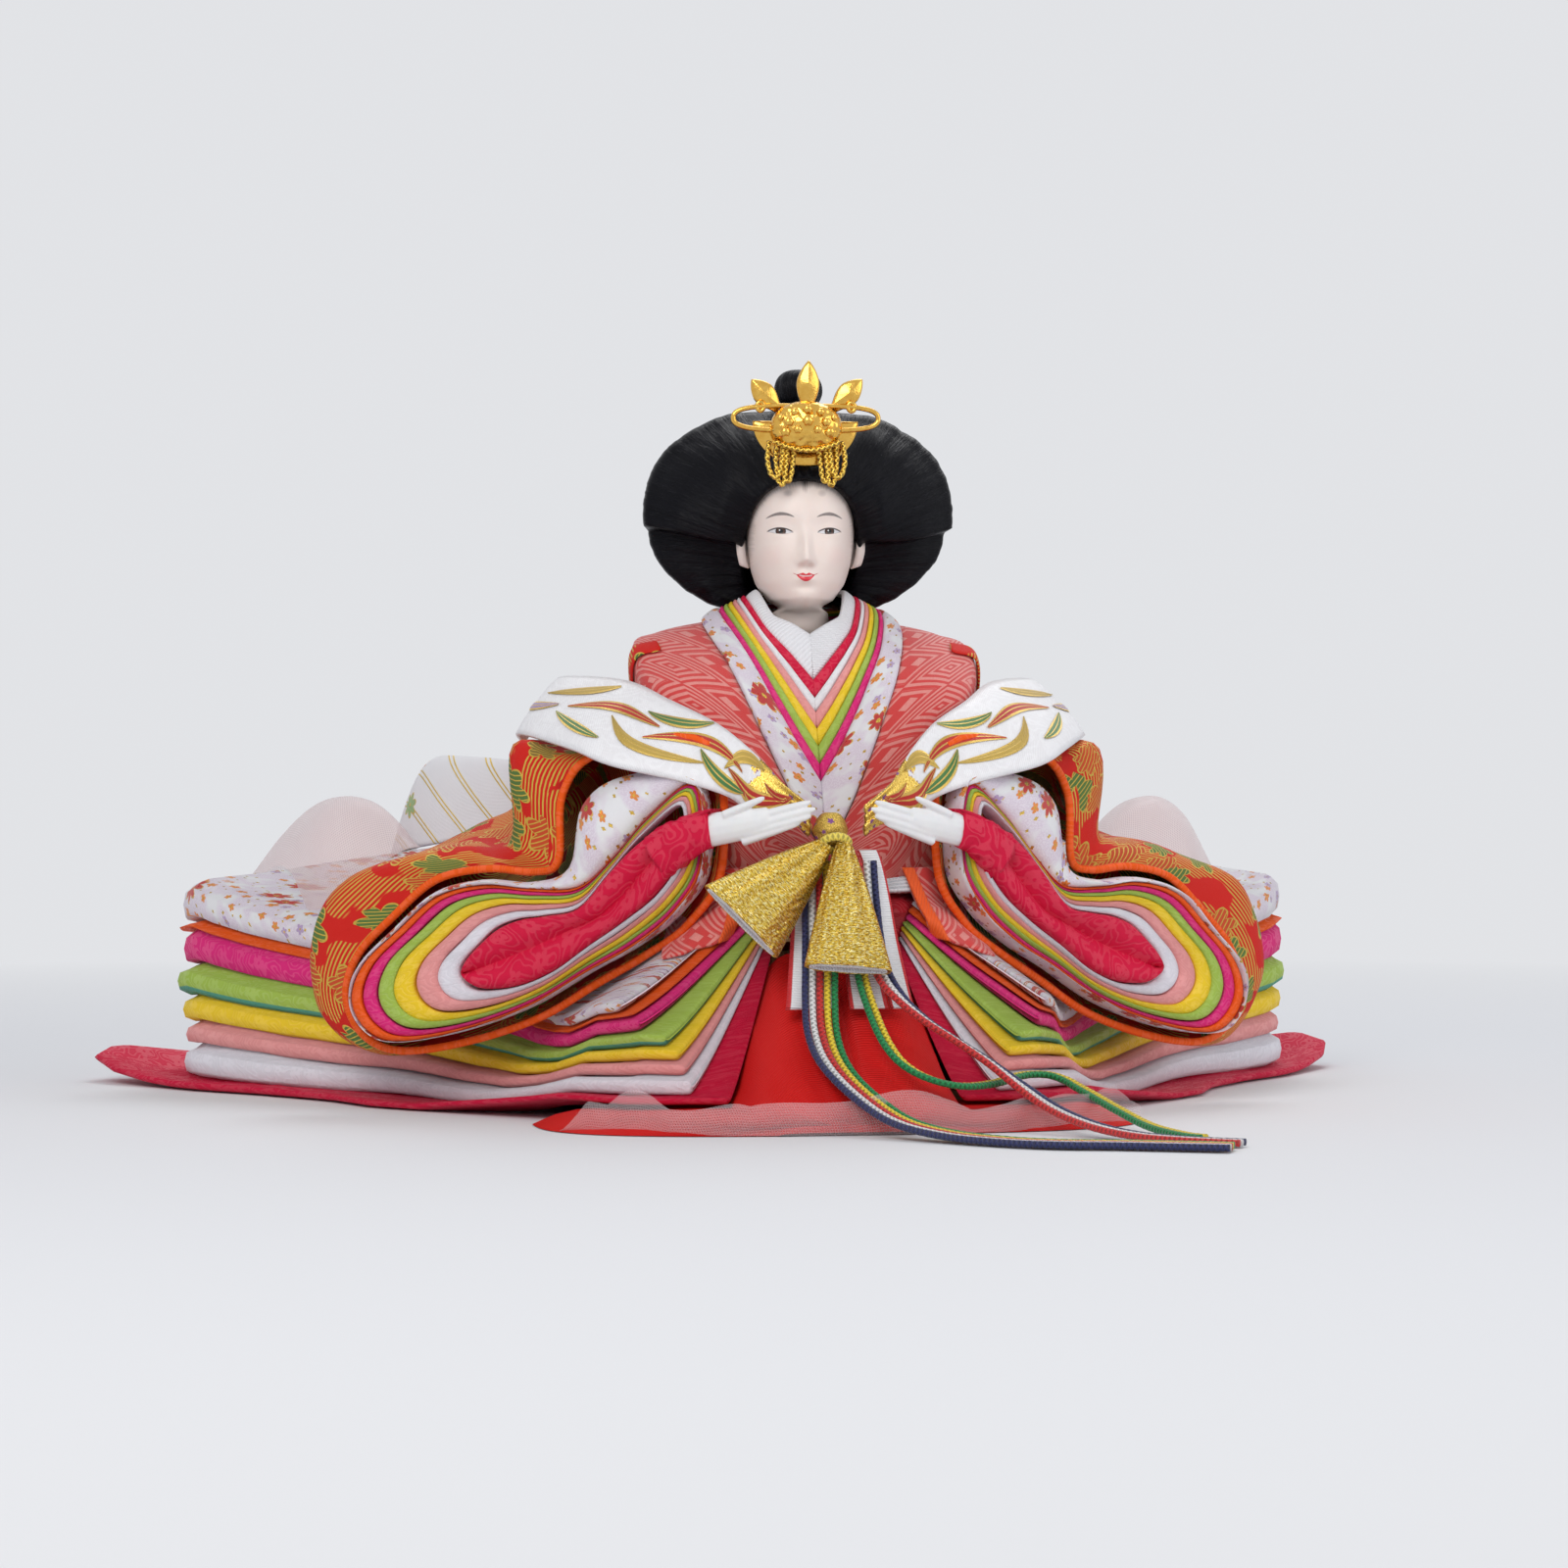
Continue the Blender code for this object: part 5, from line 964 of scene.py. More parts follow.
def add_collars():
    inner = garment_loop(NECKLINE_SHARES)
    outer = garment_loop(COLLAR_EDGE_SHARES)
    for point in inner:
        point.z += NAPE_RISE * ease((point.y - NECK_Y + 0.0100) / 0.0095)
    start = 0.0
    for name, colour, end in COLLARS:
        # The turned edge stands up on the neck's side and slopes down to the next collar
        low = blend_loops(inner, outer, start + 0.002)
        high = blend_loops(inner, outer, end - 0.002)
        tall = 1.25 if name == "collar_brocade" else 1.0
        profile = ((0.0, 0.15), (0.0, 0.7), (0.05, 0.96), (0.14, 1.05), (0.35, 1.04), (0.65, 0.92),
                   (0.9, 0.72), (1.0, 0.5), (1.0, 0.1))
        rows = []
        for across, lift in profile:
            base = blend_loops(low, high, across)
            raised = shifted([low, high], COLLAR_RISE * lift * tall)
            rows.append([p + (q - r) for p, q, r in zip(base, blend_loops(*raised, across), base)])
        if name == "collar_white":
            look = twill("collar_white_twill", (0.82, 0.82, 0.85), 0.9)
        elif name == "collar_brocade":
            look = pearl_brocade("collar_brocade_silk", 4.4)
        else:
            look = silk(name + "_silk", colour, 3.0, 0.14)
        mesh = grid_mesh(name + "_cloth", rows, closed=True)
        made = link(name + "_cloth", mesh, look, "figure", [name])
        cloth(made, rows[2:8], "folded", ["jacket_cloth"], closed=True)
        start = end


# Columns of the jacket that the shoulder trims lie on, and the flaps' corners
TRIM_STEPS = {"left": (-2, -1, 0), "right": (0, 1, 2)}
TRIM_LIFT = 0.0008
FLAP_TOP = (0.0175, 0.0305)
FLAP_LOW = (0.0245, 0.0405)
FLAP_TOP_Z = 0.0600
FLAP_LOW_Z = 0.0435
FLAP_TIP_Z = 0.0385
JACKET_CLEAR = 0.0016
JACKET_HEM_Z = 0.054
# Size of the dark red sheet of painted shade in front of the torso
SHADE_SHEET_HALF = 0.030
SHADE_SHEET_LOW_Z = 0.0400
SHADE_SHEET_TOP_Z = 0.0640


def jacket_hem():
    """The jacket's lower edge, just clear of the robes."""
    robe = surface_of(["robe_brocade"])
    hem = []
    for point in garment_loop(HEM_SHARES):
        top = top_under(robe, point, WAIST_FRONT_Z)
        hem.append(Vector((point.x, point.y, max(top + JACKET_CLEAR, JACKET_HEM_Z))))
    return hem


def add_jacket():
    edge = garment_loop(COLLAR_EDGE_SHARES)
    ridge = garment_loop(RIDGE_SHARES)
    shoulder = garment_loop(SHOULDER_SHARES)
    hem = jacket_hem()
    belly = blend_loops(shoulder, hem, 0.5)
    loops = [blend_loops(edge, ridge, -0.02), ridge, shoulder, belly, hem]
    count = 26
    columns = [smooth_path(column, count) for column in zip(*loops)]
    rows = [list(row) for row in zip(*columns)]
    creased = []
    for at, row in enumerate(rows):
        share = at / (count - 1)
        line = []
        for point in row:
            fold = noise.noise(Vector((point.x * 75.0, point.z * 45.0, point.y * 60.0 + 4.0)))
            away = Vector((point.x, point.y - NECK_Y, 0.0)).normalized()
            line.append(point + away * fold * 0.0012 * hump(share, 0.62, 0.3))
        creased.append(line)
    made = lay("jacket_cloth", creased, coral_brocade(), "figure", ["jacket"], closed=True)
    thicken(made, CLOTH)
    cloth(made, creased, "draped", ["robe_brocade_cloth"], closed=True)
    gilt = scarlet_brocade("jacket_trim_brocade")
    around = len(ridge)
    for word, side in SIDES:
        widest = max(range(around), key=lambda at: side * creased[7][at].x)
        strip = []
        for row in creased[6:16]:
            line = [row[(widest + step) % around] for step in TRIM_STEPS[word]]
            strip.append([point + Vector((side * 0.9, -0.35, 0.3)) * TRIM_LIFT for point in line])
        add_trim("jacket_trim_" + word, strip, gilt)
    add_flaps()


def add_trim(name, rows, look):
    """A narrow strip of cloth laid on the jacket."""
    made = lay(name, rows, look, "figure", slot="jacket_silk")
    thicken(made, CLOTH, 0.0)
    soften(made)


def add_shade_sheet(torso):
    """A dark red sheet over the front of the torso, seen between the sash and the robes: painted shade that
    stands in for the shadow there.
    """
    rows = []
    for at in range(14):
        z = mix(SHADE_SHEET_LOW_Z, SHADE_SHEET_TOP_Z, at / 13)
        line = []
        for column in range(30):
            x = mix(-SHADE_SHEET_HALF, SHADE_SHEET_HALF, column / 29)
            hit = front_hit(torso, x, z)
            while hit is None:
                x *= 0.94
                hit = front_hit(torso, x, z)
            line.append(Vector((x, hit.y - 0.0009, z)))
        rows.append(line)
    # Painted shade: a very dark red silk
    deep = silk("apron_silk", (0.34, 0.004, 0.012), 5.0, 0.14)
    thicken(lay("apron_cloth", rows, deep, "figure", slot="jacket_silk"), 0.0004, 0.0)


def add_flaps():
    """The jacket's two front flaps below the sash, each with its orange lining turned out."""
    trees = surface_of(["jacket", "robe_brocade", "robe_orange", "straw_torso"])
    # A dark sheet of painted shade fills the gap in front of the torso
    add_shade_sheet(trees[3])
    coral = coral_brocade("flap_brocade")
    lining = twill("flap_lining", ORANGE, 0.9)
    for word, side in SIDES:
        grid = []
        for share in (0.0, 0.25, 0.5, 0.75, 1.0):
            line = []
            for across in (0.0, 0.25, 0.5, 0.75, 1.0):
                x = side * mix(mix(FLAP_TOP[0], FLAP_TOP[1], across), mix(FLAP_LOW[0], FLAP_LOW[1], across),
                               share)
                z = mix(FLAP_TOP_Z, mix(FLAP_LOW_Z, FLAP_TIP_Z, across), share)
                hit = [front_hit(tree, x, z) for tree in trees]
                front = min(point.y for point in hit if point is not None)
                line.append(Vector((x, front - 0.0016 - 0.0012 * math.sin(math.pi * across), z)))
            grid.append(line)
        for column in range(5):
            for at in range(1, 5):
                grid[at][column].y = min(grid[at][column].y, grid[at - 1][column].y + 0.0012)
        rows = smooth_sheet(grid, 24, 28)
        made = lay("jacket_flap_" + word, rows, coral, "figure", slot="jacket_silk")
        thicken(made, CLOTH, 0.0)
        cloth(made, rows, "draped")
        turned = [[point + Vector((0.0, -0.0011, 0.0)) for point in row[:7]] for row in rows]
        made = lay("flap_lining_" + word, turned, lining, "figure", slot="jacket_silk")
        thicken(made, CLOTH, 0.0)


def front_hit(tree, x, z):
    """The first point of a surface that is met from the front, or None."""
    return tree.ray_cast(in_row((x, -RAY_START, z)), Vector((0.0, 1.0, 0.0)))[0]


def surface_of(nodes):
    trees = []
    for name in nodes:
        mesh = frame["nodes"][name].data
        polygons = [tuple(face.vertices) for face in mesh.polygons]
        trees.append(BVHTree.FromPolygons([v.co.copy() for v in mesh.vertices], polygons))
    return trees


def top_under(trees, point, floor=0.0):
    """Highest surface straight below a place in plan."""
    best = floor
    for tree in trees:
        hit = tree.ray_cast(Vector((point.x, point.y, RAY_START)), Vector((0.0, 0.0, -1.0)))
        if hit[0] is not None:
            best = max(best, hit[0].z)
    return best


def repaint(node, look):
    """A CAD node whose shape is right gets a finished material."""
    made = frame["nodes"][node]
    made.data.materials.clear()
    made.data.materials.append(look)


# White bands: shares of jacket half width, of jacket front depth, and of the collar's rise

BAND_TOP_SHARES = (
    (0.155, -1.840, 0.235), (0.300, -1.786, 0.330), (0.384, -1.643, 0.415), (0.511, -1.430, 0.523),
    (0.643, -1.215, 0.610), (0.856, -0.930, 0.703), (1.070, -0.500, 0.795), (1.400, 0.071, 0.818),
    (1.370, 0.430, 0.760),
)
BAND_LOW_SHARES = (
    (0.155, -1.800, 0.110), (0.247, -1.780, 0.152), (0.466, -1.690, 0.195), (0.593, -1.620, 0.272),
    (0.852, -1.570, 0.343), (1.235, -1.357, 0.417), (1.438, -1.071, 0.490), (1.673, -0.286, 0.558),
    (1.620, 0.286, 0.520),
)
LEAF_SCALE = 1.4
BAND_PUFF = 0.0012
BAND_THICK = 0.0012
BAND_COLUMNS = 15
BAND_ROWS = 44
# Leaf sprays: place along and across the band, turn in degrees, length and width in metres,
# bend as a share of the length, and colour
LEAVES = (
    (0.245, 0.60, 6, 0.0200, 0.0030, 0.16, "red"), (0.330, 0.30, 24, 0.0120, 0.0024, -0.22, "gold"),
    (0.400, 0.72, -14, 0.0130, 0.0026, 0.20, "green"), (0.470, 0.45, 4, 0.0190, 0.0028, -0.18, "red"),
    (0.560, 0.20, 20, 0.0110, 0.0024, 0.20, "green"), (0.590, 0.66, -10, 0.0170, 0.0022, 0.20, "gold"),
    (0.700, 0.42, 10, 0.0150, 0.0026, -0.16, "red"), (0.760, 0.74, -22, 0.0090, 0.0022, 0.20, "green"),
    (0.800, 0.26, 28, 0.0095, 0.0020, 0.12, "gold"), (0.250, 0.86, -10, 0.0080, 0.0018, 0.14, "gold"),
    (0.165, 0.42, 2, 0.0085, 0.0018, 0.20, "red"), (0.880, 0.54, -4, 0.0080, 0.0024, 0.22, "lilac"),
)


def place_from_shares(shares, side):
    wide, deep, high = shares
    y = deep * (JACKET_FRONT_Y if deep < 0.0 else JACKET_BACK_Y)
    return in_row((side * wide * JACKET_HALF, y, mix(COLLAR_LOW_Z, COLLAR_TOP_Z, high)))


def band_rows(side, trees):
    """The band's outer surface, from the knot to behind the shoulder."""
    top = smooth_path([place_from_shares(row, side) for row in BAND_TOP_SHARES], BAND_ROWS)
    low = smooth_path([place_from_shares(row, side) for row in BAND_LOW_SHARES], BAND_ROWS)
    rows = []
    for at, (start, end) in enumerate(zip(top, low)):
        line = []
        share = at / (BAND_ROWS - 1)
        for column in range(BAND_COLUMNS):
            across = column / (BAND_COLUMNS - 1)
            point = start.lerp(end, across)
            puff = BAND_PUFF * (1.0 - (2.0 * across - 1.0) ** 4) * (0.55 + 0.45 * ease(share * 5.0))
            gather = math.sin(across * math.tau * 3.0) * 0.0007 * ease(1.0 - share / 0.3)
            point = point + Vector((side * 0.35, -0.75, 0.56)) * (puff + gather)
            hit = trees[0].ray_cast(Vector((point.x, -RAY_START, point.z)), Vector((0.0, 1.0, 0.0)))[0]
            if hit is not None and point.y - NECK_Y < 0.0:
                point.y = min(point.y, hit.y - BAND_THICK)
            line.append(point)
        rows.append(line)
    return rows


def on_grid(rows, along, across, lift):
    """A point over a grid of points, at shares along and across it."""
    row = min(max(along, 0.0), 0.9999) * (len(rows) - 1)
    column = min(max(across, 0.0), 0.9999) * (len(rows[0]) - 1)
    r, c = int(row), int(column)
    a, b = rows[r][c], rows[r][c + 1]
    d, e = rows[r + 1][c], rows[r + 1][c + 1]
    point = a.lerp(b, column - c).lerp(d.lerp(e, column - c), row - r)
    normal = (b - a).cross(d - a).normalized()
    return point + normal * lift


def leaf_look(name, colour):
    """A woven leaf: filled with one colour, its vein and outline in gold thread."""
    look = Look(name, colour, 0.42, Sheen_Weight=0.2, Sheen_Roughness=0.4)
    side = abs(look.uv("Share")[0] - 0.5) * 2.0
    rim = side.above(0.62, 0.12)
    vein = side.below(0.10, 0.08)
    gold = rim.most(vein)
    look.colour(look.blend(gold, colour, (0.78, 0.54, 0.14)))
    look.metal(gold * 0.9)
    u, v = look.uv()
    stitches = (u + v * 0.4).ribs(0.35)
    look.rough(0.45 - gold * 0.12)
    look.bump(stitches * 0.5 + gold, 0.00012, 0.9)
    return look.material


def add_bands():
    look = band_satin()
    leaf_looks = {
        "red": leaf_look("leaf_red", (0.56, 0.02, 0.015)), "gold": leaf_look("leaf_gold", (0.60, 0.40, 0.07)),
        "green": leaf_look("leaf_green", (0.07, 0.22, 0.06)),
        "lilac": leaf_look("leaf_lilac", (0.42, 0.30, 0.52)),
    }
    trees = surface_of(["jacket"])
    for word, side in SIDES:
        rows = band_rows(side, trees)
        made = lay("band_cloth_" + word, rows, look, "figure", ["band_" + word])
        outward = Vector((side * 0.35, -0.75, 0.56))
        middle_row, next_row = rows[BAND_ROWS // 2], rows[BAND_ROWS // 2 + 1]
        facing = (middle_row[8] - middle_row[7]).cross(next_row[7] - middle_row[7]).dot(outward)
        facing = math.copysign(1.0, facing)
        thicken(made, BAND_THICK, -facing)
        cloth(made, rows, "stretched", ["jacket_cloth"])
        length = path_length([row[BAND_COLUMNS // 2] for row in rows])
        for at, (along, across, turn, size, wide, bend, colour) in enumerate(LEAVES):
            width = path_length(rows[int(along * (BAND_ROWS - 1))])
            heading = math.radians(turn)
            leaf = []
            for step in range(15):
                share = step / 14
                reach = (share - 0.5) * size * LEAF_SCALE
                sway = bend * size * (4.0 * share * (1.0 - share) - 0.5)
                half = wide * LEAF_SCALE / 2.0 * math.sin(math.pi * min(1.0, share * 0.94 + 0.04)) ** 0.75
                line = []
                for turn_side in (-1.0, -0.6, -0.2, 0.2, 0.6, 1.0):
                    x = reach
                    y = sway + half * turn_side
                    way = (x * math.cos(heading) - y * math.sin(heading)) / length
                    cross = (x * math.sin(heading) + y * math.cos(heading)) / width
                    lift = 0.00026 + 0.00016 * (1.0 - turn_side * turn_side)
                    line.append(on_grid(rows, along + way, across + cross, lift * facing))
                leaf.append(line)
            name = "leaf_{}_{}".format(word, at)
            lay(name, leaf, leaf_looks[colour], "figure", slot="band_satin")


# Sleeves: loops in the mouth's plane, clockwise from the wrist's top, in shares of the mouth's
# width from the wrist and of its height from its lowest lip

MOUTH_X = 0.028
MOUTH_Y = 0.045
MOUTH_TURN = math.radians(23.6)
MOUTH_WIDTH = 0.090
MOUTH_HEIGHT = 0.064
MOUTH_FOOT_Z = 0.0178
LOOP_COUNT = 108
LIP_SHARES = (
    (0.058, 0.972), (0.178, 0.863), (0.289, 0.690), (0.380, 0.587), (0.511, 0.580), (0.644, 0.594),
    (0.777, 0.548), (0.887, 0.417), (0.983, 0.288), (1.017, 0.156), (0.978, 0.047), (0.889, 0.000),
    (0.708, 0.044), (0.516, 0.140), (0.353, 0.272), (0.222, 0.372), (0.111, 0.500), (0.039, 0.680),
)
CORE_SHARES = (
    (0.100, 0.870), (0.200, 0.761), (0.289, 0.620), (0.367, 0.490), (0.444, 0.456), (0.500, 0.433),
    (0.544, 0.402), (0.578, 0.362), (0.600, 0.323), (0.606, 0.292), (0.589, 0.269), (0.556, 0.258),
    (0.489, 0.265), (0.417, 0.312), (0.344, 0.390), (0.244, 0.492), (0.160, 0.592), (0.106, 0.715),
)
PUFF_SHARES = (
    (0.060, 1.005), (0.262, 1.000), (0.375, 0.890), (0.411, 0.660), (0.517, 0.605), (0.650, 0.613),
    (0.783, 0.566), (0.894, 0.433), (0.991, 0.297), (1.022, 0.159), (0.983, 0.045), (0.889, -0.003),
    (0.708, 0.040), (0.516, 0.137), (0.353, 0.269), (0.222, 0.369), (0.106, 0.495), (0.028, 0.680),
)
OUTER_LIP_SHARES = (
    (0.030, 1.130), (0.330, 1.100), (0.436, 0.945), (0.448, 0.690), (0.517, 0.645), (0.650, 0.656),
    (0.798, 0.612), (0.922, 0.468), (1.024, 0.319), (1.058, 0.159), (1.008, 0.012), (0.896, -0.048),
    (0.700, -0.006), (0.500, 0.088), (0.336, 0.222), (0.208, 0.325), (0.080, 0.455), (-0.012, 0.680),
)
BULGE_SHARES = (
    (0.110, 1.120), (0.400, 1.100), (0.594, 1.097), (0.589, 0.784), (0.633, 0.737), (0.733, 0.745),
    (0.889, 0.690), (1.067, 0.597), (1.161, 0.441), (1.178, 0.238), (1.122, 0.081), (0.978, -0.010),
    (0.733, 0.024), (0.511, 0.124), (0.344, 0.257), (0.222, 0.360), (0.105, 0.500), (0.075, 0.780),
)
BACK_SHARES = (
    (0.333, 1.128), (0.467, 1.144), (0.578, 1.066), (0.611, 0.847), (0.667, 0.784), (0.756, 0.769),
    (0.889, 0.722), (1.022, 0.644), (1.089, 0.503), (1.089, 0.378), (1.022, 0.284), (0.867, 0.253),
    (0.711, 0.269), (0.533, 0.316), (0.422, 0.378), (0.356, 0.472), (0.311, 0.628), (0.300, 0.894),
)
TAIL_SHARES = (
    (0.467, 1.034), (0.544, 1.066), (0.622, 1.003), (0.667, 0.909), (0.711, 0.847), (0.778, 0.800),
    (0.856, 0.753), (0.933, 0.691), (0.967, 0.612), (0.956, 0.550), (0.889, 0.503), (0.800, 0.487),
    (0.711, 0.503), (0.633, 0.534), (0.567, 0.581), (0.511, 0.659), (0.467, 0.769), (0.444, 0.909),
)
OUTER_DEPTHS = (0.0046, 0.0095, 0.022, 0.036, 0.043)
# Colour, start and end of each inner sleeve on the way from the lip to the core, and its front
INNER_SLEEVES = (
    ("magenta", MAGENTA, 0.085, 0.185, 0.0000), ("green", GREEN, 0.190, 0.300, 0.0005),
    ("yellow", YELLOW, 0.305, 0.455, 0.0010), ("rose", ROSE, 0.460, 0.610, 0.0015),
    ("white", IVORY, 0.615, 0.775, 0.0020),
)
CUFF_SHARE = 0.80
CUFF_FRONT = 0.0030
WRIST_TOP_SHARES = (-0.004, 0.880)
WRIST_LOW_SHARES = (0.060, 0.735)


def mouth_point(side, along, high, forward=0.0):
    """A point by its way along the mouth, its height and how far it stands in front of it."""
    x = MOUTH_X + along * math.cos(MOUTH_TURN) + forward * math.sin(MOUTH_TURN)
    y = -MOUTH_Y + along * math.sin(MOUTH_TURN) - forward * math.cos(MOUTH_TURN)
    return in_row((side * x, y, high))


def share_loop(shares):
    """A table of a loop's shares read smoothly."""
    points = smooth_path([(along, high, 0.0) for along, high in shares], LOOP_COUNT, closed=True)
    return [(point.x, point.y) for point in points]


def blend_shares(first, second, share):
    return [mix_points(a, b, share) for a, b in zip(first, second)]


def mouth_ring(side, loop, forward):
    """A loop of shares as points; forward is one number or one for each point."""
    ring = []
    for at, (along, high) in enumerate(loop):
        ahead = forward[at] if isinstance(forward, list) else forward
        ring.append(mouth_point(side, along * MOUTH_WIDTH, MOUTH_FOOT_Z + high * MOUTH_HEIGHT, ahead))
    return ring if side > 0.0 else ring[::-1]


def rest_ring(ring, below, gap):
    """A ring lifted clear of the robes that it rests on."""
    return [Vector((p.x, p.y, max(p.z, top_under(below, p) + gap))) for p in ring]


def add_piping(name, ring, radius, look):
    """A round piped edge along a closed loop."""
    closed = ring + ring[:2]
    mesh = tube_mesh(name, closed, radius, 8)
    return link(name, mesh, look, "figure", slot="sleeve_scarlet")


def add_outer_sleeve(word, side, robes, looks):
    """The scarlet brocade sleeve with its piped lip, and the white brocade puff inside it."""
    lip, bulge, back, tail = [share_loop(table) for table in (OUTER_LIP_SHARES, BULGE_SHARES, BACK_SHARES,
                                                              TAIL_SHARES)]
    rings = [mouth_ring(side, loop, -depth) for loop, depth in zip((lip, bulge, back, tail), OUTER_DEPTHS)]
    middle = sum(rings[-1], Vector()) / LOOP_COUNT
    step = mouth_point(side, 0.0, 0.0, OUTER_DEPTHS[3]) - mouth_point(side, 0.0, 0.0, OUTER_DEPTHS[4])
    rings.append([point.lerp(middle, 0.6) + step for point in rings[-1]])
    columns = [smooth_path(column, 30) for column in zip(*rings)]
    rows = []
    for at, row in enumerate(zip(*columns)):
        share = at / 29
        middle = sum(row, Vector()) / LOOP_COUNT
        line = []
        for point in row:
            fold = noise.noise(Vector((point.x * 60.0, point.y * 60.0, point.z * 60.0 + 9.0)))
            swell = fold * 0.0022 * ease(share * 5.0) * ease((1.0 - share) * 3.0)
            line.append(point + (point - middle).normalized() * swell)
        rows.append(rest_ring(line, robes, 0.0009) if at else line)
    inward = [point.lerp(sum(rows[0], Vector()) / LOOP_COUNT, 0.035) for point in rows[0]]
    deep = [point + (rows[2][at] - rows[0][at]) for at, point in enumerate(inward)]
    name = "sleeve_scarlet_cloth_" + word
    mesh = grid_mesh(name, [deep, inward] + rows, closed=True)
    made = link(name, mesh, looks["scarlet"], "figure", ["sleeve_scarlet_" + word])
    cloth(made, [deep, inward] + rows, "draped", ["robe_brocade_cloth"], closed=True)
    add_piping("piping_outer_" + word, [p.lerp(q, 0.5) for p, q in zip(rows[0], inward)], 0.0010,
               looks["orange"])

    puff = share_loop(PUFF_SHARES)
    front = share_loop(LIP_SHARES)
    rows = []
    for share, forward in ((0.06, -0.0055), (0.02, -0.0035), (0.0, -0.0018), (0.25, 0.0006), (0.55, 0.0016),
                           (0.82, 0.0014),
                           (0.97, 0.0004), (1.0, -0.0015), (1.04, -0.0060)):
        loop = blend_shares(puff, front, share)
        crumple = []
        for along, high in loop:
            wave = noise.noise(Vector((along * 9.0, high * 7.0, share * 1.5 + side)))
            crumple.append(forward + wave * 0.0016 * hump(share, 0.5, 0.3))
        rows.append(mouth_ring(side, loop, crumple))
    name = "sleeve_pearl_cloth_" + word
    made = lay(name, rows, looks["pearl"], "figure", ["sleeve_pearl_" + word], closed=True)
    cloth(made, rows, "draped", closed=True)


def add_inner_sleeves(word, side, looks):
    """The nested sleeve edges: an orange lining edge, five silks and the crimson innermost sleeve."""
    lip = share_loop(LIP_SHARES)
    core = share_loop(CORE_SHARES)
    bands = (("orange", ORANGE, 0.005, 0.080, -0.0002),) + INNER_SLEEVES
    for index, (colour, _, start, end, front) in enumerate(bands):
        rows = []
        span = end - start
        for share, forward in ((-0.02, -0.0040), (0.0, 0.0), (0.06, 0.0006), (0.3, 0.0010), (0.7, 0.0013),
                               (0.94, 0.0012),
                               (1.0, 0.0006), (1.02, -0.0050)):
            loop = []
            ahead = []
            for at, (a, b) in enumerate(zip(lip, core)):
                turn = at / LOOP_COUNT * math.tau
                wave = noise.noise(Vector((math.cos(turn) * 1.6, math.sin(turn) * 1.6, index * 0.8 + side)))
                place = start + span * share + wave * 0.022 * min(1.0, start * 8.0)
                loop.append(mix_points(a, b, place))
                ahead.append(front + forward + wave * 0.0007)
            rows.append(mouth_ring(side, loop, ahead))
        name = "sleeve_{}_{}".format(colour, word)
        nodes = ["sleeve_layers_" + word] if index else []
        made = lay(name, rows, looks[colour], "figure", nodes, "sleeve_layers", closed=True)
        cloth(made, rows, "draped", closed=True)
    base = blend_shares(lip, core, CUFF_SHARE)
    flare = []
    for at, (along, high) in enumerate(base):
        near_top = hump(min(at, LOOP_COUNT - at), 0.0, 5.0)
        near_low = hump(at, LOOP_COUNT - 6, 4.0)
        along = mix(along, WRIST_TOP_SHARES[0], near_top)
        high = mix(high, WRIST_TOP_SHARES[1], near_top)
        flare.append((mix(along, WRIST_LOW_SHARES[0], near_low), mix(high, WRIST_LOW_SHARES[1], near_low)))
    axis = [mix_points(flare[at], flare[-at], 0.5) for at in range(LOOP_COUNT)]
    rows = []
    for inward, forward in ((0.0, -0.0050), (0.0, 0.0010), (0.02, 0.0019), (0.10, 0.0028), (0.25, 0.0033),
                            (0.5, 0.0031),
                            (0.75, 0.0026), (0.92, 0.0014), (1.0, 0.0010)):
        loop = []
        ahead = []
        for at, point in enumerate(flare):
            place = mix_points(point, axis[at], inward)
            wave = noise.noise(Vector((place[0] * 7.0, place[1] * 6.0, 5.0 + side)))
            loop.append(place)
            ahead.append(forward + CUFF_FRONT - 0.0012 + wave * 0.0010 * inward)
        rows.append(mouth_ring(side, loop, ahead))
    name = "sleeve_crimson_cloth_" + word
    made = lay(name, rows, looks["crimson"], "figure", ["sleeve_crimson_" + word], closed=True)
    cloth(made, rows, "draped", closed=True)


def add_sleeves():
    looks = {
        "scarlet": scarlet_brocade(), "pearl": pearl_brocade("sleeve_pearl_silk", 7.7),
        "orange": silk("sleeve_orange_silk", ORANGE, 3.0, 0.1),
        "magenta": silk("sleeve_magenta_silk", MAGENTA, 3.0),
        "green": silk("sleeve_green_silk", GREEN, 3.0), "yellow": silk("sleeve_yellow_silk", YELLOW, 3.0),
        "rose": silk("sleeve_rose_silk", ROSE, 3.0), "white": silk("sleeve_white_silk", IVORY, 3.0, 0.1),
        "crimson": silk("sleeve_crimson_silk", CRIMSON, 5.0, 0.14),
    }
    robes = surface_of([name for name, _, _, _ in ROBES])
    for word, side in SIDES:
        add_outer_sleeve(word, side, robes, looks)
        add_inner_sleeves(word, side, looks)


# Hands: a long flat palm with four fingers and a thumb

HAND_LENGTH = 0.0275
HAND_Z = 0.0690
CUFF_ROUTE = ((-0.02, 0.0000, 0.0036), (-0.14, -0.0006, 0.0036), (-0.30, -0.0028, 0.0034),
              (-0.50, -0.0064, 0.0026))
# For each finger: height of its root, share of the hand's length at root and tip, tip height, radius
FINGERS = (
    (0.0026, 0.30, 0.86, 0.0062, 0.00115), (0.0008, 0.30, 0.90, 0.0046, 0.00120),
    (-0.0010, 0.28, 0.86, 0.0029, 0.00115), (-0.0027, 0.26, 0.76, 0.0012, 0.00100),
    (0.0036, 0.10, 0.46, 0.0072, 0.00105),
)


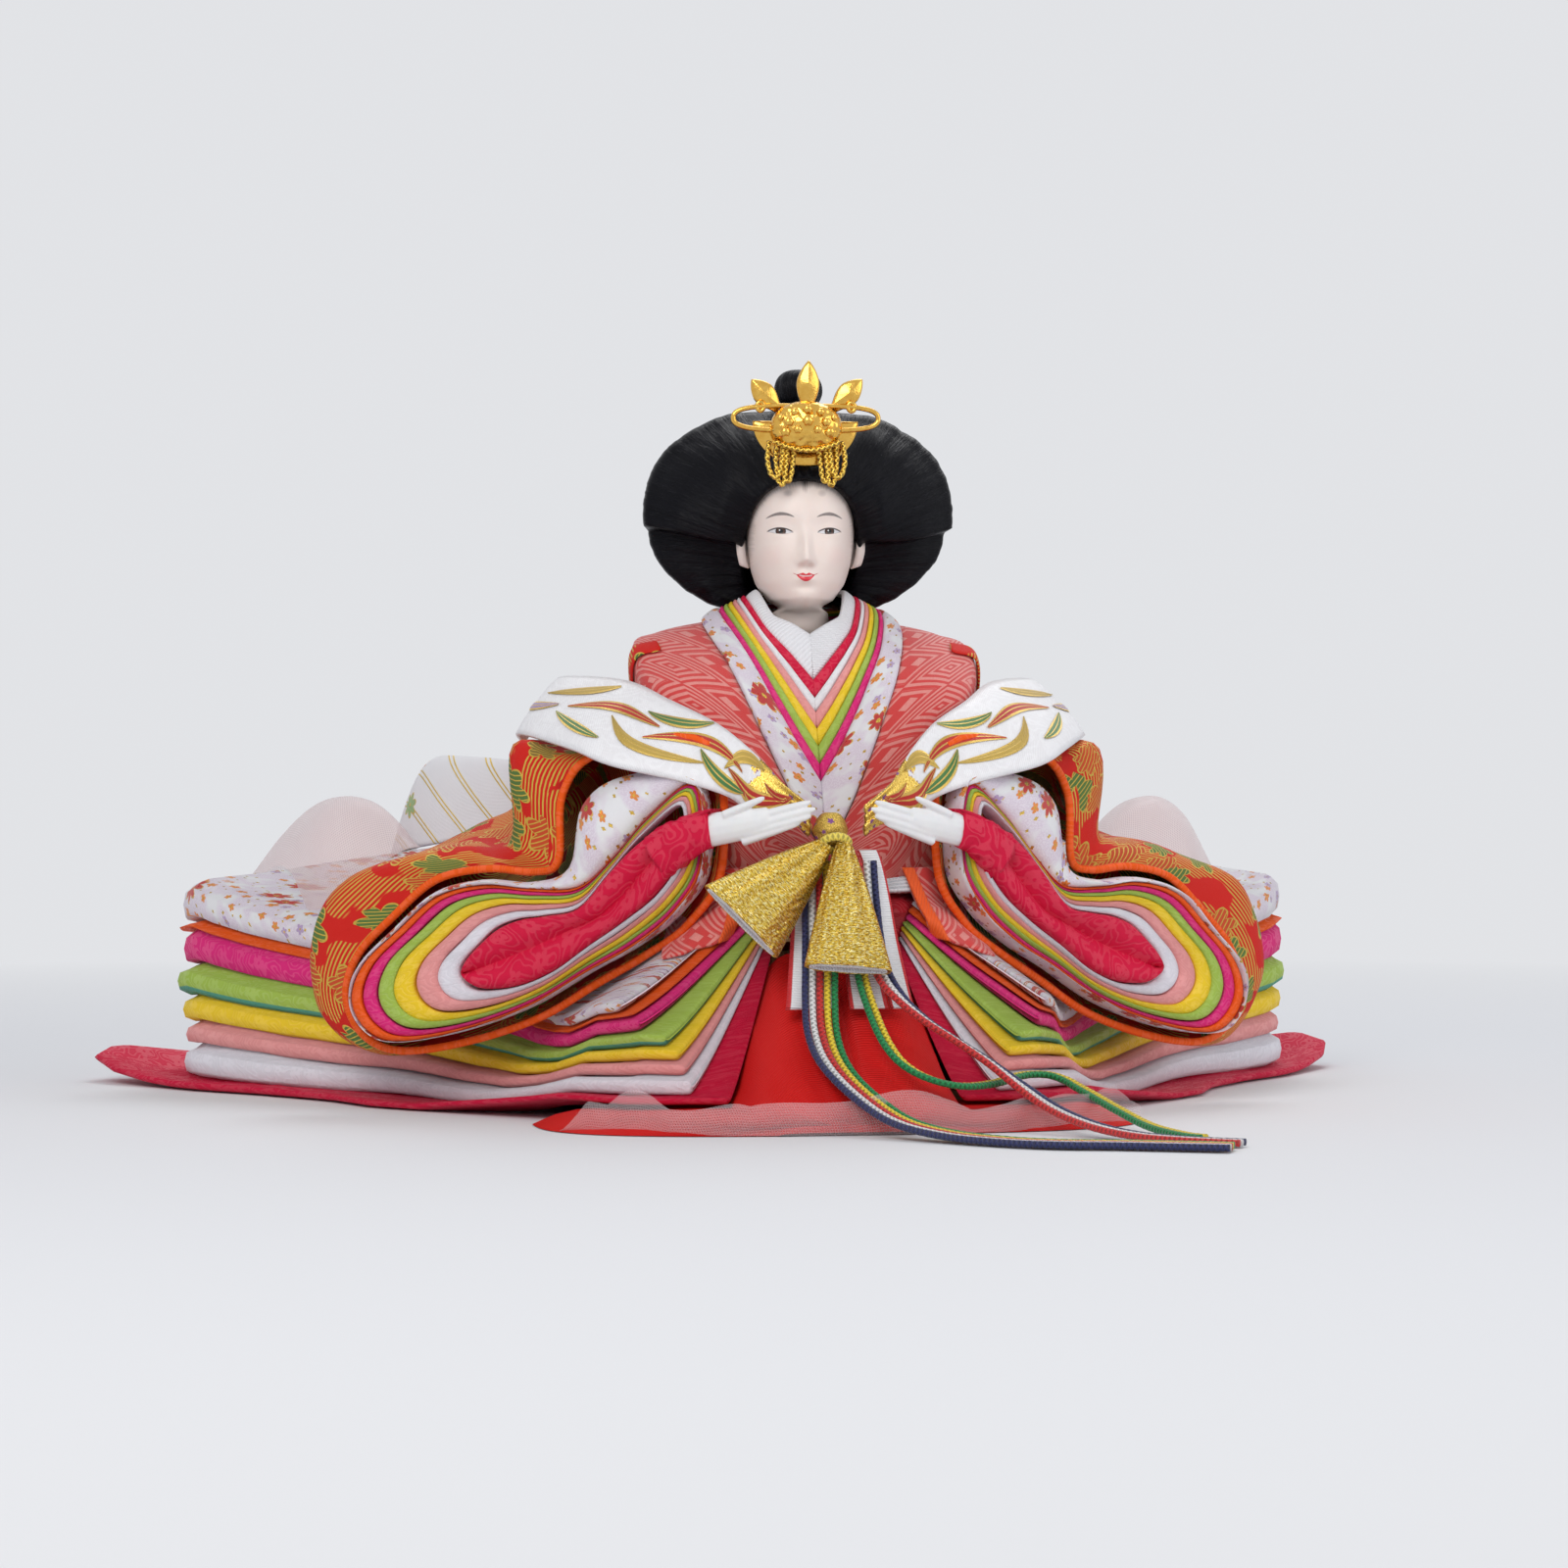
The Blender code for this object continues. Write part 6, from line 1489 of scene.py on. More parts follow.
def add_hands():
    look = Look("powdered_hand", (0.80, 0.79, 0.79), 0.5, Subsurface_Weight=0.1)
    x, y, z = look.place()
    soft = look.noise((x, y, z), 0.5, 2.0)
    look.colour(look.blend(soft, (0.78, 0.77, 0.78), (0.86, 0.84, 0.83)))
    look.bump(look.noise((x, y, z), 6.0, 2.0), 0.00003, 0.4)
    crimson = silk("cuff_silk", CRIMSON, 5.0, 0.14)
    for word, side in SIDES:
        pieces = []
        palm = [mouth_point(side, -share * HAND_LENGTH, HAND_Z + rise, 0.0036)
                for share, rise in ((-0.12, -0.0004), (0.12, 0.0008), (0.34, 0.0018), (0.50, 0.0030))]
        path = even_path(palm, 14)
        rows = tube_rows(path, lambda s: 0.0040 * (1.0 - 0.32 * s ** 3), 14)
        away = (mouth_point(side, 0.0, 0.0, 1.0) - mouth_point(side, 0.0, 0.0, 0.0)).normalized()
        flat = []
        for middle, ring in zip(path, rows):
            flat.append([p - away * (p - middle).dot(away) * 0.52 for p in ring])
        pieces.append(flat)
        for rise, start, end, tip_rise, radius in FINGERS:
            outward = 0.0046 if start < 0.2 else 0.0037
            route = [mouth_point(side, -mix(start, end, t) * HAND_LENGTH,
                                 HAND_Z + mix(rise, tip_rise, t) + 0.0006 * t, outward - 0.0004 * t * t)
                     for t in (0.0, 0.35, 0.7, 1.0)]
            path = even_path(route, 12)
            pieces.append(tube_rows(path, lambda s,
                                    r=radius: r * (1.05 - 0.45 * s ** 2) * (1.0 if s < 0.95 else 0.6), 10))
        bm = bmesh.new()
        for rings in pieces:
            verts = [[bm.verts.new(p) for p in ring] for ring in rings]
            for low, high in zip(verts, verts[1:]):
                for at in range(len(low)):
                    after = (at + 1) % len(low)
                    bm.faces.new((low[at], low[after], high[after], high[at]))
            bm.faces.new(verts[0][::-1])
            bm.faces.new(verts[-1])
        bmesh.ops.recalc_face_normals(bm, faces=bm.faces)
        mesh = bpy.data.meshes.new("hand_" + word + "_powdered")
        bm.to_mesh(mesh)
        bm.free()
        made = link("hand_" + word + "_powdered", mesh, look.material, "figure", ["hand_" + word])
        sleeve = [mouth_point(side, -share * HAND_LENGTH, HAND_Z + rise, ahead) for share, rise,
                  ahead in CUFF_ROUTE]
        path = even_path(sleeve, 20)
        rows = tube_rows(path, lambda s: 0.0043 + 0.0016 * s, 28)
        wrapped = []
        for at, (middle, ring) in enumerate(zip(path, rows)):
            line = []
            for point in ring:
                reach = (point - middle) * (1.0 + 0.16 * noise.noise(point * 420.0))
                line.append(middle + reach - away * reach.dot(away) * 0.46)
            wrapped.append(line)
        cuff = lay("cuff_" + word, wrapped, crimson, "figure", slot="sleeve_crimson", closed=True)
        thicken(cuff, 0.0006, -1.0)
        joined = made.modifiers.new("join", "REMESH")
        joined.mode = "VOXEL"
        joined.voxel_size = 0.00028
        joined.use_smooth_shade = True
        even = made.modifiers.new("even", "SMOOTH")
        even.iterations = 3


# Hakama trousers: a mound in the middle that runs out flat to a round front edge

HAKAMA_HALF = 0.072
HAKAMA_FRONT_Y = 0.087
HAKAMA_WAIST_Z = 0.041
HAKAMA_EDGE_Z = 0.0045
HAKAMA_MOUND = 0.027
MOUND_SHARES = ((0.0, 1.0), (0.157, 0.8), (0.35, 0.62), (0.54, 0.45), (0.735, 0.3), (0.9, 0.16), (1.0, 0.05))
HAKAMA_EDGE_SHARES = ((0.5, 1.0), (0.85, 0.8), (1.0, 0.28))
HAKAMA_COLUMNS = 61
HAKAMA_ROWS = 34


def hakama_height(x, share, half):
    mound = HAKAMA_WAIST_Z * lookup(MOUND_SHARES, share)
    mound *= max(0.0, 1.0 - (abs(x) / HAKAMA_MOUND) ** 4) ** 0.9
    edge = HAKAMA_EDGE_Z * lookup(HAKAMA_EDGE_SHARES, abs(x) / half)
    edge *= lookup(((0.8, 1.0), (1.0, 0.35)), share)
    crease = -0.0016 * hump(x, 0.0, 0.0011) * (1.0 - share ** 3)
    pleats = -0.0010 * (hump(abs(x), 0.0095, 0.0012) + hump(abs(x), 0.018, 0.0012)) * (1.0 - share) ** 0.5
    return max(mound + crease + pleats, edge)


def add_hakama():
    rows = []
    for at in range(HAKAMA_ROWS + 3):
        share = min(1.0, at / HAKAMA_ROWS) * 0.992
        half = HAKAMA_HALF * (1.0 - share ** 3) ** (1.0 / 3.0)
        depth = mix(WAIST_FRONT_Y, HAKAMA_FRONT_Y, share)
        drop = max(0, at - HAKAMA_ROWS) / 3.0
        row = []
        for column in range(HAKAMA_COLUMNS):
            across = 2.0 * column / (HAKAMA_COLUMNS - 1) - 1.0
            x = math.copysign(abs(across) ** 1.15, across) * half
            z = hakama_height(x, share, half)
            edge = ease((1.0 - abs(across)) / 0.05)
            z = max(0.0002, z * edge * (1.0 - drop))
            row.append(in_row((x, -depth - 0.0006 * min(drop * 3.0, 1.0), z)))
        rows.append(row)
    made = lay("hakama_cloth", rows, ribbed_red(), "figure", ["hakama"])
    cloth(made, rows, "laid")


# Bow, knot and hanging straps at the waist: places from the knot in shares of the bow's length

BOW_LENGTH = 0.032
KNOT = (-0.002, -0.052, 0.069)
BOW_LOOPS = (
    ("left", (-0.064, -0.124, -0.102), (-0.719, -0.312, -0.656), (0.266, -0.266)),
    ("right", (0.078, -0.114, -0.096), (0.038, -0.494, -0.994), (0.325, -0.025)),
)
BOW_MOUTH_HALF = 0.0030
BOW_NECK_HALF = 0.0018
BOW_SIDES = 48
STRAP_PATH_SHARES = ((0.0, 0.113), (0.10, 0.133), (0.28, 0.171), (0.56, 0.243), (0.80, 0.330), (1.0, 0.412))
STRAP_SHARES = ((-0.152, 0.181, -0.248, 0.365), (0.044, 0.163, 0.152, 0.268), (0.210, 0.140, 0.385, 0.163))
STRAP_SPREAD = 0.0343
STRAP_TOP_Z = 0.0643
STRAP_BOTTOM_Z = 0.0275
STRAP_THICK = 0.0009
SASH_THICK = 0.001
DRAPE_GAP = 0.0009


def bow_ring(loop, share, inset=0.0):
    """A flattened ring across one loop of the bow, creased from the knot."""
    word, neck_share, mouth_share, spread = loop
    knot = in_row(KNOT)
    neck = Vector(neck_share) * BOW_LENGTH
    mouth = Vector(mouth_share) * BOW_LENGTH
    axis = Vector((spread[0], 0.0, spread[1])) * BOW_LENGTH
    thick_way = (mouth - neck).normalized().cross(axis).normalized()
    middle = knot + neck.lerp(mouth, share)
    grow = share ** 0.86
    wide = axis * mix(BOW_NECK_HALF / axis.length, 1.0, grow)
    deep = thick_way * (mix(BOW_NECK_HALF, BOW_MOUTH_HALF, share ** 0.7) - inset)
    ring = []
    for at in range(BOW_SIDES):
        angle = math.tau * at / BOW_SIDES
        across = math.cos(angle)
        crease = noise.noise(Vector((across * 4.2 + len(word), math.sin(angle) * 0.6, share * 0.7)))
        fold = 1.0 + crease * (0.55 - 0.30 * share)
        flat = math.copysign(abs(math.sin(angle)) ** 0.75, math.sin(angle))
        ring.append(middle + wide * across * (1.0 - inset / wide.length) + deep * flat * fold)
    return ring


def lame():
    """Bright gold lame with fine level threads; its colour holds painted glints and pale painted highlights."""
    look = Look("gold_lame_cloth", GOLD, 0.3, 1.0)
    u, v = look.uv()
    threads = v.ribs(0.42)
    glint = look.noise((u * 0.9, v * 2.8), 1.0, 2.0, 0.7)
    crease = look.noise((u / 2.6, v / 8.0), 1.0, 2.0)
    painted_sparkle = look.noise((u * 1.1, v * 2.4), 1.0, 1.0)
    # Painted glints: the gold's colour swings from dark to bright in patches, and pale specks are painted
    # highlights
    painted_glint_gold = look.blend(glint.above(0.5, 0.2), (0.52, 0.29, 0.02), (0.98, 0.72, 0.12))
    look.colour(look.blend(painted_sparkle.above(0.56, 0.06), painted_glint_gold, (1.0, 0.88, 0.42)))
    look.rough(0.20 + glint * 0.16)
    look.bump(threads * 0.4 + glint * 1.0 + painted_sparkle * 1.1 + crease * 3.6, 0.00022, 1.0)
    return look.material


def add_bow():
    gold = lame()
    lining = twill("bow_lining", (0.82, 0.82, 0.85), 0.7)
    for loop in BOW_LOOPS:
        word = loop[0]
        shares = [at / 25 for at in range(26)]
        rows = [bow_ring(loop, share) for share in shares]
        rows += [bow_ring(loop, 1.008, 0.0003), bow_ring(loop, 1.004, 0.0007), bow_ring(loop, 0.9, 0.0009),
                 bow_ring(loop, 0.5, 0.0008)]
        name = "bow_cloth_" + word
        made = lay(name, rows, gold, "figure", ["bow_" + word], closed=True)
        cloth(made, rows[:26], "gathered", ["bow_knot_cloth"], closed=True)
        inner = [bow_ring(loop, share, 0.0012) for share in (0.55, 0.7, 0.85, 0.96, 1.012)]
        inner += [bow_ring(loop, share, 0.0016) for share in (1.015, 1.0, 0.8, 0.6)]
        name = "bow_lining_" + word
        made = lay(name, inner, lining, "figure", slot="strap_silk", closed=True)
        cloth(made, inner, "gathered", ["bow_cloth_" + word], closed=True)
    # The knot is the gathered ends of the bands: folds run over it towards both sides
    rows = []
    knot = in_row(KNOT)
    for at in range(21):
        share = at / 20
        x = mix(-0.0042, 0.0042, share)
        size = 0.0040 * (1.0 - abs(2.0 * share - 1.0) ** 3) + 0.0003
        ring = []
        for angle in turns(32):
            fold = 1.0 + 0.09 * math.sin(angle * 7.0 + x * 300.0)
            ring.append(knot + Vector((x, math.cos(angle) * size * fold * 0.9,
                                       math.sin(angle) * size * fold)))
        rows.append(ring)
    lay("bow_knot_cloth", rows, knot_gold(), "figure", ["bow_knot"], closed=True, capped=True)
    # A yellow cord ties the necks of both loops
    ring = []
    for at in range(27):
        angle = math.tau * at / 24
        rise = 0.0012 * math.sin(angle)
        x = 0.0004 + 0.0031 * math.cos(angle)
        ring.append(knot + Vector((x, -0.0040 - rise * 1.6, -0.0030 + rise * 1.4)))
    mesh = tube_mesh("bow_ring", ring, 0.0010, 10, lambda s, a: 0.05 * math.sin(a * 2.0 + s * 140.0))
    link("bow_ring", mesh, braided_cord("bow_ring_cord", (0.86, 0.68, 0.10), 1.0), "figure", slot="cord_yellow")


def strap_cloth():
    """White ribbed ribbon with a narrow red border on both sides."""
    look = Look("strap_cloth", WHITE, 0.5, Sheen_Weight=0.2, Sheen_Roughness=0.4)
    across, _ = look.uv("Share")
    u, v = look.uv()
    border = abs(across - 0.5).above(0.41, 0.02)
    ribs = v.ribs(0.6)
    drift = look.noise((u / 3.0, v / 5.0))
    white = look.blend(ribs * 0.3 + drift * 0.4, (0.86, 0.86, 0.88), (0.70, 0.70, 0.75))
    look.colour(look.blend(border, white, (0.60, 0.02, 0.025)))
    look.bump(ribs * 0.7 + drift + border * 0.8, 0.00012, 0.9)
    return look.material


def add_straps():
    look = strap_cloth()
    path = smooth_path([(0.0, -mix(WAIST_FRONT_Y, HAKAMA_FRONT_Y, reach),
                         mix(STRAP_TOP_Z, STRAP_BOTTOM_Z, fall))
                        for fall, reach in STRAP_PATH_SHARES], 34)
    ribbons = []
    broad = []
    for at, (top_x, top_width, low_x, low_width) in enumerate(STRAP_SHARES):
        rows = []
        for place, point in enumerate(path):
            fall = place / 33
            middle = mix(top_x, low_x, fall) * STRAP_SPREAD
            half = mix(top_width, low_width, fall) * STRAP_SPREAD / 2.0
            row = []
            for column in range(9):
                across = column / 4 - 1.0
                ripple = 0.0005 * math.sin(across * 2.2 + at + fall * 3.0)
                row.append(in_row((middle + across * half, point.y - ripple - 0.0002, point.z)))
            rows.append(row)
        name = "strap_cloth_{}".format(at)
        broad = broad or rows
        made = lay(name, rows, look, "figure", ["straps"])
        thicken(made, STRAP_THICK * 0.8, 0.0)
        ribbons.append(made)
    cloth(ribbons[0], broad, "hung", ["hakama_cloth"], with_pieces=ribbons[1:])


# The five-colour cords lie as the solids do

LEFT_ROUTE = (
    (-0.0050, -0.0532, 0.0618), (-0.0054, -0.0562, 0.0500), (-0.0062, -0.0612, 0.0365),
    (-0.0070, -0.0655, 0.0285), (-0.0072, -0.0705, 0.0215), (-0.0056, -0.0775, 0.0152),
    (-0.0010, -0.0860, 0.0092), (0.0056, -0.0965, 0.0040), (0.0140, -0.1075, 0.0018),
    (0.0240, -0.1190, 0.0012), (0.0345, -0.1275, 0.0012), (0.0470, -0.1315, 0.0012),
    (0.0600, -0.1370, 0.0012), (0.0700, -0.1415, 0.0012),
)
RIGHT_ROUTE = (
    (0.0064, -0.0532, 0.0618), (0.0068, -0.0562, 0.0500), (0.0080, -0.0615, 0.0375),
    (0.0107, -0.0680, 0.0310), (0.0168, -0.0720, 0.0250), (0.0245, -0.0745, 0.0198),
    (0.0310, -0.0770, 0.0153), (0.0371, -0.0815, 0.0103), (0.0430, -0.0900, 0.0056),
    (0.0492, -0.1010, 0.0027), (0.0560, -0.1125, 0.0014), (0.0640, -0.1235, 0.0012),
    (0.0750, -0.1325, 0.0012),
)
CURL_ROUTE = (
    (0.0016, -0.0532, 0.0618), (0.0022, -0.0562, 0.0500), (0.0032, -0.0620, 0.0365),
    (0.0045, -0.0690, 0.0277), (0.0067, -0.0760, 0.0201), (0.0105, -0.0805, 0.0150),
    (0.0170, -0.0825, 0.0118), (0.0243, -0.0805, 0.0104), (0.0327, -0.0745, 0.0106),
    (0.0415, -0.0665, 0.0118), (0.0490, -0.0665, 0.0114), (0.0537, -0.0740, 0.0087),
    (0.0590, -0.0880, 0.0048), (0.0630, -0.1000, 0.0022), (0.0670, -0.1130, 0.0013),
    (0.0700, -0.1190, 0.0012),
)
CORD_PITCH = 0.00174
CORD_POINTS = 36
CORD_RADIUS = 0.0008
CORD_COLOURS = {
    "navy": (0.012, 0.018, 0.10), "white": (0.80, 0.80, 0.80), "red": (0.62, 0.02, 0.02),
    "yellow": (0.86, 0.64, 0.03), "green": (0.0, 0.24, 0.06),
}
CORD_BUNDLES = (
    ("left", LEFT_ROUTE, ("navy", "white", "red", "yellow", "green")),
    ("curl", CURL_ROUTE, ("green", "yellow")),
    ("right", RIGHT_ROUTE, ("red", "white", "navy")),
)


def side_route(route, offset):
    """The same route, moved level and square to its own way."""
    moved = []
    across = Vector((1.0, 0.0, 0.0))
    for at, point in enumerate(route):
        way = route[min(at + 1, len(route) - 1)] - route[max(at - 1, 0)]
        level = Vector((-way.y, way.x, 0.0))
        if level.length > 0.35 * way.length:
            across = level.normalized()
        moved.append(point + across * offset)
    return moved


def add_free_cords():
    looks = {name: braided_cord("braid_" + name, colour, 1.25) for name, colour in CORD_COLOURS.items()}
    for word, route, strands in CORD_BUNDLES:
        middle = even_path(route, CORD_POINTS)
        for at, colour in enumerate(strands):
            offset = (at - (len(strands) - 1) / 2.0) * CORD_PITCH
            path = [in_row(point) for point in side_route(middle, offset)]
            fine = even_path(path, 190)
            name = "cord_{}_{}".format(word, colour)
            braid = lambda share, angle: 0.05 * math.sin(share * 420.0) * math.cos(angle * 2.0)
            mesh = tube_mesh(name + "_braid", fine, CORD_RADIUS, 10, braid)
            made = link(name + "_braid", mesh, looks[colour], "figure", [name])
            path_length(fine)


# Sash under the bands, and a sheer frill along the front edge of the trousers

def add_sash():
    """A narrow twilled sash, wound flat over the jacket just above its hem."""
    hem = jacket_hem()
    belly = []
    for point in blend_loops(garment_loop(SHOULDER_SHARES), hem, 0.5):
        away = Vector((point.x, point.y - NECK_Y, 0.0))
        belly.append(point + away.normalized() * CLOTH)
    rows = [blend_loops(hem, belly, mix(0.62, 0.12, at / 12)) for at in range(13)]
    rows = shifted(rows, DRAPE_GAP + SASH_THICK)
    wound = []
    for at, row in enumerate(rows):
        step = 0.0003 * math.sin(at * 1.6)
        wound.append([point + Vector((point.x, point.y - NECK_Y, 0.0)).normalized() * step for point in row])
    made = lay("sash_cloth", wound,
                twill("sash_twill", (0.82, 0.82, 0.85), 1.0),
                "figure", ["waist_sash"], closed=True)
    thicken(made, SASH_THICK)
    cloth(made, wound, "stretched", ["jacket_cloth"], closed=True)


def add_film():
    """Sheer silk tucked along the front edge of the trousers, with a wavy top and a leaf-shaped end."""
    look = organza("film_silk", (0.84, 0.62, 0.64), 0.20)
    rows = []
    for at in range(121):
        share = at / 120
        angle = mix(-2.72, -0.30, share)
        x = HAKAMA_HALF * math.copysign(abs(math.cos(angle)) ** 0.82, math.cos(angle)) * 1.012
        y = -mix(WAIST_FRONT_Y, HAKAMA_FRONT_Y, abs(math.sin(angle)) ** 0.82) - 0.0012
        tall = 0.0062 + 0.0050 * noise.noise(Vector((share * 9.0, 2.0,
                                                     0.0))) + 0.0016 * abs(math.sin(share * 27.0))
        tall *= ease(share * 12.0) * (1.0 - 0.55 * ease((share - 0.93) / 0.07)) + 0.05
        outward = Vector((math.cos(angle), math.sin(angle), 0.0))
        line = []
        for step in range(7):
            rise = step / 6
            puff = 0.0006 * math.sin(rise * math.pi) + 0.0004 * math.sin(share * 90.0) * rise
            line.append(in_row(Vector((x, y, 0.0003 + tall * rise)) + outward * puff))
        rows.append(line)
    made = lay("hakama_film", rows, look, "figure", slot="organza")
    path_length([row[0] for row in rows])


# White train and sheer wings behind

TRAIN_TOP_Z = 0.0855
TRAIN_HALF = 0.096
TRAIN_THICK = 0.0011
TRAIN_ROW_SHARES = ((0.0, 0.82), (0.25, 0.93), (0.55, 1.0), (0.8, 0.93), (1.0, 0.72))
TRAIN_COLUMN_SHARES = (-1.0, -0.9, -0.72, -0.42, 0.0, 0.42, 0.72, 0.9, 1.0)
TRAIN_SPREAD_SHARES = ((0.0, 0.30), (0.3, 0.86), (0.6, 1.0), (1.0, 0.97))
TRAIN_START_Y = 0.0355
TRAIN_END_Y = 0.098
WING_COLUMN_SHARES = (0.0, 0.15, 0.35, 0.6, 0.82, 1.0)
WING_ROW_SHARES = ((-0.62, 0.0), (-0.50, 0.35), (-0.34, 0.80), (-0.15, 0.97), (0.15, 1.0), (0.6, 0.92),
                   (1.0, 0.6), (1.25, 0.0))
WING_INNER_X = 0.090
WING_OUTER_X = 0.124
WING_SPREAD = 0.009
WING_FRONT_Y = 0.064
WING_BACK_Y = 0.092
WING_PEAK_Z = 0.077


def smooth_sheet(grid, rows, columns):
    """A coarse grid of points read as a smooth finer one."""
    lines = [smooth_path(row, columns) for row in grid]
    turned = [smooth_path(column, rows) for column in zip(*lines)]
    return [list(row) for row in zip(*turned)]


def train_silk():
    """White silk of the formal train with pairs of fine gold lines and small pine sprigs."""
    look = Look("train_cloth", IVORY, 0.5, Sheen_Weight=0.15, Sheen_Roughness=0.4)
    u, v = look.uv()
    line = abs((u / 9.0).cell() - 0.06).below(0.022,
                                              0.012).most(abs((u / 9.0).cell() + 0.06).below(0.022, 0.012))
    sprig, heart, chance = flowers(look, u, v, 9.0, 7, 2.5, 0.78, 5.2)
    ring = flowers(look, u, v, 9.0, 7, 2.9, 0.78, 5.2)[0]
    drift = look.noise((u / 16.0, v / 16.0))
    white = look.blend(drift * 0.5, (0.86, 0.85, 0.87), (0.76, 0.75, 0.80))
    tinted = look.blend(chance[0].above(0.5, 0.02), (0.32, 0.46, 0.20), (0.70, 0.14, 0.12))
    ground = look.blend(line, white, GOLD)
    ground = look.blend(ring, ground, GOLD)
    ground = look.blend(sprig * (1.0 - heart), ground, tinted)
    look.colour(ground)
    metal = line.most(ring - sprig * (1.0 - heart))
    look.metal(metal * 0.85)
    look.rough(0.5 - metal * 0.2)
    look.bump(metal * 0.8 + weave(u, v) * 0.4 + drift * 1.5, 0.00012, 0.9)
    return look.material


def add_train():
    trees = surface_of([name for name, _, _, _ in ROBES])
    grid = []
    for share, high in TRAIN_ROW_SHARES:
        y = mix(TRAIN_START_Y, TRAIN_END_Y, share)
        half = TRAIN_HALF * lookup(TRAIN_SPREAD_SHARES, share)
        row = []
        for column in TRAIN_COLUMN_SHARES:
            point = in_row((column * half, y, 0.0))
            rest = top_under(trees, point) + CLOTH + TRAIN_THICK / 2.0
            crest = mix(rest, TRAIN_TOP_Z, high) if abs(column) < 0.95 else rest
            point.z = max(rest, crest)
            row.append(point)
        grid.append(row)
    rows = smooth_sheet(grid, 34, 90)
    for row in rows:
        for column, point in enumerate(row):
            across = column / 89 * 2.0 - 1.0
            inside = (1.0 - across ** 8) * 0.0011
            point.z += inside * noise.noise(Vector((point.x * 95.0, point.y * 30.0, 0.5)))
    made = lay("train_cloth", rows, train_silk(), "figure", ["train_white"])
    thicken(made, TRAIN_THICK, 0.0)
    cloth(made, rows, "gathered", ["robe_brocade_cloth"])
    look = organza("wing_silk", (0.86, 0.66, 0.66), 0.42)
    for word, side in SIDES:
        grid = []
        for share, stand in WING_ROW_SHARES:
            y = mix(WING_FRONT_Y, WING_BACK_Y, share)
            row = []
            for column in WING_COLUMN_SHARES:
                point = in_row((side * mix(WING_INNER_X, WING_OUTER_X + WING_SPREAD * share, column), y, 0.0))
                rest = top_under(trees, point) + DRAPE_GAP
                arch = math.sin(math.pi * column) ** 0.8 * stand if column < 1.0 else 0.0
                point.z = mix(rest, max(WING_PEAK_Z, rest), arch)
                row.append(point)
            grid.append(row)
        rows = smooth_sheet(grid, 40, 36)
        made = lay("wing_cloth_" + word, rows, look, "figure", ["wing_" + word])
        cloth(made, rows, "draped", ["robe_brocade_cloth"])


# Wood and straw inside

def add_hidden_parts():
    wood = Look("planed_wood", (0.42, 0.27, 0.13), 0.6)
    x, y, z = wood.place()
    grain = wood.noise((x * 0.15, y * 1.6, z * 1.6))
    wood.colour(wood.blend(grain, (0.50, 0.34, 0.17), (0.30, 0.17, 0.07)))
    wood.bump(grain, 0.0002, 0.5)
    repaint("base_board", wood.material)
    stick = Look("turned_wood", (0.62, 0.47, 0.28), 0.55)
    x, y, z = stick.place()
    grain = stick.noise((x * 2.0, y * 2.0, z * 0.2))
    stick.colour(stick.blend(grain, (0.66, 0.52, 0.32), (0.46, 0.31, 0.16)))
    stick.bump(grain, 0.0001, 0.5)
    repaint("neck_stick", stick.material)
    straw = Look("bound_straw", (0.62, 0.48, 0.24), 0.75)
    x, y, z = straw.place()
    stalks = straw.noise((x * 2.4, y * 2.4, z * 0.12), 1.0, 2.0)
    straw.colour(straw.blend(stalks.above(0.5, 0.4), (0.44, 0.31, 0.13), (0.72, 0.58, 0.32)))
    straw.bump(stalks, 0.0006, 0.8)
    repaint("straw_torso", straw.material)


# Head: rings from the chin to the crown, in the head's own frame, which is turned at the neck

FACE_HALF = 0.0136
HEAD_HALF_DEPTH = 0.0165
CHIN_Z = 0.1238
FACE_BOTTOM_Z = 0.1160
CROWN_OF_HEAD_Z = 0.163
HEAD_RING_SHARES = (
    (-0.205, 0.53, 0.40, 0.42), (-0.120, 0.52, 0.38, 0.44), (-0.035, 0.52, 0.44, 0.50),
    (0.0, 0.40, 0.76, 0.55), (0.045, 0.60, 0.90, 0.62), (0.150, 0.81, 0.975, 0.72), (0.290, 0.93, 1.0, 0.82),
    (0.430, 0.985, 0.99, 0.90), (0.580, 1.0, 0.98, 0.94), (0.730, 0.93, 0.90, 0.88),
    (0.860, 0.72, 0.70, 0.70),
    (0.950, 0.44, 0.42, 0.42), (1.0, 0.12, 0.12, 0.12),
)
FACE_ROWS = 132
FACE_COLUMNS = 168
EYE_X = 6.0
EYE_Z = 141.9
MOUTH_Z = 130.8
# Bumps and hollows of the face in millimetres: height, distance from the middle and its reach, and
# height over the floor and its reach
FACE_BUMPS = (
    (0.95, 0.0, 1.25, 134.3, 1.25), (0.55, 1.65, 0.8, 133.9, 0.9), (-0.85, 4.6, 3.0, 142.8, 2.3),
    (0.42, EYE_X, 2.5, EYE_Z + 0.9, 1.15), (0.20, EYE_X, 2.3, EYE_Z - 1.25, 0.7),
    (-0.26, EYE_X, 2.6, EYE_Z - 0.15, 0.42), (0.30, 6.3, 3.6, 146.4, 1.8), (0.55, 7.6, 3.2, 136.0, 3.6),
    (0.62, 0.0, 2.4, MOUTH_Z, 1.9), (0.36, 0.75, 0.9, MOUTH_Z + 0.72, 0.5),
    (0.46, 0.0, 1.5, MOUTH_Z - 0.75, 0.55), (-0.40, 0.0, 2.6, 128.2, 0.9), (0.55, 0.0, 3.0, 126.2, 1.5),
    (-0.16, 0.0, 0.5, 132.6, 0.7),
)


def in_head(point):
    """A point of the head's own frame in the row frame."""
    x, y, z = point
    c, s = math.cos(HEAD_TURN), math.sin(HEAD_TURN)
    return in_row((x * c - y * s, x * s + y * c, z))


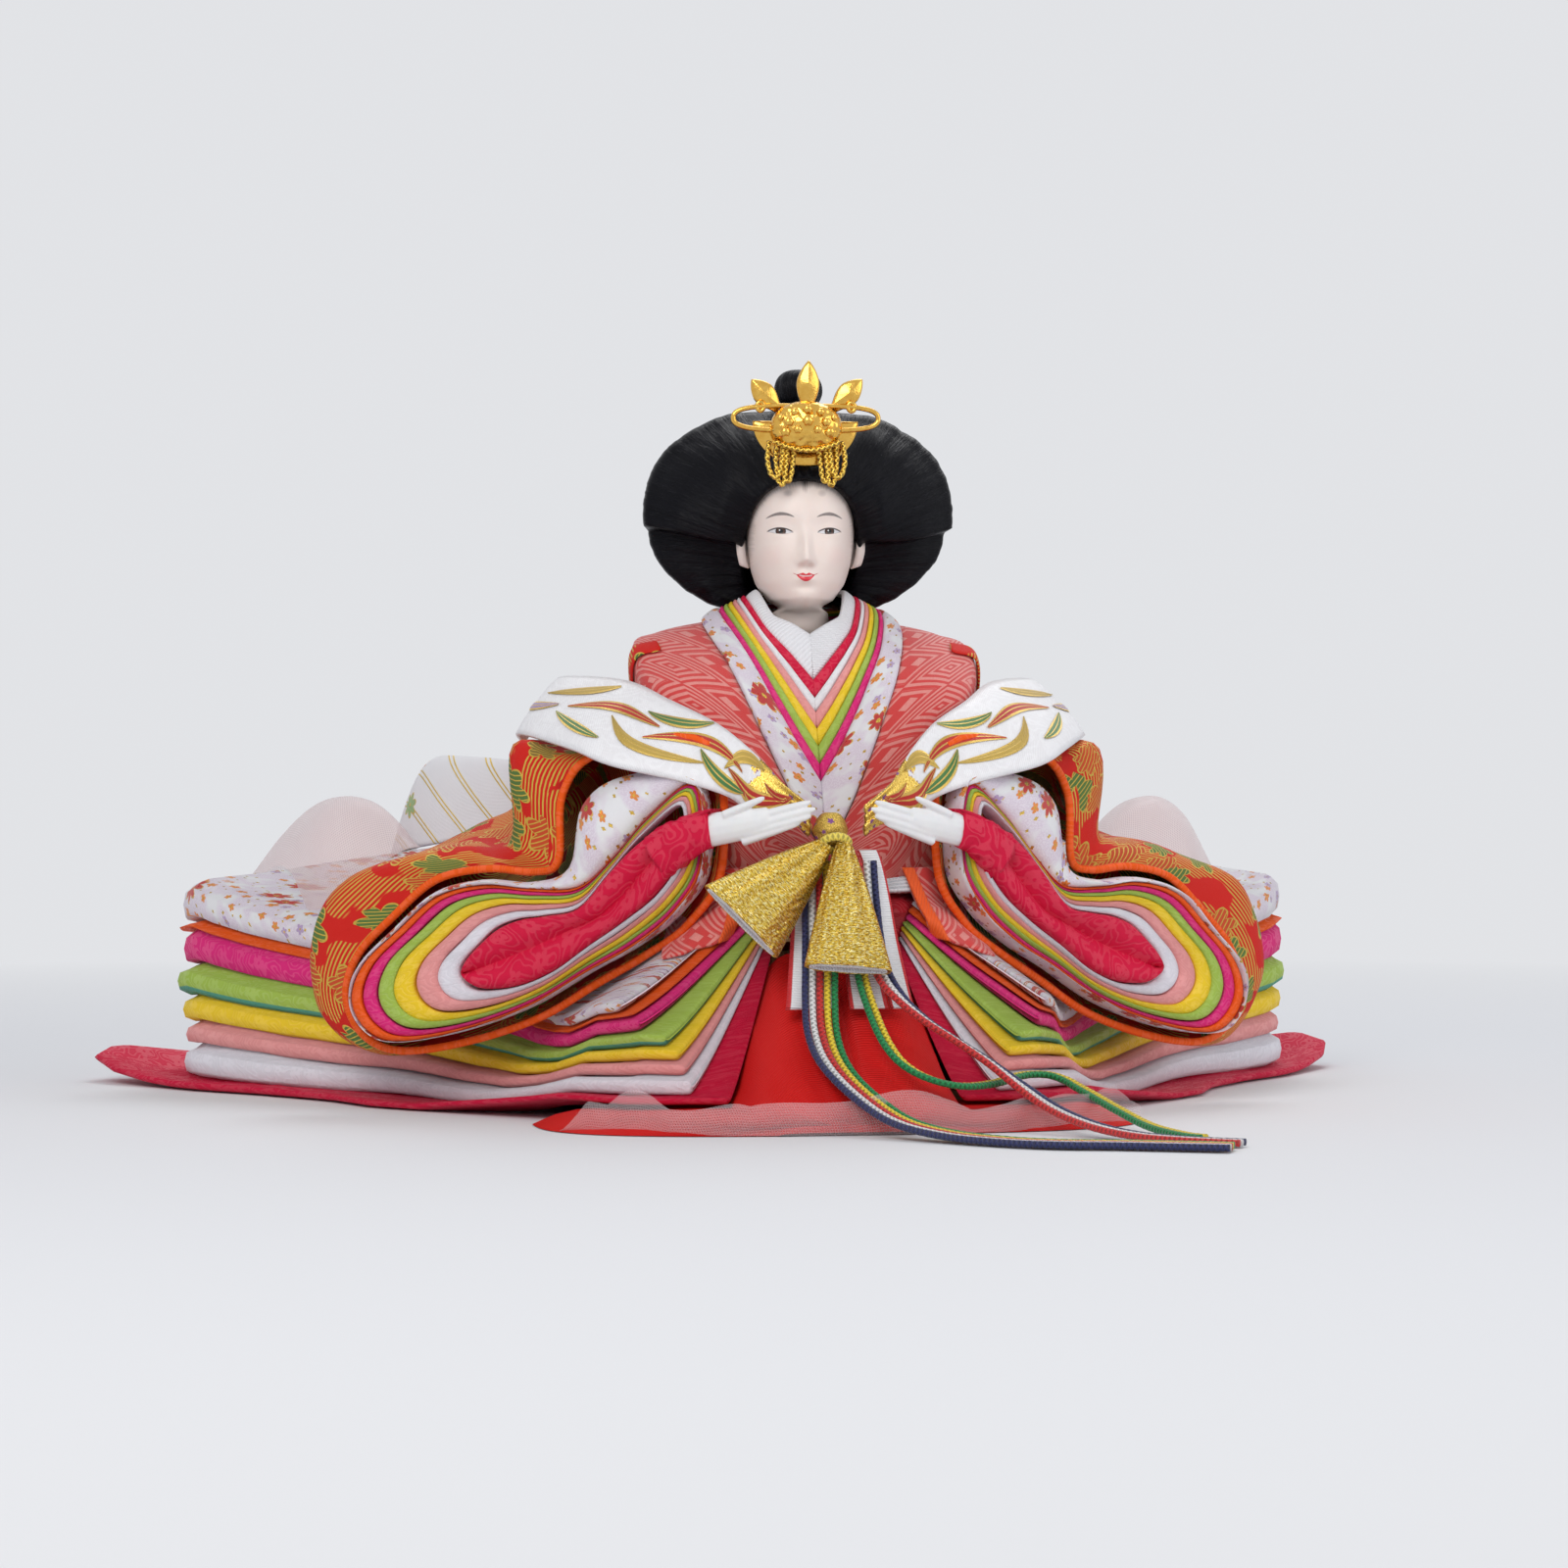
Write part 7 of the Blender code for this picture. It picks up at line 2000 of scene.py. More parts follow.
def sculpt(x, z):
    """How far the face stands out in front of the plain egg, in millimetres."""
    side = abs(x)
    bridge = ease((146.0 - z) / 6.0) * ease((z - 133.2) / 2.0)
    slope = mix(0.75, 2.7, ease((143.5 - z) / 9.0))
    out = slope * bridge * math.exp(-(side / mix(1.35, 1.9, ease((140.0 - z) / 6.0))) ** 2)
    for height, aside, wide, up, tall in FACE_BUMPS:
        out += height * math.exp(-(((side - aside) / wide) ** 2 + ((z - up) / tall) ** 2))
    line_z = MOUTH_Z + 0.08 + 0.025 * side * side
    out -= 0.42 * math.exp(-((x / 2.1) ** 2 + ((z - line_z) / 0.20) ** 2))
    return out


def head_sizes(z):
    share = (z - CHIN_Z) / (CROWN_OF_HEAD_Z - CHIN_Z)
    rows = HEAD_RING_SHARES
    at = max(1, min(len(rows) - 3,
                    next((i for i, row in enumerate(rows[1:]) if row[0] >= share), len(rows) - 2)))
    low, high = rows[at], rows[at + 1]
    t = (share - low[0]) / (high[0] - low[0])
    return [spline(*four, t) for four in zip(*(row[1:] for row in rows[at - 1:at + 3]))]


def head_point(angle, z):
    """A point of the face or skull at an angle from straight ahead."""
    wide, front, back = head_sizes(z)
    x = FACE_HALF * wide * math.sin(angle)
    y = -math.cos(angle) * HEAD_HALF_DEPTH * (front if math.cos(angle) > 0.0 else back)
    if math.cos(angle) > 0.0:
        y -= sculpt(x * 1000.0, z * 1000.0) / 1000.0 * min(1.0, math.cos(angle) * 3.0)
    return Vector((x, y, z))


def painted_face():
    """Powdered white skin with painted brows, eyes, lips and a feathered hairline."""
    look = Look("painted_face", (0.84, 0.70, 0.63), 0.42, Subsurface_Weight=0.12, Coat_Weight=0.12,
                Coat_Roughness=0.35)
    look.shader.inputs["Subsurface Radius"].default_value = (0.004, 0.002, 0.0014)
    u, v = look.uv()
    side = abs(u)
    soft = look.noise((u, v), 0.35, 2.0)
    skin = look.blend(soft, (0.83, 0.70, 0.635), (0.87, 0.755, 0.70))
    cheek_x, cheek_z = (side - 8.2) / 3.4, (v - 136.0) / 3.2
    cheek = (1.0 - (cheek_x * cheek_x + cheek_z * cheek_z)).most(0.0)
    skin = look.blend(cheek * 0.16, skin, (0.86, 0.50, 0.46))
    nose_x, nose_z = (side - 1.2) / 1.2, (v - 133.6) / 0.8
    shade = (1.0 - (nose_x * nose_x + nose_z * nose_z)).most(0.0)
    skin = look.blend(shade * 0.28, skin, (0.60, 0.36, 0.31))

    # Fine hairs fade in from the hairline
    rise = (v - 137.0).most(0.0) / 17.4
    spread = side / 13.3
    reach = (spread * spread * spread + rise * rise * rise).math("POWER", 1.0 / 3.0)
    peak = (1.0 - side / 1.5).most(0.0) * 0.09
    angle = u.math("ARCTAN2", v - 137.0)
    strokes = look.noise((angle * 46.0, reach * 4.0), 1.0, 1.0, 0.6)
    feather = (reach + peak + strokes * 0.11).above(1.035, 0.17)
    above_ear = v.above(134.0, 5.0)
    skin = look.blend(feather * above_ear * 0.9, skin, (0.035, 0.026, 0.026))
    # High smudged brows
    smudge_x, smudge_z = (side - 4.2) / 1.25, (v - 151.3) / 0.95
    smudge = (1.0 - (smudge_x * smudge_x + smudge_z * smudge_z)).most(0.0)
    skin = look.blend(smudge * 0.34, skin, (0.20, 0.15, 0.15))
    # Thin brows, arched and tapered outward
    brow_x = side - 6.1
    brow_mid = 146.25 - brow_x * brow_x * 0.085 - brow_x * 0.03
    brow_half = (1.0 - abs(brow_x) / 3.4).most(0.0).math("POWER", 0.5) * 0.42
    brow = (brow_half - abs(v - brow_mid)).above(0.0, 0.22) * (3.3 - abs(brow_x)).above(0.0, 0.5)
    hairs = look.noise((u * 4.0 + v * 1.6, v * 0.8), 1.0, 1.0)
    skin = look.blend(brow * (0.62 + hairs * 0.35), skin, (0.06, 0.045, 0.045))
    # Eyes: white, brown iris, dark pupil, a painted highlight and drawn lash lines
    x = side - EYE_X
    z = v - EYE_Z - x * 0.055
    lid_top = 0.84 - x * x * 0.098
    lid_low = -0.52 + x * x * 0.050
    inside = (lid_top - z).above(0.0, 0.08) * (z - lid_low).above(0.0, 0.08)
    wide = (3.05 - abs(x)).above(0.0, 0.1)
    opened = inside * wide
    eye_x = u.math("SIGN") * x - 0.05
    iris_reach = (eye_x * eye_x + (z - 0.10) * (z - 0.10)).root()
    iris = iris_reach.below(1.22, 0.12)
    pupil = iris_reach.below(0.56, 0.12)
    glint_x, glint_z = eye_x + 0.30, z - 0.34
    glint = (glint_x * glint_x + glint_z * glint_z).root().below(0.17, 0.08)
    eye = look.blend(iris, (0.70, 0.68, 0.70), (0.075, 0.030, 0.018))
    eye = look.blend(iris_reach.above(1.0, 0.2) * iris, eye, (0.02, 0.010, 0.008))
    eye = look.blend(pupil, eye, (0.004, 0.003, 0.003))
    eye = look.blend(glint, eye, (0.9, 0.9, 0.92))
    skin = look.blend(opened, skin, eye)
    lash_wide = (2.95 - abs(x - 0.1)).above(0.0, 0.5)
    lash = abs(z - lid_top - 0.05).below(0.17, 0.13) * lash_wide
    skin = look.blend(lash * 0.95, skin, (0.03, 0.018, 0.018))
    low_line = abs(z - lid_low).below(0.06, 0.10) * wide
    skin = look.blend(low_line * 0.5, skin, (0.22, 0.12, 0.11))
    crease = abs(z - lid_top - 0.75).below(0.05, 0.14) * (2.6 - abs(x)).above(0.0, 0.6)
    skin = look.blend(crease * 0.16, skin, (0.45, 0.28, 0.26))
    # Lips: a drawn bow above, full below, and a light line between them
    bow = 0.92 - abs(side - 0.75) * 0.50 - side * 0.04
    curl = side * side * 0.075
    lip_top = (bow + curl).least(0.98 + curl)
    lip_low = -1.18 + side * side * 0.31
    lip_z = v - MOUTH_Z
    lips = (lip_top - lip_z).above(0.0, 0.12) * (lip_z - lip_low).above(0.0, 0.12) * (2.55 - side).above(0.0,
                                                                                                         0.25)
    between = abs(lip_z - 0.10 - curl * 1.1).below(0.15, 0.08) * (1.6 - side).above(0.0, 0.3)
    corner = abs(lip_z - 0.06 - curl * 1.1).below(0.09, 0.10) * (3.0 - side).above(0.0, 0.4) * side.above(1.5,
                                                                                                          0.4)
    red = look.blend(soft, (0.66, 0.012, 0.030), (0.78, 0.05, 0.07))
    skin = look.blend(lips, skin, red)
    skin = look.blend(corner * 0.8, skin, (0.50, 0.02, 0.03))
    skin = look.blend(between * 0.85, skin, (0.86, 0.72, 0.70))
    look.colour(skin)
    wet = opened.most(lips)
    look.rough(0.44 - wet * 0.26)
    look.bump(feather * strokes * 2.0 + brow * hairs + look.noise((u, v), 3.0, 2.0) * 0.3, 0.00005, 0.6)
    return look.material


def front_map(mesh):
    """Makes the Cloth map read the head frame's place from the front, in millimetres."""
    data = mesh.uv_layers["Cloth"].data
    c, s = math.cos(-HEAD_TURN), math.sin(-HEAD_TURN)
    for loop in mesh.loops:
        point = mesh.vertices[loop.vertex_index].co
        y = point.y - NECK_Y
        x = point.x * c - y * s
        data[loop.index].uv = (x * 1000.0, point.z * 1000.0)


def add_face():
    rows = []
    for at in range(FACE_ROWS):
        z = mix(FACE_BOTTOM_Z, CROWN_OF_HEAD_Z - 0.0006, at / (FACE_ROWS - 1))
        row = []
        for column in range(FACE_COLUMNS):
            share = column / FACE_COLUMNS * 2.0 - 1.0
            # Columns stand closer together at the front
            angle = math.pi * (0.62 * share + 0.38 * share ** 3)
            row.append(in_head(head_point(angle, z)))
        rows.append(row)
    mesh = grid_mesh("head_face", rows, closed=True, capped=True)
    front_map(mesh)
    skin = painted_face()
    link("head_face", mesh, skin, "head", ["head"])
    plain = Look("powdered_skin", (0.84, 0.71, 0.645), 0.42, Subsurface_Weight=0.12)
    x, y, z = plain.place()
    soft = plain.noise((x, y, z), 0.5, 2.0)
    plain.colour(plain.blend(soft, (0.82, 0.665, 0.60), (0.87, 0.74, 0.68)))
    plain.bump(plain.noise((x, y, z), 3.0, 2.0), 0.00004, 0.5)
    for word, side in SIDES:
        rows = []
        for at in range(15):
            reach = at / 14
            ring = []
            for angle in turns(36):
                lobe = 1.0 - 0.30 * ease(-math.sin(angle)) * abs(math.cos(angle))
                wide = 0.0021 * reach * lobe * math.cos(angle)
                high = 0.0039 * reach * math.sin(angle)
                rim = 0.0011 * math.exp(-((reach - 0.84) / 0.13) ** 2)
                fold = 0.0006 * math.exp(-((reach - 0.48) / 0.12) ** 2) * max(0.0, math.sin(angle + 0.9))
                out = rim + fold + 0.0004 * (1.0 - reach) - 0.0012 * ease((reach - 0.86) / 0.14)
                across = Vector((side * 0.36, -0.93, 0.0)).normalized()
                away = Vector((side * 0.93, -0.36, 0.0)).normalized()
                middle = Vector((side * 0.0140, -0.0008, 0.1377))
                ring.append(in_head(middle - across * wide + away * out + Vector((side * 0.10 * high, 0.0,
                                                                                  high))))
            rows.append(ring)
        mesh = grid_mesh("ear_" + word, rows, closed=True)
        ear = link("ear_" + word, mesh, plain.material, "head", slot="face_powder")
        thicken(ear, 0.0006, 0.0)


# Hair: from the hairline over the wide roll to the back

HAIR_HALF = 0.0378
HAIR_TOP_Z = 0.1735
HAIR_BOTTOM_Z = 0.124
HAIR_FRONT_Y = 0.0155
HAIR_BACK_Y = 0.024
HAIR_COLUMNS = 288
TOPKNOT_RADIUS = 0.0060
TOPKNOT_HEIGHT = 0.0102
HAIRLINE_SHARES = (
    (0.000, 0.622, -1.06), (0.190, 0.590, -0.96), (0.320, 0.490, -0.66), (0.372, 0.340, -0.26),
    (0.372, 0.190, 0.20), (0.300, 0.085, 0.62), (0.0, 0.060, 0.90),
)
OUTLINE_SHARES = (
    (0.00, 1.000, 0.35), (0.48, 0.965, 0.35), (0.88, 0.780, 0.35), (1.00, 0.520, 0.35),
    (0.93, 0.230, 0.40), (0.52, 0.000, 0.50), (0.0, 0.050, 1.10),
)


def hair_loop(table):
    half = []
    for wide, high, deep in table:
        z = mix(HAIR_BOTTOM_Z, HAIR_TOP_Z, high)
        half.append((wide * HAIR_HALF, deep * HAIR_FRONT_Y, z))
    one_side = smooth_path(half, HAIR_COLUMNS // 2 + 1)
    other = [Vector((-p.x, p.y, p.z)) for p in one_side[-2:0:-1]]
    return one_side + other


def black_hair(name="combed_silk", girth=170.0):
    """Black silk threads combed back from the face."""
    look = Look(name, (0.003, 0.003, 0.005), 0.3, Specular_IOR_Level=0.1)
    across, _ = look.uv("Share")
    _, run = look.uv()
    cross = across * girth
    fine = look.noise((cross * 5.0, run * 0.12), 1.0, 2.0, 0.7)
    locks = look.noise((cross * 0.9, run * 0.05), 1.0, 2.0)
    stray = look.noise((cross * 2.3 + run * 0.35, run * 0.22), 1.0, 2.0).above(0.63, 0.04)
    black = look.blend(locks, (0.0012, 0.0012, 0.0024), (0.006, 0.006, 0.009))
    look.colour(look.blend(stray * 0.25, black, (0.03, 0.03, 0.036)))
    look.rough(0.16 + fine * 0.18)
    look.bump(fine + locks * 1.4 + stray * 0.6, 0.00022, 0.9)
    return look.material


def seam_height(x):
    """The roll's lower edge: it hangs over the lower part of the hair."""
    out = (abs(x) - 0.016) / 0.020
    return 0.1398 + 0.0034 * max(0.0, out) ** 1.6 + 0.0006 * math.sin(x * 160.0)


def add_hair():
    look = black_hair()
    hairline = hair_loop(HAIRLINE_SHARES)
    outline = hair_loop(OUTLINE_SHARES)
    middle_z = mix(HAIR_BOTTOM_Z, HAIR_TOP_Z, 0.52)
    rings = []
    tucked = [Vector((p.x * 0.93, p.y + 0.0060, mix(p.z, middle_z, 0.10))) for p in hairline]
    rings.append(tucked)
    rings.append(hairline)
    for share, forward in ((0.08, 0.115), (0.22, 0.17), (0.44, 0.215), (0.66, 0.22), (0.86, 0.13)):
        ring = []
        for p in blend_loops(hairline, outline, share):
            ring.append(Vector((p.x, p.y - forward * HAIR_FRONT_Y, p.z)))
        rings.append(ring)
    rings.append(outline)
    for share, depth in ((0.03, 0.52), (0.12, 0.74), (0.30, 0.90), (0.55, 0.985), (0.82, 1.02), (0.97, 1.02)):
        rings.append([Vector((mix(p.x, 0.0, share), HAIR_BACK_Y * depth,
                              mix(p.z, middle_z, share))) for p in outline])
    columns = [smooth_path(column, 110) for column in zip(*rings)]
    rows = []
    for at, row in enumerate(zip(*columns)):
        share = at / 109
        ring = []
        for column, p in enumerate(row):
            turn = column / HAIR_COLUMNS * math.tau
            front = ease((share - 0.09) / 0.07) * ease((0.62 - share) / 0.12)
            above = p.z - seam_height(p.x)
            roll = ease(above / 0.0016 + 0.5) * (1.0 - 0.6 * ease((above - 0.004) / 0.016))
            low = (1.0 - ease(above / 0.0016 + 0.5)) * (1.0 - 0.5 * ease((-above - 0.003) / 0.010))
            away = Vector((p.x, 0.0, p.z - middle_z)).normalized()
            wide = ease((abs(p.x) - 0.013) / 0.006)
            push = front * wide * (0.0017 * roll - 0.0013 * low)
            lock = noise.noise(Vector((math.cos(turn) * 11.0, math.sin(turn) * 11.0, share * 0.9)))
            lock += 0.5 * noise.noise(Vector((math.cos(turn) * 31.0, math.sin(turn) * 31.0, share * 1.3)))
            fine = lock * 0.00026 * ease(share * 8.0)
            shift = Vector((0.0, -push * 1.4 - fine * front, 0.0)) + away * (push * 0.75 + fine)
            ring.append(in_head(p + shift))
        rows.append(ring)
    mesh = grid_mesh("hair_combed", rows, closed=True, capped=True)
    link("hair_combed", mesh, look, "head", ["hair"])

    # Topknot: wound strands
    rows = []
    for at in range(40):
        share = at / 39
        angle = math.pi * share
        size = TOPKNOT_RADIUS * math.sin(max(angle, 0.22)) ** 0.8
        z = HAIR_TOP_Z - 0.0002 + (1.0 - math.cos(angle)) / 2.0 * TOPKNOT_HEIGHT
        ring = []
        for turn in range(72):
            place = math.tau * turn / 72
            strand = 0.00016 * math.sin(place * 12.0 + share * 9.0)
            strand += 0.0001 * noise.noise(Vector((place * 9.0, share * 3.0, 1.0)))
            ring.append(in_head(((size + strand) * math.cos(place),
                                 0.0043 + (size + strand) * math.sin(place), z)))
        rows.append(ring)
    look = black_hair("wound_hair", 34.0)
    lay("topknot_combed", rows, look, "head", ["hair_topknot"], closed=True, capped=True)


# The tail falls from the back of the hair, is tied, and lies along the train

TAIL_WIDTH = 0.016
TAIL_THICK = 0.0045
TAIL_REACH = 0.098
TAIL_PATH_SHARES = (
    (0.0, 0.0), (0.03, 0.28), (0.07, 0.58), (0.155, 0.85), (0.335, 0.97), (0.67, 1.0), (1.0, 1.0),
)
TAIL_WIDTH_SHARES = ((0.0, 0.6), (0.167, 0.72), (0.333, 0.62), (0.5, 0.9), (0.667, 1.0), (0.833, 0.92),
                     (1.0, 0.5))
TAIL_TOP_SHARE = 0.36
TAIL_SEAT_Y = 0.0266


def add_tail():
    top_z = mix(HAIR_BOTTOM_Z, HAIR_TOP_Z, TAIL_TOP_SHARE)
    low_z = TRAIN_TOP_Z + 0.0012 + TAIL_THICK / 2.0
    path = smooth_path([(0.0, mix(TAIL_SEAT_Y, TAIL_REACH, reach), mix(top_z, low_z, fall)) for reach,
                        fall in TAIL_PATH_SHARES], 90)
    rows = []
    for at, middle in enumerate(path):
        share = at / 89
        way = path[min(at + 1, 89)] - path[max(at - 1, 0)]
        up = Vector((1.0, 0.0, 0.0)).cross(way).normalized()
        half = TAIL_WIDTH / 2.0 * lookup(TAIL_WIDTH_SHARES, share)
        thick = TAIL_THICK / 2.0 * (1.0 - 0.55 * ease((share - 0.9) / 0.1))
        ring = []
        for angle in turns(72):
            lock = 0.00022 * noise.noise(Vector((math.cos(angle) * 9.0, math.sin(angle) * 3.0, share * 1.2)))
            lock += 0.00012 * math.sin(math.cos(angle) * 26.0 + share * 2.0)
            point = middle + Vector((math.cos(angle) * half, 0.0,
                                     0.0)) + up * (math.sin(angle) * thick + lock)
            ring.append(in_head(point))
        rows.append(ring)
    look = black_hair("tail_hair", 42.0)
    lay("tail_combed", rows, look, "head", ["hair_tail"], closed=True, capped=True)
    low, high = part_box("tail_tie")
    middle = [(a + b) / 2.0 for a, b in zip(low, high)]
    paper = Look("tie_paper_cord", (0.82, 0.81, 0.79), 0.6)
    u, v = paper.uv()
    twist = ((u * 6.0 + v) * math.tau).wave()
    paper.colour(paper.blend(twist * 0.3 + 0.3, (0.86, 0.85, 0.83), (0.62, 0.60, 0.58)))
    paper.bump(twist, 0.0001, 0.8)
    points = []
    for at in range(73):
        angle = math.tau * at / 24
        x = math.cos(angle) * (TAIL_WIDTH / 2.0 * 0.74 + 0.0006)
        y = math.sin(angle) * (TAIL_THICK / 2.0 + 0.0007)
        z = middle[2] + 0.0009 * (at / 36 - 1.0)
        points.append(Vector((middle[0], middle[1], 0.0)) + Vector((x, y, z)))
    mesh = tube_mesh("tie_wound", points, 0.00045, 8)
    link("tie_wound", mesh, paper.material, "head", ["tail_tie"])


# Crown

COMB_HALF = 0.013
COMB_HEIGHT = 0.0112
COMB_TOP_Z = 0.1689
COMB_FRONT_Y = -0.0158
# Foot of each blade across and up, lean in degrees and height
BLADES = ((-0.0066, 0.1716, -42.0, 0.0100), (0.0004, 0.1712, 2.0, 0.0126), (0.0068, 0.1718, 44.0, 0.0104))
BLADE_OUTLINE = ((0.0, 0.36), (0.12, 0.52), (0.3, 0.82), (0.45, 0.98), (0.58, 1.0), (0.70, 0.86),
                 (0.82, 0.62), (0.92, 0.34), (1.0, 0.04))
BLADE_WIDTH = 0.0056
DOME_HALF = 0.0088
DOME_HEIGHT = 0.0125
DOME_Z = 0.1674
DOME_DEPTH = 0.0048
PIN_HALF = 0.0178
PIN_HEIGHT = 0.006
# Rows of small bosses on the dome: shares of its half width and half height, and their size
BOSSES = (
    (0.0, 0.62, 0.0012), (-0.36, 0.52, 0.0010), (0.36, 0.52, 0.0010), (-0.52, 0.12, 0.0011),
    (0.52, 0.12, 0.0011),
    (0.0, 0.16, 0.0013), (-0.28, -0.18, 0.0010), (0.28, -0.18, 0.0010), (-0.62, -0.26, 0.0012),
    (0.62, -0.26, 0.0012),
    (-0.74, 0.30, 0.0008), (0.74, 0.30, 0.0008),
)


def plate(name, outline, front, thick, look, relief=None, replaced=(), slot=None):
    """A plate from rows of (x, z) points, rounded at its rim and raised by a relief."""
    middle = Vector((sum(p[0] for p in outline) / len(outline), 0.0,
                     sum(p[1] for p in outline) / len(outline)))
    rows = []
    for share, rise in ((0.02, 1.0), (0.25, 1.0), (0.5, 1.0), (0.7, 1.0), (0.85, 1.0), (0.94, 0.9),
                        (0.99, 0.6), (1.0, 0.2), (0.98, 0.0), (0.5, 0.0), (0.02, 0.0)):
        ring = []
        for x, z in outline:
            point = Vector((mix(middle.x, x, share), 0.0, mix(middle.z, z, share)))
            height = relief(point.x, point.z, share) if relief and rise > 0.5 else 0.0
            point.y = front + thick * (1.0 - rise) - height
            ring.append(in_head(point))
        rows.append(ring)
    return lay(name, rows, look, "head", replaced, slot, closed=True)


def add_crown():
    gold = polished_gold()
    bright = polished_gold("bright_gold")
    outline = []
    for at in range(49):
        angle = math.pi * at / 48
        outline.append((COMB_HALF * math.cos(angle), COMB_TOP_Z - COMB_HEIGHT * math.sin(angle)))
    outline += [(mix(-COMB_HALF, COMB_HALF, at / 13), COMB_TOP_Z) for at in range(1, 13)]
    plate("comb_plate", outline, COMB_FRONT_Y, 0.0008, gold, lambda x, z, s: 0.0002 * math.cos(s * 9.0),
          ["crown_plates"])
    for at, (foot, foot_z, lean, height) in enumerate(BLADES):
        lean = math.radians(lean)
        points = [(wide * BLADE_WIDTH / 2.0, rise * height) for rise, wide in BLADE_OUTLINE]
        fine = smooth_path([(x, z, 0.0) for x, z in points], 24)
        points = [(p.x, p.y) for p in fine] + [(-p.x, p.y) for p in fine[::-1]]
        outline = []
        for x, z in points:
            outline.append((foot + x * math.cos(lean) + z * math.sin(lean),
                            foot_z + z * math.cos(lean) - x * math.sin(lean)))
        name = "blade_{}".format(at)
        plate(name, outline, COMB_FRONT_Y - 0.0001, 0.0009, bright, lambda x, z, s: 0.0010 * (1.0 - s) ** 0.7,
              ["crown_plates"])

    # Long pin: a bent rod round both ends, with two small clasps
    points = []
    for at in range(97):
        angle = math.tau * at / 96
        x = PIN_HALF * math.copysign(abs(math.cos(angle)) ** 0.5, math.cos(angle))
        z = PIN_HEIGHT / 2.0 * math.copysign(abs(math.sin(angle)) ** 0.8, math.sin(angle))
        points.append(in_head((x, COMB_FRONT_Y - 0.0009, COMB_TOP_Z + 0.1 * PIN_HEIGHT + z)))
    points += points[1:3]
    link("pin_rod", tube_mesh("pin_rod", points, 0.00062, 12), gold, "head", ["crown_pin"])
    for word, side in SIDES:
        ring = []
        for at in range(27):
            angle = math.tau * at / 24
            ring.append(in_head((side * 0.0112 + 0.0009 * math.cos(angle), COMB_FRONT_Y - 0.0010,
                                 COMB_TOP_Z + 0.0034 + 0.0011 * math.sin(angle))))
        link("pin_clasp_" + word, tube_mesh("pin_clasp_" + word, ring, 0.0005, 10), bright, "head",
             slot="crown_gold")

    # Domed front with a chased border, bosses and a row of petals
    back = COMB_FRONT_Y - 0.0018
    rows = []
    for at in range(34):
        share = at / 33
        spread = math.sqrt(max(0.0, 1.0 - (0.985 * share) ** 2))
        ring = []
        for angle in turns(120):
            petal = 0.00042 * abs(math.cos(angle * 7.0)) * hump(spread, 0.86, 0.12)
            bead = 0.00024 * math.cos(angle * 40.0) * hump(spread, 0.97, 0.04)
            wide = 1.0 + (petal * 30.0 + bead * 20.0)
            x = DOME_HALF * spread * wide * math.cos(angle)
            z = DOME_Z + DOME_HEIGHT / 2.0 * spread * wide * math.sin(angle)
            chased = 0.00028 * noise.noise(Vector((x * 900.0, z * 900.0, 0.0)))
            ring.append(in_head((x, back - DOME_DEPTH * share - petal - bead - chased, z)))
        rows.append(ring)
    lay("dome_chased", rows, gold, "head", ["crown_dome"], closed=True, capped=True)
    for at, (wide, high, size) in enumerate(BOSSES):
        reach = min(1.0, wide * wide + high * high)
        y = back - DOME_DEPTH * math.sqrt(1.0 - reach * 0.97) - 0.0004
        rows = []
        for step in range(9):
            angle = math.pi / 2.0 * step / 8
            ring = []
            for turn in range(24):
                place = math.tau * turn / 24
                petals = 1.0 + 0.10 * math.cos(place * 6.0) * math.cos(angle)
                radius = size * math.cos(angle) * petals + 0.00002
                ring.append(in_head((DOME_HALF * wide + radius * math.cos(place),
                                     y - size * 0.75 * math.sin(angle),
                                     DOME_Z + DOME_HEIGHT / 2.0 * high + radius * math.sin(place))))
            rows.append(ring)
        name = "boss_{}".format(at)
        lay(name, rows, bright, "head", slot="crown_gold", closed=True, capped=True)

    # Twisted gold cord: a swag under the dome and three loops at each side of the brow
    look = braided_cord("gold_twist", (0.88, 0.58, 0.10), 1.3, 0.24, 1.0)
    twist = lambda share, angle: 0.14 * math.cos(angle * 2.0 + share * 60.0)
    strings = []
    for side in (-1.0, 1.0):
        for inner, outer, drop in ((0.0030, 0.0062, 0.0098), (0.0046, 0.0076, 0.0106),
                                   (0.0056, 0.0096, 0.0090)):
            path = [(side * inner, -0.0175, 0.1642), (side * (inner + 0.0002), -0.0182, 0.1600),
                    (side * (inner + (outer - inner) * 0.32), -0.0184, 0.1644 - drop),
                    (side * (inner + (outer - inner) * 0.72), -0.0182, 0.1644 - drop),
                    (side * (outer - 0.0001), -0.0176, 0.1592), (side * (outer - 0.0006), -0.0166, 0.1638)]
            strings.append(path)
    swag = []
    for at in range(9):
        sag = math.sin(math.pi * at / 8)
        swag.append((mix(-0.0080, 0.0080, at / 8), -0.0190 - 0.0014 * sag, 0.1636 - 0.0022 * sag))
    strings.append(swag)
    for at, path in enumerate(strings):
        points = even_path([in_head(point) for point in path], 80)
        name = "crown_string_{}".format(at)
        link(name, tube_mesh(name, points, 0.00062, 10, twist), look, "head", ["crown_loops"])


# Floor, light and camera

BACKDROP = (0.76, 0.77, 0.795)
AMBIENT = (0.47, 0.48, 0.505)
# In millimetres from the middle: how far the floor keeps the doll's shadow, and how far it fades
SHADOW_REACH = 330.0
SHADOW_FADE = 520.0


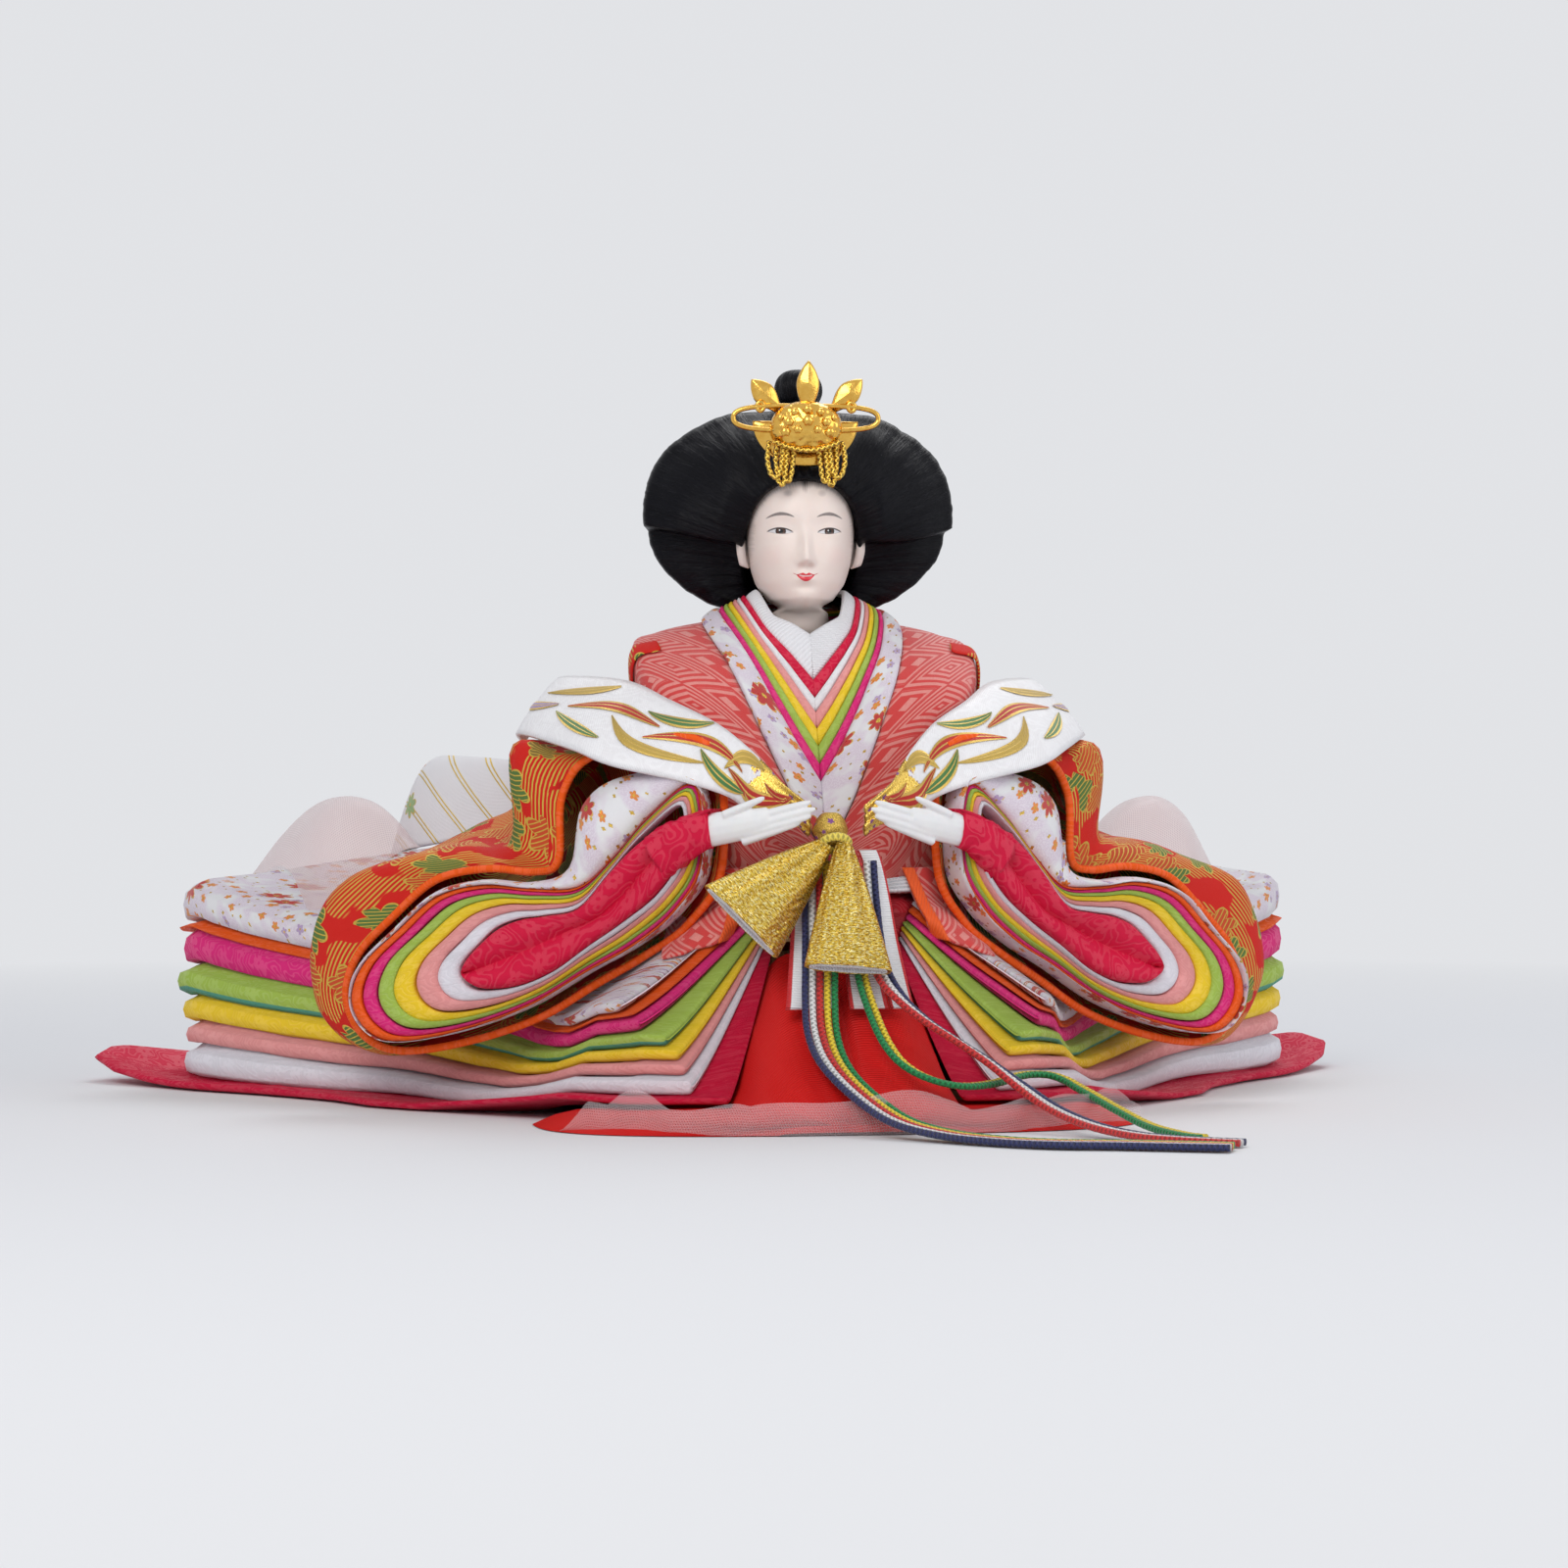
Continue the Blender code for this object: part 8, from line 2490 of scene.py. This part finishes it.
def add_stage():
    bm = bmesh.new()
    size = 3.0
    profile = [(-size, 0.0), (1.20, 0.0), (1.32, 0.004), (1.42, 0.022), (1.52, 0.070), (1.60, 0.16),
               (1.64, 0.30), (1.64, 2.2)]
    rows = [[Vector((x, y, z)) for x in (-size, 0.0, size)] for y, z in profile]
    verts = [[bm.verts.new(point) for point in row] for row in rows]
    for low, high in zip(verts, verts[1:]):
        for at in range(2):
            face = bm.faces.new((low[at], low[at + 1], high[at + 1], high[at]))
            face.smooth = True
    mesh = bpy.data.meshes.new("backdrop")
    bm.to_mesh(mesh)
    bm.free()
    mesh.materials.append(paper())
    floor = bpy.data.objects.new("backdrop", mesh)
    bpy.context.scene.collection.objects.link(floor)


def seen(look):
    """One for what the camera or a mirror sees, and zero for light."""
    path = look.add("ShaderNodeLightPath")
    camera, glossy = Number(look, path.outputs["Is Camera Ray"]), Number(look, path.outputs["Is Glossy Ray"])
    return camera.most(glossy).most(Number(look, path.outputs["Is Transmission Ray"]))


def paper():
    """Pale paper that keeps the doll's shadow and stays evenly pale further away."""
    look = Look("backdrop_paper", BACKDROP, 0.9)
    x, y, z = look.place()
    away = (x * x + y * y + z * z).root()
    glow = look.add("ShaderNodeEmission")
    glow.inputs["Color"].default_value = (*BACKDROP, 1.0)
    mixed = look.add("ShaderNodeMixShader")
    look.put(mixed.inputs["Fac"], seen(look) * ((away - SHADOW_REACH) / SHADOW_FADE).clamped())
    look.tree.links.new(look.shader.outputs[0], mixed.inputs[1])
    look.tree.links.new(glow.outputs[0], mixed.inputs[2])
    look.tree.links.new(mixed.outputs[0], look.tree.nodes["Material Output"].inputs["Surface"])
    return look.material


def add_area(name, place, aim, size, power, colour=(1.0, 1.0, 1.0)):
    lamp = bpy.data.lights.new(name, "AREA")
    lamp.shape = "DISK"
    lamp.size = size
    lamp.energy = power
    lamp.color = colour
    made = bpy.data.objects.new(name, lamp)
    made.location = place
    made.rotation_euler = (Vector(aim) - Vector(place)).to_track_quat("-Z", "Y").to_euler()
    bpy.context.scene.collection.objects.link(made)


def add_light():
    world = bpy.data.worlds.new("studio")
    world.use_nodes = True
    shade = world.node_tree.nodes["Background"]
    path = world.node_tree.nodes.new("ShaderNodeLightPath")
    either = world.node_tree.nodes.new("ShaderNodeMath")
    either.operation = "MAXIMUM"
    tone = world.node_tree.nodes.new("ShaderNodeMix")
    tone.data_type = "RGBA"
    tone.inputs[6].default_value = (*AMBIENT, 1.0)
    tone.inputs[7].default_value = (*BACKDROP, 1.0)
    links = world.node_tree.links
    links.new(path.outputs["Is Camera Ray"], either.inputs[0])
    links.new(path.outputs["Is Glossy Ray"], either.inputs[1])
    links.new(either.outputs[0], tone.inputs[0])
    links.new(tone.outputs[2], shade.inputs["Color"])
    bpy.context.scene.world = world
    middle = (0.0, 0.0, 0.08)
    add_area("key", (-0.50, -0.92, 0.78), middle, 0.7, 6.2, (1.0, 0.98, 0.95))
    add_area("fill", (0.85, -0.70, 0.45), middle, 0.9, 3.0)
    add_area("back", (0.25, 0.55, 0.95), middle, 0.6, 3.0)


def add_camera():
    camera = bpy.data.cameras.new("photo_camera")
    camera.lens = LENS
    camera.sensor_width = SENSOR
    made = bpy.data.objects.new("photo_camera", camera)
    away = Vector((math.sin(VIEW_TURN), -math.cos(VIEW_TURN), 0.0))
    aside = Vector((math.cos(VIEW_TURN), math.sin(VIEW_TURN), 0.0))
    made.location = in_row(away * VIEW_DISTANCE - aside * VIEW_ASIDE + Vector((0.0, 0.0, VIEW_HEIGHT)))
    made.rotation_euler = (math.pi / 2.0, 0.0, VIEW_TURN)
    bpy.context.scene.collection.objects.link(made)
    bpy.context.scene.camera = made
    bpy.context.scene.view_settings.view_transform = "Standard"


def main():
    add_stage()
    add_light()
    add_camera()
    add_free_cords()
    add_hidden_parts()
    add_robes()
    add_collars()
    add_jacket()
    add_sash()
    add_bands()
    add_sleeves()
    add_hands()
    add_hakama()
    add_film()
    add_bow()
    add_straps()
    add_train()
    add_face()
    add_hair()
    add_tail()
    add_crown()


main()
